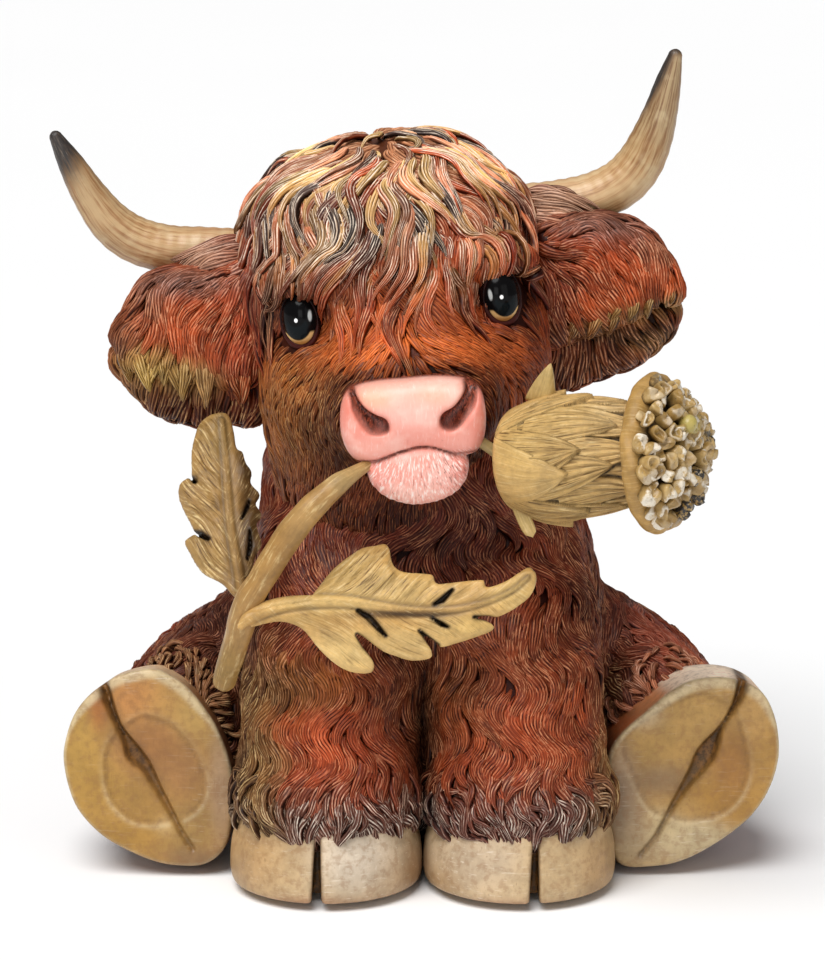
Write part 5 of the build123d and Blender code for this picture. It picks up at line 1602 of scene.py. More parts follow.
for name, pts, rad, seed in (("horn_right", HORN_R, HORN_R_RAD, 0.0), ("horn_left", HORN_L, HORN_L_RAD, 2.0)):
    def rough(s, th, seed=seed):
        """growth ridges near the root, faint flats along the length"""
        root = math.exp(-max(s, 0) / 16.0)
        k = 1 + 0.018 * math.sin(s * 2.3 + seed) * (0.4 + root)
        return k + 0.014 * np.sin(3 * th + s * 0.10 + seed) + 0.010 * np.sin(7 * th - s * 0.22) + 0.006 * np.sin(13 * th + s * 0.3)

    v, f, s, a = tube(pts, rad, 56, 12, rough)
    px, py = to_image(v)
    L = s.max()
    tip = s / L
    col = blobs(px, py, rgb("bb9662"), HORN_SPOTS, 0.3)
    # soot starts further down the outer side of each tip
    if name == "horn_right":
        dark = smooth(px + 0.62 * (py - 126), 136, 64)
    else:
        dark = smooth(px - 676 + 0.44 * (py - 45), 10, -6) * smooth(py, 140, 78)
        dark = np.maximum(dark, smooth(py, 62, 48) * 0.8)
    mesh_piece(name + "_shell", v, f, horn_mat, replaces=name,
               attrs=dict(col=col * np.array([0.93, 0.80, 0.80]), st=np.stack([np.cos(a), np.sin(a), s + 40 * seed], 1),
                          mx=np.stack([np.clip(dark, 0, 1), tip, tip], 1)))


# ------------------------------------------------------------------ ears
EAR_SPOTS = [
    (190, 284, 46, 9, rgb("7d5248"), 1.4), (150, 300, 16, 14, rgb("84503f"), 0.9), (195, 320, 40, 22, rgb("b3502c"), 1.2),
    (240, 320, 16, 40, rgb("a0432a"), 1.0), (130, 335, 14, 20, rgb("85503a"), 0.9), (146, 360, 18, 12, rgb("bd9c63"), 1.6),
    (180, 370, 14, 12, rgb("c09f66"), 1.5), (207, 378, 14, 12, rgb("b99167"), 1.4), (240, 376, 18, 14, rgb("963a22"), 1.2),
    (200, 408, 60, 14, rgb("55291a"), 1.8), (140, 388, 16, 12, rgb("6d4e30"), 1.3), (250, 410, 14, 20, rgb("562317"), 1.0),
    (600, 226, 40, 10, rgb("7b5048"), 1.4), (652, 246, 18, 12, rgb("8a5647"), 1.3), (600, 262, 40, 20, rgb("a2421f"), 1.2),
    (645, 282, 28, 18, rgb("b4502a"), 1.3), (560, 290, 16, 40, rgb("6d2b1a"), 1.2), (600, 305, 30, 16, rgb("ab4a23"), 1.2),
    (664, 300, 16, 7, rgb("a58a60"), 2.0), (632, 310, 20, 7, rgb("9a7c52"), 1.8), (596, 325, 20, 7, rgb("84633c"), 1.5),
    (620, 330, 60, 8, rgb("3b2413"), 1.6), (650, 338, 20, 10, rgb("7f6038"), 1.2), (600, 362, 40, 12, rgb("67371f"), 1.4),
    (565, 375, 14, 14, rgb("5a2a1c"), 1.2),
]
EARS = {
    "right": dict(
        root=(252, 268), out=-1,
        top=[(262, 258), (232, 262), (200, 266), (170, 271), (147, 280), (132, 299), (124, 314), (112, 331), (118, 347),
             (128, 362), (146, 370), (178, 378), (206, 382), (236, 384), (262, 372), (268, 320)],
        low=[(262, 360), (200, 352), (140, 345), (116, 346), (112, 361), (124, 377), (139, 393), (148, 404), (168, 415), (191, 421),
             (214, 425), (236, 421), (262, 421), (268, 390)],
        y_top=-9.5, t_top=6.0, y_low=-6.5, t_low=4.6),
    "left": dict(
        root=(536, 236), out=1,
        top=[(530, 226), (560, 218), (590, 215), (620, 218), (646, 231), (662, 249), (675, 271), (680, 290), (677, 299),
             (655, 303), (640, 312), (610, 324), (575, 336), (545, 344), (528, 330), (524, 280)],
        low=[(540, 330), (600, 312), (650, 296), (677, 300), (680, 310), (672, 330), (658, 345), (644, 356), (630, 365),
             (606, 374), (590, 379), (572, 385), (552, 386), (536, 372)],
        y_top=-9.5, t_top=6.0, y_low=-4.6, t_low=4.0),
}


def paint_ear(v, root):
    px, py = to_image(v * 0.6 + root * 0.4)
    behind = smooth(root[:, 1], -5, 2)[:, None]
    col = blobs(px, py, RUST, EAR_SPOTS)
    col = col * (1 - behind) + rgb("6f2f1e")[None] * behind
    vary = noise3(root, 3.6, 14)
    col = col * (1 + 0.16 * vary[:, None])
    hi = np.ones((len(v), 1)) * rgb("e6ac82")
    lilac = np.exp(-(((px - 190) / 60) ** 2 + ((py - 284) / 14) ** 2)) + np.exp(-(((px - 610) / 60) ** 2 + ((py - 230) / 16) ** 2))
    lilac = np.clip(lilac, 0, 1)[:, None]
    hi = hi * (1 - lilac) + rgb("c79c90")[None] * lilac
    fringe = np.exp(-(((py - 400) / 26) ** 2))[:, None] * (px < 300)[:, None]
    hi = hi * (1 - fringe) + rgb("d8ae78")[None] * fringe
    drybrush_and_highlight = 0.60 + 0.45 * vary + 0.05 * lilac[:, 0]
    under = smooth(py, 384, 398) * smooth(px, 300, 280)
    streak = noise3(root, 1.9, 44)
    drybrush_and_highlight = drybrush_and_highlight + under * (0.45 + 0.9 * streak)
    col = col * (1 + under[:, None] * np.array([0.34, 0.14, 0.10])) * (1 - 0.45 * under * smooth(streak, 0.1, -0.3))[:, None]
    col = col * np.array([0.92, 0.84, 0.62])
    mx = np.stack([np.clip(drybrush_and_highlight, 0, 1), np.full(len(v), 1.0), 0.0 * vary], 1)
    return {"col": np.clip(col, 0.001, 1), "hi": hi, "mx": mx}


for side, E in EARS.items():
    polys = {}
    for part in ("top", "low"):
        P = np.array(E[part], float)
        Y = E["y_" + part]
        polys[part] = closed_curve(from_image(P[:, 0], P[:, 1], Y)[:, [0, 2]], 80)
    root3 = from_image(*E["root"], -7.0)[0]

    def ear_fn(p, part):
        x, y, z = p
        U, V = np.broadcast_arrays(x[:, 0, :], z[:, 0, :])
        d2 = polygon_distance(U, V, polys[part]).astype(F32)[:, None, :] + 0.9
        dy = np.abs(y - E["y_" + part]) - E["t_" + part]
        return smax(d2, dy + 0 * d2, 5.0 if part == "top" else 3.6)

    fields = {}
    for part in ("low", "top"):
        lo, hi = polys[part].min(0) - 2.5, polys[part].max(0) + 2.5
        Y, T = E["y_" + part], E["t_" + part]
        f = Field((lo[0], Y - T - 3, lo[1]), (hi[0], Y + T + 3, hi[1]), 0.9, lambda p, part=part: ear_fn(p, part))
        fields[part] = (f,) + surface_net(f)

    def ear_flow(P, n, part="top", seed=400):
        d = P - root3
        r = np.linalg.norm(d * np.array([1, 0.3, 1]), axis=1)
        k = (smooth(r, 3, 22) * 0.78)[:, None]
        radial = unit(d * np.array([1, 0.2, 1]))
        f = radial * (1 - k) + np.array([0.12 * E["out"], 0, -1.0])[None] * k
        if part == "low":
            f = radial * 0.35 + np.array([0.25 * E["out"], -0.15, -1.0])[None]
        return turn(f, n, wave(P, r, 14.0, 0.30, seed))

    coat = Coat()
    f, v, q = fields["top"]
    coat.add(*carpet(f, v, q, lambda P, n: n[:, 1] < 0.35, lambda P, n: ear_flow(P, n), 2.0, (9, 13), (1.1, 1.6), (0.8, 1.2),
                     410 + E["out"], ridges=4, per=3, lift1=1.0, tip_dip=0.1, twist=0.5, loose=0.8))
    coat.add(*carpet(f, v, q, lambda P, n: n[:, 1] >= 0.35, lambda P, n: ear_flow(P, n), 3.2, (9, 13), (1.7, 2.3), (0.8, 1.1),
                     420 + E["out"], ridges=4, per=3, steps=9))
    coat.add(*carpet(f, v, q, lambda P, n: (n[:, 1] < 0.35) & (np.linalg.norm(P - root3, axis=1) < 15), lambda P, n: ear_flow(P, n), 1.6, (5, 8),
                     (0.9, 1.4), (0.8, 1.1), 450 + E["out"], ridges=4, per=3, lift1=0.6, tip_dip=0.2, twist=0.4, loose=0.6, steps=9))
    f2, v2, q2 = fields["low"]
    coat.add(*carpet(f2, v2, q2, lambda P, n: (n[:, 1] < 0.4), lambda P, n: ear_flow(P, n, "low"), 2.0, (8, 11), (1.0, 1.5), (0.7, 1.1),
                     430 + E["out"], ridges=3, per=4, lift1=0.9, steps=10, twist=0.5, loose=0.8))
    coat.add(*carpet(f2, v2, q2, lambda P, n: (n[:, 1] >= 0.4), lambda P, n: ear_flow(P, n, "low"), 3.2, (8, 12), (1.7, 2.3), (0.8, 1.1),
                     440 + E["out"], ridges=4, per=3, steps=9))
    coat.paint_with(f"ear_{side}_fur", fur, paint_ear)
    base_v = np.concatenate([v, v2])
    base_q = np.concatenate([q, q2 + len(v)])
    mesh_piece(f"ear_{side}_core", base_v, base_q, fur, replaces=f"ear_{side}",
               attrs=dict(paint_ear(base_v, base_v), lk=np.tile([0.5, 0.0, 0.4], (len(base_v), 1)),
                          st=np.stack([base_v[:, 0], base_v[:, 2], base_v[:, 1]], 1)))

# fur swept over the horn roots, and clumps that hang from the edge of an ear
def swept(lines, seed, width, per_line=5, spread_px=4.0, gather=0.0):
    """short tapering locks laid along drawn strokes; a stroke is [(x, y, depth), ...] in the picture"""
    g = np.random.default_rng(seed)
    P, N, W = [], [], []
    for st in lines:
        st = np.array(st, float)
        for _ in range(per_line):
            q = st.copy()
            q[:, 0] += spread_px * (g.random() - 0.5) * 2
            q[:, 1] += spread_px * (g.random() - 0.5) * 2
            q[:, 2] += 1.0 * (g.random() - 0.5)
            c = open_curve(q, 13)
            along = np.linspace(0, 1, 13)
            c[:, :2] -= gather * (c[:, :2] - open_curve(st, 13)[:, :2]) * along[:, None]
            c[:, 1] += 3.0 * np.sin(2 * math.pi * (along * 0.9 + g.random())) * along
            P.append(np.concatenate([from_image(x, y, Y) for x, y, Y in c]))
            N.append(np.tile(unit([0, -1.0, 0.45]), (13, 1)))
            W.append(width * (0.8 + 0.5 * g.random()))
    P, N, W = np.array(P), np.array(N), np.array(W)
    v, q, t, a = locks(P, N, W, np.full(len(W), 1.0), ridges=3, per=4, lift0=-0.3, lift1=0.5, tip_dip=0.6, seed=seed + 1, twist=0.5,
                       root=0.15, loose=0.5, fat=0.8)
    a["root"] = np.repeat(P[:, 4], 13 * 14, 0)
    return v, q, t, a


def paint_swept(v, root):
    px, py = to_image(v)
    col = blobs(px, py, rgb("8a5848"), [(200, 256, 40, 12, rgb("a87c62"), 1.0), (235, 262, 20, 20, rgb("8a4630"), 1.0),
                                        (560, 206, 32, 12, rgb("b98c6e"), 1.4), (540, 228, 20, 14, rgb("96553c"), 1.0)])
    vary = noise3(root, 2.4, 19)
    col = col * (1 + 0.2 * vary[:, None])
    hi = np.ones((len(v), 1)) * rgb("e2c0ab")
    mx = np.stack([np.clip(0.62 + 0.3 * vary, 0, 1), np.full(len(v), 1.0), 0.0 * vary], 1)
    return {"col": np.clip(col, 0.001, 1), "hi": hi, "mx": mx}


coat = Coat()
coat.add(*swept([[(246, 238, -9), (222, 243, -9.5), (198, 252, -9.5), (172, 266, -9)], [(248, 246, -10), (224, 250, -10.5), (200, 259, -10.5), (178, 274, -10)],
                 [(250, 254, -11), (228, 258, -11.5), (206, 266, -11.5), (190, 282, -11)], [(252, 262, -12), (236, 268, -12.5), (220, 278, -12.5), (210, 292, -12)],
                 [(247, 234, -7.5), (230, 238, -8), (210, 243, -8.3), (190, 250, -8)]], 451, 1.0))
coat.add(*swept([[(526, 196, -8), (548, 197, -8.6), (574, 203, -8.8), (598, 213, -8)], [(526, 204, -9), (546, 206, -9.6), (570, 211, -9.8), (592, 221, -9)],
                 [(527, 213, -10), (546, 216, -10.5), (566, 220, -10.5), (588, 231, -10)], [(528, 222, -11), (548, 226, -11.5), (570, 231, -11.5), (594, 243, -11)],
                 [(526, 190, -6.5), (544, 190, -7.5), (562, 193, -8), (580, 199, -7.8)]], 461, 1.0))
coat.paint_with("horn_root_fur", fur, paint_swept)


def paint_clumps(v, root):
    px, py = to_image(v)
    col = blobs(px, py, rgb("a8623c"), [(147, 378, 16, 26, rgb("b79d5e"), 2.0), (181, 384, 13, 26, rgb("b9975c"), 2.0), (204, 392, 13, 26, rgb("b58e62"), 2.0),
                                        (124, 372, 10, 20, rgb("8d6c42"), 1.5), (240, 385, 16, 26, rgb("9c4a2c"), 2.0), (190, 345, 70, 14, rgb("a64c2a"), 1.0),
                                        (640, 312, 60, 14, rgb("9a7a4c"), 1.5), (575, 335, 40, 14, rgb("8a5a36"), 1.2)], 0.2)
    vary = noise3(root, 2.0, 21)
    col = col * (1 + 0.16 * vary[:, None]) * np.array([0.92, 0.84, 0.62])
    hi = np.ones((len(v), 1)) * rgb("dcc393")
    mx = np.stack([np.clip(0.62 + 0.4 * vary, 0, 1), np.full(len(v), 1.0), 0.0 * vary], 1)
    return {"col": np.clip(col, 0.001, 1), "hi": hi, "mx": mx}


coat = Coat()
coat.add(*swept([[(136, 348, -14.2), (141, 364, -15.6), (146, 378, -15.4), (149, 389, -14.6)], [(156, 350, -14.6), (155, 366, -15.8), (151, 379, -15.5), (150, 390, -14.6)],
                 [(172, 354, -15.0), (176, 372, -15.9), (180, 387, -15.6), (182, 397, -14.6)], [(188, 358, -15.2), (186, 374, -16.0), (183, 388, -15.6), (182, 398, -14.6)],
                 [(198, 360, -15.2), (201, 378, -16.0), (204, 394, -15.6), (206, 406, -14.6)], [(211, 362, -15.2), (209, 380, -16.0), (207, 396, -15.6), (206, 407, -14.6)],
                 [(226, 362, -15.0), (231, 380, -15.8), (236, 394, -15.2), (240, 403, -14.4)], [(244, 360, -14.8), (243, 378, -15.6), (242, 394, -15.0), (240, 404, -14.2)],
                 [(122, 346, -12.6), (124, 360, -13.8), (127, 371, -13.6), (131, 380, -12.8)], [(164, 352, -15.0), (165, 366, -15.8), (164, 376, -15.4), (163, 384, -14.8)]],
                471, 0.85, per_line=4, spread_px=6.5, gather=0.85))
coat.add(*swept([[(668, 286, -14.2), (669, 296, -15.0), (668, 306, -14.6)], [(650, 292, -15.0), (649, 304, -15.6), (646, 316, -15.0)],
                 [(634, 298, -15.2), (632, 310, -15.8), (628, 322, -15.2)], [(615, 306, -15.4), (613, 318, -15.9), (608, 330, -15.3)],
                 [(597, 314, -15.4), (594, 325, -15.8), (588, 337, -15.2)], [(578, 320, -15.2), (575, 331, -15.6), (570, 342, -15.0)]],
                481, 0.75, per_line=4, spread_px=7.0, gather=0.7))
coat.paint_with("ear_edge_fur", fur, paint_clumps)



# ------------------------------------------------------------------ thistle sprig
def sprig_material(name="painted_sprig", light="dfc38c", dark="553a1a"):
    """khaki-painted resin, brown wash in the veins, satin varnish"""
    M = Mat(name)
    col = M.attr("col")
    ax, al, so = M.split(M.attr("st"))
    wash, lines, pale = M.split(M.attr("mx"))
    vein = M.noise(M.join(M.math("MULTIPLY", ax, 2.6), M.math("MULTIPLY", al, 0.16), so), 1.0, 3.0, 0.62, 0.35)
    fine = M.noise(M.join(M.math("MULTIPLY", ax, 7.0), M.math("MULTIPLY", al, 0.5), so), 1.0, 2.0, 0.6)
    cloud = M.noise(M.where(), 230.0, 3.0, 0.55)
    mott = M.noise(M.where(), 900.0, 3.0, 0.6)
    value = M.math("MULTIPLY", M.range(cloud, 0.3, 0.7, 0.86, 1.12), M.range(mott, 0.25, 0.75, 0.9, 1.1))
    base = M.new("VectorMath", {0: col, 3: value}, operation="SCALE").outputs[0]
    groove = M.math("MULTIPLY", M.range(vein, 0.47, 0.33), lines)
    base = M.mix(M.math("MULTIPLY", groove, 0.85), base, tuple(rgb(dark)) + (1,))
    up = M.math("MULTIPLY", M.range(vein, 0.52, 0.68), M.range(mott, 0.3, 0.6, 0.3, 1.0))
    up = M.math("MULTIPLY", up, M.math("MULTIPLY_ADD", pale, 0.6, 0.25), clamp=True)
    base = M.mix(up, base, tuple(rgb(light)) + (1,))
    stain = M.math("MULTIPLY", M.range(mott, 0.62, 0.75), 0.35)
    base = M.mix(stain, base, tuple(rgb("8a6a35")) + (1,))
    deep = M.math("ADD", wash, M.math("MULTIPLY", M.math("SUBTRACT", mott, 0.5), wash), clamp=True)
    base = M.mix(deep, base, tuple(rgb("241709")) + (1,))
    h = M.math("ADD", M.math("MULTIPLY", vein, M.math("MULTIPLY_ADD", lines, 1.0, 0.15)), M.math("MULTIPLY", fine, 0.25))
    normal = M.bump(h, 0.85, 0.38)
    return M.set(Base_Color=base, Roughness=M.range(mott, 0.2, 0.8, 0.32, 0.5), Normal=normal, Specular_IOR_Level=0.35)


sprig = sprig_material()
KHAKI = rgb("b8955a")
STEM_PX = [(374, 460, -47.2), (364, 467, -49.4), (352, 474.5, -51.4), (336, 486, -53.2), (309, 511, -54.9), (285, 541, -55.0),
           (261, 580, -54.2), (247, 604, -53.3)]          # picture points of its centre line, and how far forward each lies
STEM_PTS = [from_image(a, b, c)[0] for a, b, c in STEM_PX] + [(-32.2, -51.4, 52.6), (-34.2, -48.8, 46.0), (-34.8, -48.0, 43.8)]
STEM_RAD = [0.95, 1.1, 1.45, 2.0, 2.45, 2.65, 2.6, 2.6, 2.55, 2.35, 2.2]


def stem_shape(s, th):
    k = 1 + 0.035 * np.sin(2 * th + s * 0.11) + 0.02 * np.sin(5 * th - s * 0.2) + 0.015 * math.sin(s * 0.9) + 0.01 * np.sin(9 * th + s)
    node = math.exp(-((s - 41.0) / 3.4) ** 2)
    return k + 0.10 * node * (1 + 0.5 * np.sin(th + 1.0))


v, f, s, a = tube(STEM_PTS, STEM_RAD, 44, 10, stem_shape)
px, py = to_image(v)
STEM_SPOTS = [(350, 478, 20, 12, rgb("c9b982"), 1.0), (300, 520, 24, 30, rgb("c3a86b"), 1.0), (262, 560, 16, 30, rgb("bd9f60"), 1.0),
              (285, 560, 12, 30, rgb("a5864a"), 0.8), (240, 620, 14, 26, rgb("c2a66a"), 1.0), (228, 670, 14, 20, rgb("a99353"), 1.2)]
col = blobs(px, py, KHAKI, STEM_SPOTS, 0.2)
mesh_piece("stem_body", v, f, sprig, replaces="thistle_stem",
           attrs=dict(col=col * np.array([0.74, 0.60, 0.52]), st=np.stack([np.cos(a) * 1.2 + np.sin(a) * 1.2, s, 0 * s + 3], 1),
                      mx=np.stack([0.05 + 0 * s, 0.16 + 0 * s, 0.5 + 0 * s], 1)))


class Leaf:
    def __init__(self, o, x, z):
        self.o, self.x, self.z = np.array(o, float), unit(x), unit(z)
        self.y = np.cross(self.z, self.x)

    def uv(self, px, py):
        """picture points onto the leaf's plane"""
        px, py = np.atleast_1d(np.asarray(px, float)), np.atleast_1d(np.asarray(py, float))
        d = -BACK[None] + ((px - 412.5) / FOCAL_PX)[:, None] * np.array([1.0, 0, 0]) + ((480 - py) / FOCAL_PX)[:, None] * UP
        k = ((self.o - EYE) @ self.z) / (d @ self.z)
        q = EYE + d * k[:, None] - self.o
        return np.stack([q @ self.x, q @ self.y], 1)

    def track(self, rows, mm=5.3):
        r = np.array(rows, float)
        return np.column_stack([self.uv(r[:, 0], r[:, 1]), r[:, 2] / mm])

    def place(self, q):
        return self.o + q[:, :1] * self.x + q[:, 1:2] * self.y + q[:, 2:3] * self.z


def leaf_piece(name, L, edge, rib, slots, sag, spots, node, h=0.36, thick=0.75, extra=None, tint=(1.07, 0.99, 0.94)):
    E = closed_curve(L.uv(*np.array(edge, float).T), 150)
    R = open_curve(L.track(rib), 60)
    S = [L.track(s) for s in slots]

    def fn(p):
        u, v, w = p
        U, V = np.broadcast_arrays(u[:, :, 0], v[:, :, 0])
        d2 = polygon_distance(U, V, E).astype(F32)[:, :, None]
        rb = track_distance(U, V, R).astype(F32)[:, :, None]
        sl = [track_distance(U, V, s).astype(F32)[:, :, None] for s in S]
        mid = sag(U, V, d2[:, :, 0])
        pick = R[::4][np.argmin(np.stack([((U - r[0]) ** 2 + (V - r[1]) ** 2) for r in R[::4]]), 0)]
        lean = np.sign(V - pick[:, :, 1]) * node
        run = -np.sin(lean) * U + np.cos(lean) * V + 0.4 * np.sin(0.5 * U)
        vein = np.cos(2 * math.pi * run / 2.2) * (0.6 + 0.4 * (V > 0)) + 1.9 * np.cos(2 * math.pi * run / 5.6 + 1.0) * smooth(rb[:, :, 0], 0.8, 3.4)
        mid = (mid + 0.24 * vein * smooth(rb[:, :, 0], 0.6, 2.0) * smooth(-d2[:, :, 0], 0.2, 1.4))[:, :, None].astype(F32)
        t = thick + 0.35 * smooth(-d2, 0, 2.4)
        blade = smax(d2, np.abs(w - mid) - t, 1.1)
        # the midrib stands proud, rounded
        rw = np.array([r[2] for r in R])
        near = np.minimum.reduce([((U - r[0]) ** 2 + (V - r[1]) ** 2) for r in R[::2]])
        which = np.argmin(np.stack([((U - r[0]) ** 2 + (V - r[1]) ** 2) for r in R[::2]]), 0)
        rr = rw[::2][which][:, :, None]
        flat = np.sqrt(np.maximum(rb + rr, 0) ** 2 + (w - mid - 0.55) ** 2 * 0.9) - rr
        groove = np.exp(-((rb - 0.45) / 0.35) ** 2)
        blade = blade + 0.28 * groove * (w > mid)
        d = smin(blade, flat, 0.35)
        for s in sl:
            d = smax(d, -smax(s, mid - w - 0.6, 0.3), 0.5)
        return d

    lo, hi = E.min(0) - 2, E.max(0) + 2
    lo = np.minimum(lo, R[:, :2].min(0) - 3)
    f = Field((lo[0], lo[1], -6.5), (hi[0], hi[1], 6.5), h, fn)
    q, quads = surface_net(f)
    v = L.place(q)
    px, py = to_image(v)
    col = blobs(px, py, KHAKI, spots, 0.25) * np.array(tint)
    d2 = polygon_distance(q[:, 0], q[:, 1], E)
    rb = track_distance(q[:, 0], q[:, 1], R)
    sl = np.minimum.reduce([track_distance(q[:, 0], q[:, 1], s) for s in S]) if S else np.full(len(q), 9.0)
    mid = sag(q[:, 0], q[:, 1], d2)
    front = smooth(q[:, 2] - mid, -0.3, 0.4)
    # the slots are darkened, partly with brown wash and partly as painted shadow inside them; the back face of the
    # blade is darker too
    wash = 0.95 * smooth(sl, 0.55, 0.0) + 0.55 * np.exp(-((rb - 0.3) / 0.34) ** 2) * front * smooth(-d2, 0.3, 1.2)
    wash = wash + 0.45 * (1 - front) * smooth(-d2, 0.2, 1.5)
    lines = smooth(rb, 0.3, 1.2) * smooth(-d2, 0.5, 1.8) * front * (0.45 + 0.55 * smooth(q[:, 1], -1, 2))
    # fine veins sweep away from the midrib towards the tip on each side
    i = np.argmin(((q[:, None, 0] - R[None, :, 0]) ** 2 + (q[:, None, 1] - R[None, :, 1]) ** 2), 1)
    Rt = unit(np.gradient(R[:, :2], axis=0))[i]
    off = q[:, :2] - R[i][:, :2]
    sgn = np.where(Rt[:, 0] * off[:, 1] - Rt[:, 1] * off[:, 0] >= 0, 1.0, -1.0)
    ang = sgn * node + math.atan2(R[-8, 1] - R[8, 1], R[-8, 0] - R[8, 0])
    ca, sa = np.cos(ang), np.sin(ang)
    ax = -sa * q[:, 0] + ca * q[:, 1]
    al = ca * q[:, 0] + sa * q[:, 1]
    # bend the ribs a little so they are not straight rulings
    ax = ax + 0.5 * np.sin(al * 0.35 + sgn)
    st = np.stack([ax, al, sgn * 4.0], 1)
    mx = np.stack([np.clip(wash, 0, 1), np.clip(lines * 1.15, 0, 1), 0.55 + 0.55 * smooth(q[:, 1], -1, 2)], 1)
    if extra is not None:
        col, mx = extra(px, py, q, d2, col, mx)
    mesh_piece(name + "_blade", v, quads, sprig, replaces=name, attrs=dict(col=col, st=st, mx=mx))


LF = Leaf((-30, -54.5, 58.5), (0.9847, 0.128, 0.1182), (0.0945, -0.9623, 0.255))
LF_EDGE = [(252, 617), (262, 612), (285, 607), (306, 600), (316, 590), (333, 569), (352, 554), (364, 547), (376, 545), (386, 543),
           (391, 549), (392, 558), (397, 568), (408, 572), (424, 573), (434, 575), (437, 583), (452, 582), (474, 580), (484, 580),
           (487, 587), (505, 581), (520, 571), (529, 567), (535, 574), (535, 584), (530, 596), (519, 606), (508, 613), (496, 618),
           (484, 617), (495, 626), (491, 632), (478, 637), (460, 643), (440, 648), (428, 642), (432, 648), (434, 656), (428, 660),
           (412, 661), (398, 657), (384, 652), (372, 644), (361, 636), (366, 646), (374, 660), (375, 670), (368, 674), (350, 672),
           (334, 663), (318, 648), (306, 633), (296, 626), (280, 622), (262, 625), (250, 628)]
LF_RIB = [(240, 627, 3.6), (246, 620, 6.2), (256, 613, 7.4), (270, 607, 7.2), (290, 602.5, 6.6), (318, 601, 5.8), (349, 602, 4.9),
          (376, 606, 4.1), (405, 610, 3.3), (434, 611, 2.5), (464, 608, 1.8), (492, 600, 1.3), (512, 590, 1.0), (526, 578, 0.8)]
LF_SLOTS = [[(358, 611, 1.2), (368, 617, 2.6), (376, 625, 2.4), (386, 636, 0.8)],
            [(357, 635, 1.2), (366, 645, 3.6), (377, 655, 4.8)],
            [(434, 604, 1.0), (442, 600, 2.4), (452, 590, 1.2)],
            [(420, 631, 1.0), (430, 640, 2.2), (437, 646, 2.6)],
            [(432, 618, 0.8), (442, 624, 1.8), (448, 627, 0.8)],
            [(474, 617, 0.8), (488, 618.5, 1.8), (497, 621, 2.2)]]
LF_SPOTS = [(320, 602, 40, 8, rgb("c9ae70"), 1.2), (350, 575, 30, 20, rgb("bda265"), 1.0), (400, 590, 40, 12, rgb("bfa569"), 1.0),
            (345, 655, 30, 16, rgb("cfb578"), 1.2), (410, 645, 34, 12, rgb("ccb073"), 1.2), (470, 628, 30, 10, rgb("c4a96a"), 1.0),
            (515, 595, 22, 16, rgb("c6aa6a"), 1.0), (300, 620, 20, 10, rgb("b3955a"), 0.8), (440, 590, 24, 8, rgb("b99b62"), 0.8),
            (404, 614.5, 32, 2.4, rgb("4d3416"), 3.0), (372, 590, 16, 10, rgb("c9ae76"), 0.8)]


def lf_sag(U, V, d2):
    return (-0.010 * V ** 2 + 0.55 * np.sin(U * 0.34 + 0.6) * smooth(np.abs(V), 2, 8) + 0.0022 * (U - 27) ** 2 - 0.6
            + 0.9 * smooth(U, 44, 54) - 0.5 * smooth(-d2, 1.6, 0.0) * (V > 0))


leaf_piece("thistle_leaf_front", LF, LF_EDGE, LF_RIB, LF_SLOTS, lf_sag, LF_SPOTS, 0.62)

LS = Leaf((-32.2, -47.5, 58), (-0.1447, 0.7234, 0.6751), (0.0019, -0.6821, 0.7312))
LS_EDGE = [(240, 602), (232, 596), (222, 584), (203, 571), (189, 549), (184, 538), (192, 533), (192, 526), (184, 508), (178, 492),
           (179, 481), (188, 476), (191, 473), (191, 452), (194, 438), (199, 426), (212, 417), (228, 416), (234, 430), (237, 448),
           (243, 452), (246, 462), (252, 470), (251, 480), (260, 489), (256, 500), (262, 512), (257, 524), (262, 540), (256, 552), (252, 570),
           (246, 585), (246, 598)]
LS_RIB = [(243, 600, 6.0), (241, 585, 5.0), (236, 560, 4.2), (231, 530, 3.6), (228, 500, 3.2), (226, 470, 2.8), (224, 445, 2.4), (222, 424, 1.8)]
LS_SLOTS = [[(192, 530, 1.0), (200, 534, 2.2), (209, 539, 1.2)], [(190, 476, 0.8), (195, 481, 1.6)],
            [(247, 560, 0.8), (250, 545, 1.8), (250, 532, 0.8)], [(242, 520, 0.8), (247, 508, 1.8), (249, 498, 0.8)]]
# (252, 520) and (246, 460) darken the right half of the side leaf, partly brown wash, partly painted shadow
LS_SPOTS = [(205, 500, 20, 50, rgb("b79b5f"), 1.0), (205, 560, 20, 20, rgb("bfa568"), 1.0), (215, 440, 14, 20, rgb("ad9658"), 1.0),
            (230, 520, 8, 80, rgb("b0935a"), 0.8), (252, 520, 10, 70, rgb("4a3519"), 1.6), (246, 460, 8, 16, rgb("2c1d0d"), 1.6),
            (188, 490, 8, 20, rgb("c3a76c"), 0.8)]


def ls_sag(U, V, d2):
    return -0.020 * V ** 2 + 0.5 * np.sin(U * 0.42) * smooth(np.abs(V), 1.5, 6) + 0.0020 * (U - 20) ** 2 - 0.4


leaf_piece("thistle_leaf_side", LS, LS_EDGE, LS_RIB, LS_SLOTS, ls_sag, LS_SPOTS, 0.5, h=0.4, tint=(0.70, 0.60, 0.56))

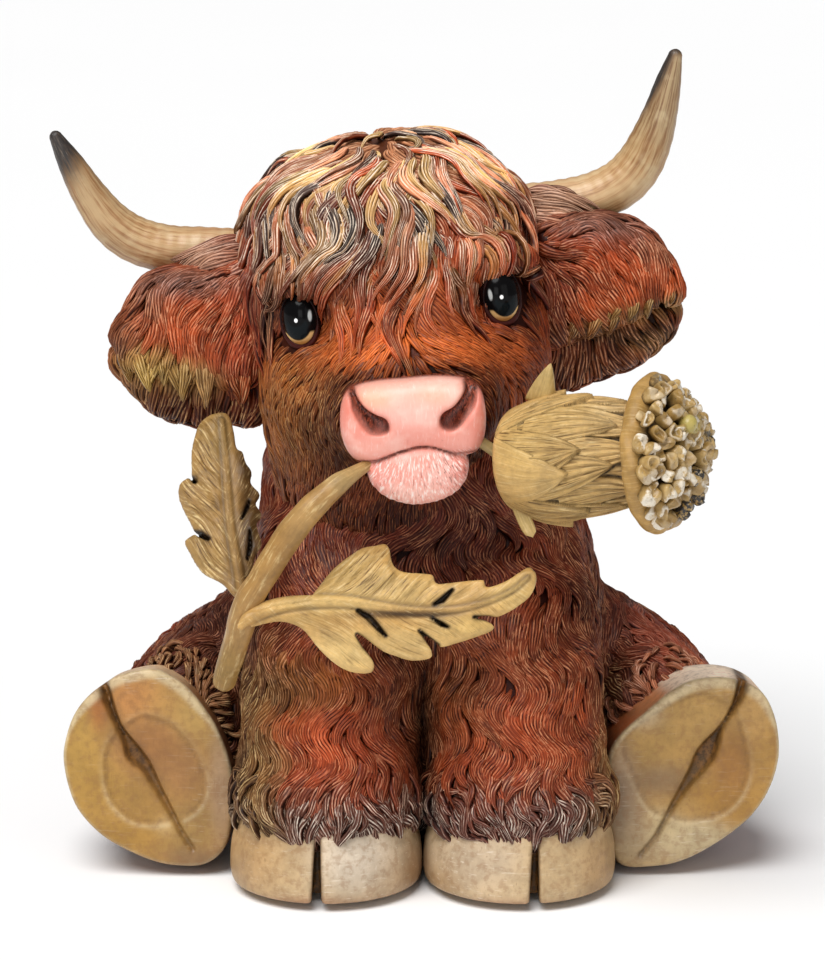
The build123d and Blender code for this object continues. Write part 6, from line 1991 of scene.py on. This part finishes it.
# the flower head: a cup of overlapping bracts
turn_, rise_ = math.radians(24.0), math.radians(6.0)
BA = np.array([math.cos(turn_) * math.cos(rise_), -math.sin(turn_) * math.cos(rise_), math.sin(rise_)])
BO = np.array([17.8, -46.8, 86.7])
BS = unit(np.cross([0, 0, 1.0], BA))
BU = np.cross(BA, BS)
CUP = np.array([(1.0, 1.2), (1.1, 6.9), (2.0, 9.2), (4.4, 10.4), (9.0, 11.5), (14.0, 11.6), (19.5, 10.9), (24.5, 9.5), (28.5, 8.5), (30.5, 8.2)])
nt, na = 230, 420
tt = np.linspace(1.0, 30.5, nt)
prof = open_curve(CUP, 400)
rr = np.interp(tt, prof[:, 0], prof[:, 1])
phi = np.linspace(0, 2 * math.pi, na, endpoint=False)
T_, PH = np.meshgrid(tt, phi, indexing="ij")
RR = np.repeat(rr[:, None], na, 1)
high = np.zeros_like(RR)
edge_w = np.zeros_like(RR)
own = np.zeros_like(RR)
g = np.random.default_rng(505)
across = PH * 11.0
smooth_b = np.zeros_like(RR)
rib_w = np.zeros_like(RR)
ROWS = ((4, -6.0, 13.2, 7.8, 4.68), (5, 1.0, 20.2, 6.6, 4.98), (7, 8.0, 26.0, 5.0, 4.60), (9, 14.5, 31.0, 4.0, 4.85))
for row, (count, t0, t1, half, turn0) in enumerate(ROWS):
    for k in range(count):
        p0 = turn0 + 2 * math.pi * (k + (0.20 * (g.random() - 0.5) if k else 0)) / count
        t1k = t1 + (1.8 * (g.random() - 0.5) if k else (4.6 if row == 0 else 0))
        tau = (T_ - t0) / (t1k - t0)
        dphi = (PH - p0 + math.pi) % (2 * math.pi) - math.pi
        x_ = dphi * RR + 0.9 * np.sin(tau * 2.4 + 1.7 * k + row)
        lim = half * np.clip(1 - np.clip(tau, 0, 1) ** 2.2, 0, 1) ** 0.9 + 0.02
        inside = lim - np.abs(x_)
        tc = np.clip(tau, 0, 1)
        on = smooth(inside, -0.10, 0.22) * (tau > 0) * (tau < 1.0)
        level = (0.25 + 1.75 * tc ** 1.8) * on
        rel = np.clip(x_ / lim, -1, 1)
        level = level - 0.35 * rel ** 2 * on * smooth(tau, 0.3, 0.6) + 0.28 * np.exp(-(x_ / 0.5) ** 2) * on * (row == 0) * smooth(tau, 0.5, 0.8)
        ribs = np.cos(rel * math.pi * 4.5 + k) * smooth(tau, 0.15, 0.5) * smooth(tau, 1.0, 0.92) * on
        level = level + (0.20 if row else 0.03) * ribs
        m = (level > high) & (on > 0.3)
        edge_w = np.where(m, 0, edge_w)
        across = np.where(m, rel * half * 1.1, across)
        own = np.where(m, p0 * 7 + row * 13, own)
        smooth_b = np.where(m, 1.0 if row == 0 else 0.0, smooth_b)
        rib_w = np.where(m, smooth(ribs, -0.2, -0.95) * (0.26 if row else 0.08), rib_w)
        high = np.maximum(high, level)
        skirt = np.exp(-((inside + 0.25) / 0.34) ** 2) * (tau > 0.3) * (tau < 1.05) * (on < 0.5)
        gap = smooth((0.25 + 1.75 * tc ** 1.8) - high, 0.15, 0.7)
        edge_w = np.maximum(edge_w, skirt * gap)
RR = RR + high * 0.95 - 0.75
droop = (-0.7 * np.exp(-((T_ - 9.0) / 10.0) ** 2))[..., None] * np.array([0, 0, 1.0])
P = (BO + T_[..., None] * BA + (RR * np.cos(PH))[..., None] * BU + (RR * np.sin(PH))[..., None] * BS + droop).reshape(-1, 3)
P = np.concatenate([P, [BO + 0.9 * BA], [BO + 30.5 * BA]])
i, j = np.arange(nt - 1)[:, None] * na, np.arange(na)[None]
quads = np.stack(np.broadcast_arrays(i + j, i + na + j, i + na + (j + 1) % na, i + (j + 1) % na), -1).reshape(-1, 4)
k = np.arange(na)
tris = np.concatenate([np.stack([np.full(na, nt * na), k, (k + 1) % na], 1),
                       np.stack([np.full(na, nt * na + 1), (nt - 1) * na + (k + 1) % na, (nt - 1) * na + k], 1)])
BULB_SPOTS = [(520, 450, 24, 26, rgb("bf9f60"), 1.0), (560, 420, 26, 16, rgb("bb9b5e"), 1.0), (590, 440, 26, 22, rgb("bfa066"), 1.0),
              (560, 490, 30, 20, rgb("b2945a"), 1.0), (600, 500, 26, 14, rgb("a5864e"), 1.0), (540, 510, 24, 10, rgb("9a7b44"), 1.0),
              (610, 415, 16, 10, rgb("c8ab74"), 1.0)]
px, py = to_image(P)
flat = lambda a: np.concatenate([a.reshape(-1), [0.0, 0.0]])
colb = blobs(px, py, KHAKI, BULB_SPOTS, 0.2) * np.array([1.12, 1.08, 1.08])
mesh_piece("thistle_cup", P, [quads, tris], sprig, replaces="thistle_bulb",
           attrs=dict(col=colb, st=np.stack([flat(across), flat(T_), flat(own)], 1),
                      mx=np.stack([np.clip(np.maximum(flat(edge_w) * 0.95, flat(rib_w)), 0, 1), flat(1.0 - 0.85 * smooth_b), flat(1.0 - 0.4 * smooth_b)], 1)))


def spike(base, tip, half, flat_dir, bend=0.0, blunt=False):
    """a pointed bract that stands off the cup"""
    base, tip = np.asarray(base, float), np.asarray(tip, float)
    axis = unit(tip - base)
    L = np.linalg.norm(tip - base)
    wide = unit(flat_dir - axis * (flat_dir @ axis))
    deep = np.cross(axis, wide)
    K, A = 16, 20
    th = np.linspace(0, 2 * math.pi, A, endpoint=False)
    rows, S = [], []
    for t in np.linspace(0, 1, K):
        w = half * ((0.62 + 0.38 * t) * (1 - t ** 9) ** 0.5 if blunt else (1 - t ** 1.5) ** 0.9) + 0.16
        c = base + axis * L * t + deep * bend * t * t
        rows.append(c + (np.cos(th) * w)[:, None] * wide + (np.sin(th) * w * (0.38 + 0.1 * t) + 0.1 * np.cos(3 * th) * w)[:, None] * deep)
        S.append(np.stack([np.cos(th) * w, np.full(A, L * t), np.full(A, 5.0)], 1))
    V = np.concatenate(rows + [rows[0].mean(0)[None], rows[-1].mean(0)[None] + axis * 0.15])
    S = np.concatenate(S + [[[0, 0, 5.0]], [[0, L, 5.0]]])
    i, j = np.arange(K - 1)[:, None] * A, np.arange(A)[None]
    q = np.stack(np.broadcast_arrays(i + j, i + (j + 1) % A, i + A + (j + 1) % A, i + A + j), -1).reshape(-1, 4)
    k = np.arange(A)
    t = np.concatenate([np.stack([np.full(A, K * A), (k + 1) % A, k], 1), np.stack([np.full(A, K * A + 1), (K - 1) * A + k, (K - 1) * A + (k + 1) % A], 1)])
    return V, q, t, {"st": S}


bag = Bag()


def cup_point(ang, t, r):
    a = math.radians(ang)
    return BO + BA * t + (BU * math.cos(a) + BS * math.sin(a)) * r


top_tip = from_image(550, 365, -52.5)[0]
low_tip = from_image(531, 538, -54.0)[0]
low_root = from_image(508, 482, -52.8)[0]
for base, tip, half, fd, bend, blunt in (
        (cup_point(8, 8.0, 10.0), top_tip, 2.7, BA, 0.4, False), (low_root, low_tip, 1.55, BA + 0.3 * BU, -0.8, True),
        (cup_point(64, 4.5, 8.0), cup_point(70, 2.0, 13.6), 2.3, BA, 0.3, False),
        (cup_point(128, 6.0, 9.0), cup_point(128, 4.0, 14.4), 2.2, BA, 0.3, False)):
    bag.add(*spike(base, tip, half, fd, bend, blunt))
bag.piece("thistle_spines", sprig, lambda v: dict(
    col=blobs(*to_image(v), KHAKI, [(545, 385, 20, 20, rgb("c6aa6c"), 1.0), (525, 520, 20, 20, rgb("c2a566"), 1.0)], 0.3),
    mx=np.stack([0.05 + 0 * v[:, 0], 0.25 + 0 * v[:, 0], 0.8 + 0 * v[:, 0]], 1)))

# stalk between the mouth and the cup
mouth_b = head_to_layout([9.0, -46.8, -24.7])[0]
v, f, s, a = tube([head_to_layout([6.5, -47.0, -24.8])[0], mouth_b, mouth_b + np.array([2.6, -0.4, 0.3]), BO + BA * 1.0 - BU * 0.6, BO + BA * 3.0 - BU * 0.6],
                  [1.0, 1.0, 1.05, 1.15, 1.3], 28, 8)
mesh_piece("stalk", v, f, sprig, attrs=dict(col=np.ones((len(v), 1)) * rgb("ad9663"), st=np.stack([np.cos(a), s, s * 0], 1),
                                            mx=np.stack([0.1 + 0 * s, 0.2 + 0 * s, 0.4 + 0 * s], 1)))

# rim and floret knobs
RIM = np.array([(28.8, 6.0), (28.7, 10.7), (29.2, 13.7), (30.5, 14.8), (32.2, 14.5), (33.2, 13.4), (34.4, 11.8), (35.9, 8.8), (36.6, 5.0), (36.8, 0.6)])
rimc = open_curve(RIM, 90)
na = 160
phi = np.linspace(0, 2 * math.pi, na, endpoint=False)
lobes = 0.35 * np.sin(phi * 7 + 0.6) + 0.22 * np.sin(phi * 13 + 2.0) + 0.15 * np.sin(phi * 23)
rimr = rimc[:, 1][:, None] * np.ones(na) + lobes[None] * smooth(rimc[:, 1], 9, 14.5)[:, None] * smooth(rimc[:, 0], 29, 32)[:, None]
rimt = rimc[:, 0][:, None] * np.ones(na) + 0.3 * lobes[None] * smooth(rimc[:, 1], 6, 14)[:, None]
P = (BO + rimt[..., None] * BA + (rimr * np.cos(phi))[..., None] * BU + (rimr * np.sin(phi))[..., None] * BS).reshape(-1, 3)
m = len(rimc)
P = np.concatenate([P, [BO + 28.9 * BA], [BO + 36.8 * BA]])
i, j = np.arange(m - 1)[:, None] * na, np.arange(na)[None]
quads = np.stack(np.broadcast_arrays(i + j, i + na + j, i + na + (j + 1) % na, i + (j + 1) % na), -1).reshape(-1, 4)
k = np.arange(na)
tris = np.concatenate([np.stack([np.full(na, m * na), k, (k + 1) % na], 1),
                       np.stack([np.full(na, m * na + 1), (m - 1) * na + (k + 1) % na, (m - 1) * na + k], 1)])


def floret_material():
    """khaki knobs with chalk-white tips and near-black paint between them"""
    M = Mat("painted_florets")
    tip, rnd, warm = M.split(M.attr("lk"))
    at = M.where()
    cloud = M.noise(at, 260.0, 3.0, 0.6)
    mott = M.noise(at, 1400.0, 3.0, 0.65)
    base = M.mix(M.range(cloud, 0.35, 0.68), tuple(rgb("98773f")) + (1,), tuple(rgb("bd9e66")) + (1,))
    base = M.mix(M.math("MULTIPLY", warm, 0.62, clamp=True), base, tuple(rgb("b3a857")) + (1,))
    low = M.range(M.math("ADD", tip, M.math("MULTIPLY", M.math("SUBTRACT", mott, 0.5), 0.3)), 0.62, 0.22)
    base = M.mix(low, base, tuple(rgb("2e2112")) + (1,))
    cap = M.math("ADD", tip, M.math("MULTIPLY", M.math("SUBTRACT", mott, 0.5), 0.55))
    cap = M.math("MULTIPLY", M.range(cap, 0.80, 1.02), M.range(rnd, 0.15, 0.6, 0.15, 0.95))
    base = M.mix(cap, base, tuple(rgb("e2d8c6")) + (1,))
    speck = M.math("MULTIPLY", M.range(mott, 0.66, 0.76), 0.6)
    sooty = M.math("MULTIPLY", M.range(warm, -0.15, -0.7), M.range(mott, 0.38, 0.52))
    base = M.mix(M.math("MAXIMUM", speck, sooty), base, tuple(rgb("2a2521")) + (1,))
    return M.set(Base_Color=base, Roughness=M.range(mott, 0.2, 0.8, 0.24, 0.46), Normal=M.bump(mott, 0.45, 0.2),
                 Specular_IOR_Level=0.55)


florets = floret_material()
rim_col = np.ones((len(P), 1)) * rgb("ab8549")
hollow = smooth(np.concatenate([rimt.reshape(-1), [28.9, 36.8]]), 32.6, 34.4)
mesh_piece("floret_rim", P, [quads, tris], sprig, replaces="thistle_florets",
           attrs=dict(col=rim_col, st=np.stack([flat(np.broadcast_to(phi * 15.0, rimr.shape)), flat(rimt), flat(rimt * 0)], 1),
                      mx=np.stack([hollow * 0.95, 0.10 + 0 * hollow, 0.25 + 0 * hollow], 1)))
bag = Bag()
g = np.random.default_rng(606)
count = 92
dome = rimc[np.argmax(rimc[:, 1]):][::-1]
edge_count = 19                       # the outermost ones lie over the inner edge of the rim
for k in range(count + edge_count):
    fr = (k + 0.4) / count
    rad = 13.0 * math.sqrt(fr)
    ang = k * 2.399963
    rad = rad + 0.6 * (g.random() - 0.5)
    outer = k >= count
    if outer:
        rad, ang = 12.6 + 0.5 * g.random(), 2 * math.pi * (k - count + 0.4 * g.random()) / edge_count
    t = float(np.interp(rad, dome[:, 1], dome[:, 0]))
    lean = 0.95 + 0.3 * g.random() if outer else 0.08 + 0.060 * rad + 0.25 * (g.random() - 0.5)
    radial = BU * math.cos(ang) + BS * math.sin(ang)
    side = np.cross(BA, radial)
    axis = unit(BA * 1.0 + radial * lean + side * 0.5 * (g.random() - 0.5))
    foot = BO + BA * (t - 1.2) + radial * rad + np.array([0, 0, 0.2])
    L = 2.9 + 1.7 * g.random()
    R0 = 1.55 + 0.4 * g.random() if outer else 1.30 + 0.55 * g.random()
    L = L - 0.7 if outer else L
    squash = 0.55 + 0.40 * g.random()
    roll_ = g.random() * math.pi
    open_ = 0.5 + 0.5 * g.random()
    shut = g.random() < 0.62 or outer
    A = 16
    th = np.linspace(0, 2 * math.pi, A, endpoint=False)
    e1 = unit(np.cross(axis, [0.2, 0.3, 0.9]))
    e2 = np.cross(axis, e1)
    f1, f2 = e1 * math.cos(roll_) + e2 * math.sin(roll_), e2 * math.cos(roll_) - e1 * math.sin(roll_)
    hang = (g.random(2) - 0.5) * 1.3
    # squarish petal tube, its end turned in like a small cup
    boxy = 1.0 / (np.abs(np.cos(th)) ** 3.2 + np.abs(np.sin(th)) ** 3.2) ** (1 / 3.2)
    lip_ = 0.20 * np.sin(2 * th + k) + 0.14 * np.sin(3 * th + 2.1 * k)
    ends = [(1.0, 0.80, 1.0), (1.03, 0.56, 1.0), (1.04, 0.34, 1.0), (1.045, 0.16, 1.0)] if shut else [
        (1.0, 0.88, 1.0), (0.99, 0.74, 1.0), (0.95 - 0.05 * open_, 0.60, 0.80), (0.92 - 0.14 * open_, 0.38, 0.62)]
    rings = [(0.0, 0.72, 0.0), (0.2, 0.80, 0.2), (0.4, 0.90, 0.4), (0.6, 0.99, 0.6), (0.78, 1.04, 0.78), (0.90, 1.05, 0.90), (0.97, 0.97, 0.97)] + ends
    rows, lk = [], []
    for s_, r_, tone in rings:
        r = R0 * r_ * boxy * (1 + 0.08 * np.sin(3 * th + 2 * k))
        c = foot + axis * L * s_ + (e1 * hang[0] + e2 * hang[1]) * s_ * s_
        rise = (lip_ * R0 * smooth(np.array(s_), 0.4, 1.0))[:, None] * axis
        rows.append(c + (np.cos(th) * r)[:, None] * f1 + (np.sin(th) * r * squash)[:, None] * f2 + rise)
        lk.append(np.full(A, tone))
    K = len(rows)
    V = np.concatenate(rows + [rows[0].mean(0)[None], rows[-1].mean(0)[None] - axis * 0.05])
    lk = np.concatenate(lk + [[0.0], [1.0 if shut else 0.5]])
    # the white sits on one side of each knob, turned at random
    give = np.concatenate([np.tile(smooth(np.cos(th - g.random() * 6.28), -0.9, 0.6), K), [0.5, 0.8]])
    lk = lk - 0.22 * (1 - give) * (lk > 0.8)
    i, j = np.arange(K - 1)[:, None] * A, np.arange(A)[None]
    q = np.stack(np.broadcast_arrays(i + j, i + (j + 1) % A, i + A + (j + 1) % A, i + A + j), -1).reshape(-1, 4)
    kk = np.arange(A)
    t3 = np.concatenate([np.stack([np.full(A, K * A), (kk + 1) % A, kk], 1),
                         np.stack([np.full(A, K * A + 1), (K - 1) * A + kk, (K - 1) * A + (kk + 1) % A], 1)])
    fx, fy = to_image((foot + axis * L)[None])
    if outer and fx[0] > 668:
        continue
    # near the two ends of the rim the petals stay inside the round of the flower head
    reach = np.interp(fy[0], (366, 376, 393, 410, 426, 441, 470, 493, 514, 529), (662, 670, 694, 698, 709, 714, 708, 704, 692, 677))
    if (fy[0] < 395 and fx[0] > reach - 6) or (fy[0] > 503 and fx[0] > reach - 1) or fx[0] > reach + 3:
        continue
    warm = math.exp(-((fx[0] - 690) / 9.0) ** 2 - ((fy[0] - 424) / 9.0) ** 2)
    soot = sum(math.exp(-(((fx[0] - x0) / 6.0) ** 2 + ((fy[0] - y0) / 7.0) ** 2))
               for x0, y0 in ((710, 440), (700, 474), (698, 500), (686, 518), (676, 524), (664, 378), (655, 505)))
    bag.add(V, q, t3, {"lk": np.stack([lk, np.full(len(V), g.random()), np.full(len(V), warm - min(1.0, soot))], 1)})
# one smooth round bud among them
ball_c = from_image(688, 424, 0.0)[0]
ball_n = unit(EYE - ball_c)
ball_t = ((BO + BA * 39.0 - EYE) @ BA) / (-ball_n @ BA)
ball_c = EYE - ball_n * ball_t
K, A = 14, 22
th = np.linspace(0, 2 * math.pi, A, endpoint=False)
rows = [ball_c + 1.75 * (math.cos(b_) * BA + math.sin(b_) * (np.cos(th)[:, None] * BU + np.sin(th)[:, None] * BS) * (1 + 0.05 * np.sin(2 * th)[:, None]))
        for b_ in np.linspace(math.pi * 0.97, math.pi * 0.03, K)]
V = np.concatenate(rows + [rows[0].mean(0)[None], rows[-1].mean(0)[None]])
i, j = np.arange(K - 1)[:, None] * A, np.arange(A)[None]
q = np.stack(np.broadcast_arrays(i + j, i + (j + 1) % A, i + A + (j + 1) % A, i + A + j), -1).reshape(-1, 4)
kk = np.arange(A)
t3 = np.concatenate([np.stack([np.full(A, K * A), (kk + 1) % A, kk], 1),
                     np.stack([np.full(A, K * A + 1), (K - 1) * A + kk, (K - 1) * A + (kk + 1) % A], 1)])
bag.add(V, q, t3, {"lk": np.stack([np.full(len(V), 0.7), np.zeros(len(V)), np.ones(len(V))], 1)})
bag.piece("floret_knobs", florets, lambda v: {})


# ------------------------------------------------------------------ finishes of the plain inner parts
def plain(name, light, dark, rough, grain=(900.0, 900.0, 900.0), strength=0.3, metal=0.0):
    M = Mat(name, Metallic=metal)
    at = M.where()
    g_ = M.noise(M.scaled(at, grain), 1.0, 3.0, 0.6, 0.3)
    fine_ = M.noise(at, 2600.0, 2.0, 0.6)
    base = M.mix(M.range(g_, 0.32, 0.68), tuple(rgb(dark)) + (1,), tuple(rgb(light)) + (1,))
    wear = M.math("MULTIPLY", M.range(fine_, 0.6, 0.75), 0.4)
    base = M.mix(wear, base, tuple(rgb(light)) + (1,))
    h = M.math("ADD", g_, M.math("MULTIPLY", fine_, 0.6))
    return M.set(Base_Color=base, Roughness=M.range(fine_, 0.2, 0.8, rough - 0.08, rough + 0.1), Normal=M.bump(h, strength, 0.12))


INNER = {
    "neck_dowel": plain("birch_dowel", "d9bd8c", "b08a55", 0.6, (260.0, 1900.0, 90.0), 0.4),
    "horn_pins": plain("steel_pin", "b9babb", "7d7e80", 0.32, (160.0, 2400.0, 2400.0), 0.2, 1.0),
    "base_plug": plain("black_rubber", "38383a", "1d1d1f", 0.72, (700.0, 700.0, 700.0), 0.5),
    "felt_pads": plain("wool_felt", "6f6a60", "3d3a34", 0.95, (1900.0, 1900.0, 1900.0), 0.9),
}
for key, mat in INNER.items():
    for node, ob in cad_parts.items():
        if node.split(".")[0] == key:
            for k in range(max(1, len(ob.material_slots))):
                if ob.material_slots:
                    ob.material_slots[k].material = mat
                else:
                    ob.data.materials.append(mat)

# ------------------------------------------------------------------ floor, light and camera
me = bpy.data.meshes.new("floor")
me.from_pydata([(-6, -6, 0), (6, -6, 0), (6, 10, 0), (-6, 10, 0)], [], [(0, 1, 2, 3)])
floor = bpy.data.objects.new("floor", me)
bpy.context.scene.collection.objects.link(floor)
M = Mat("pale_floor", Roughness=0.9, Specular_IOR_Level=0.1)
n = M.noise(M.where(), 3.0, 2.0, 0.5)
me.materials.append(M.set(Base_Color=M.mix(n, (0.945, 0.945, 0.945, 1), (0.965, 0.965, 0.965, 1))))

world = bpy.data.worlds.new("studio")
bpy.context.scene.world = world
world.use_nodes = True
world.node_tree.nodes["Background"].inputs[0].default_value = (1, 1, 1, 1)
world.node_tree.nodes["Background"].inputs[1].default_value = 0.22


def aimed(data, place, target):
    ob = bpy.data.objects.new(data.name, data)
    bpy.context.scene.collection.objects.link(ob)
    ob.location = place
    ob.rotation_euler = (Vector(target) - Vector(place)).to_track_quat("-Z", "Y").to_euler()
    return ob


sun = bpy.data.lights.new("key", "SUN")
sun.energy, sun.angle = 3.1, math.radians(40)
aimed(sun, (-0.32, -0.62, 1.15), (0, 0, 0.05))
for name, place, size, watts in (("fill", (0.75, -1.1, 0.45), 0.8, 1.6), ("front", (-0.25, -1.3, 0.40), 0.5, 1.8)):
    lamp = bpy.data.lights.new(name, "AREA")
    lamp.shape, lamp.size, lamp.energy = "SQUARE", size, watts
    aimed(lamp, place, (0, 0, 0.07))

cam = bpy.data.cameras.new("camera")
cam.sensor_fit, cam.sensor_width, cam.lens, cam.clip_start = "AUTO", 36.0, FOCAL_PX / 960 * 36, 0.05
cam_ob = bpy.data.objects.new("camera", cam)
bpy.context.scene.collection.objects.link(cam_ob)
cam_ob.location = Vector((EYE + SHIFT) / 1000)
cam_ob.rotation_euler = (math.radians(90) - ELEV, 0, 0)
bpy.context.scene.camera = cam_ob
bpy.context.scene.view_settings.view_transform = "Standard"
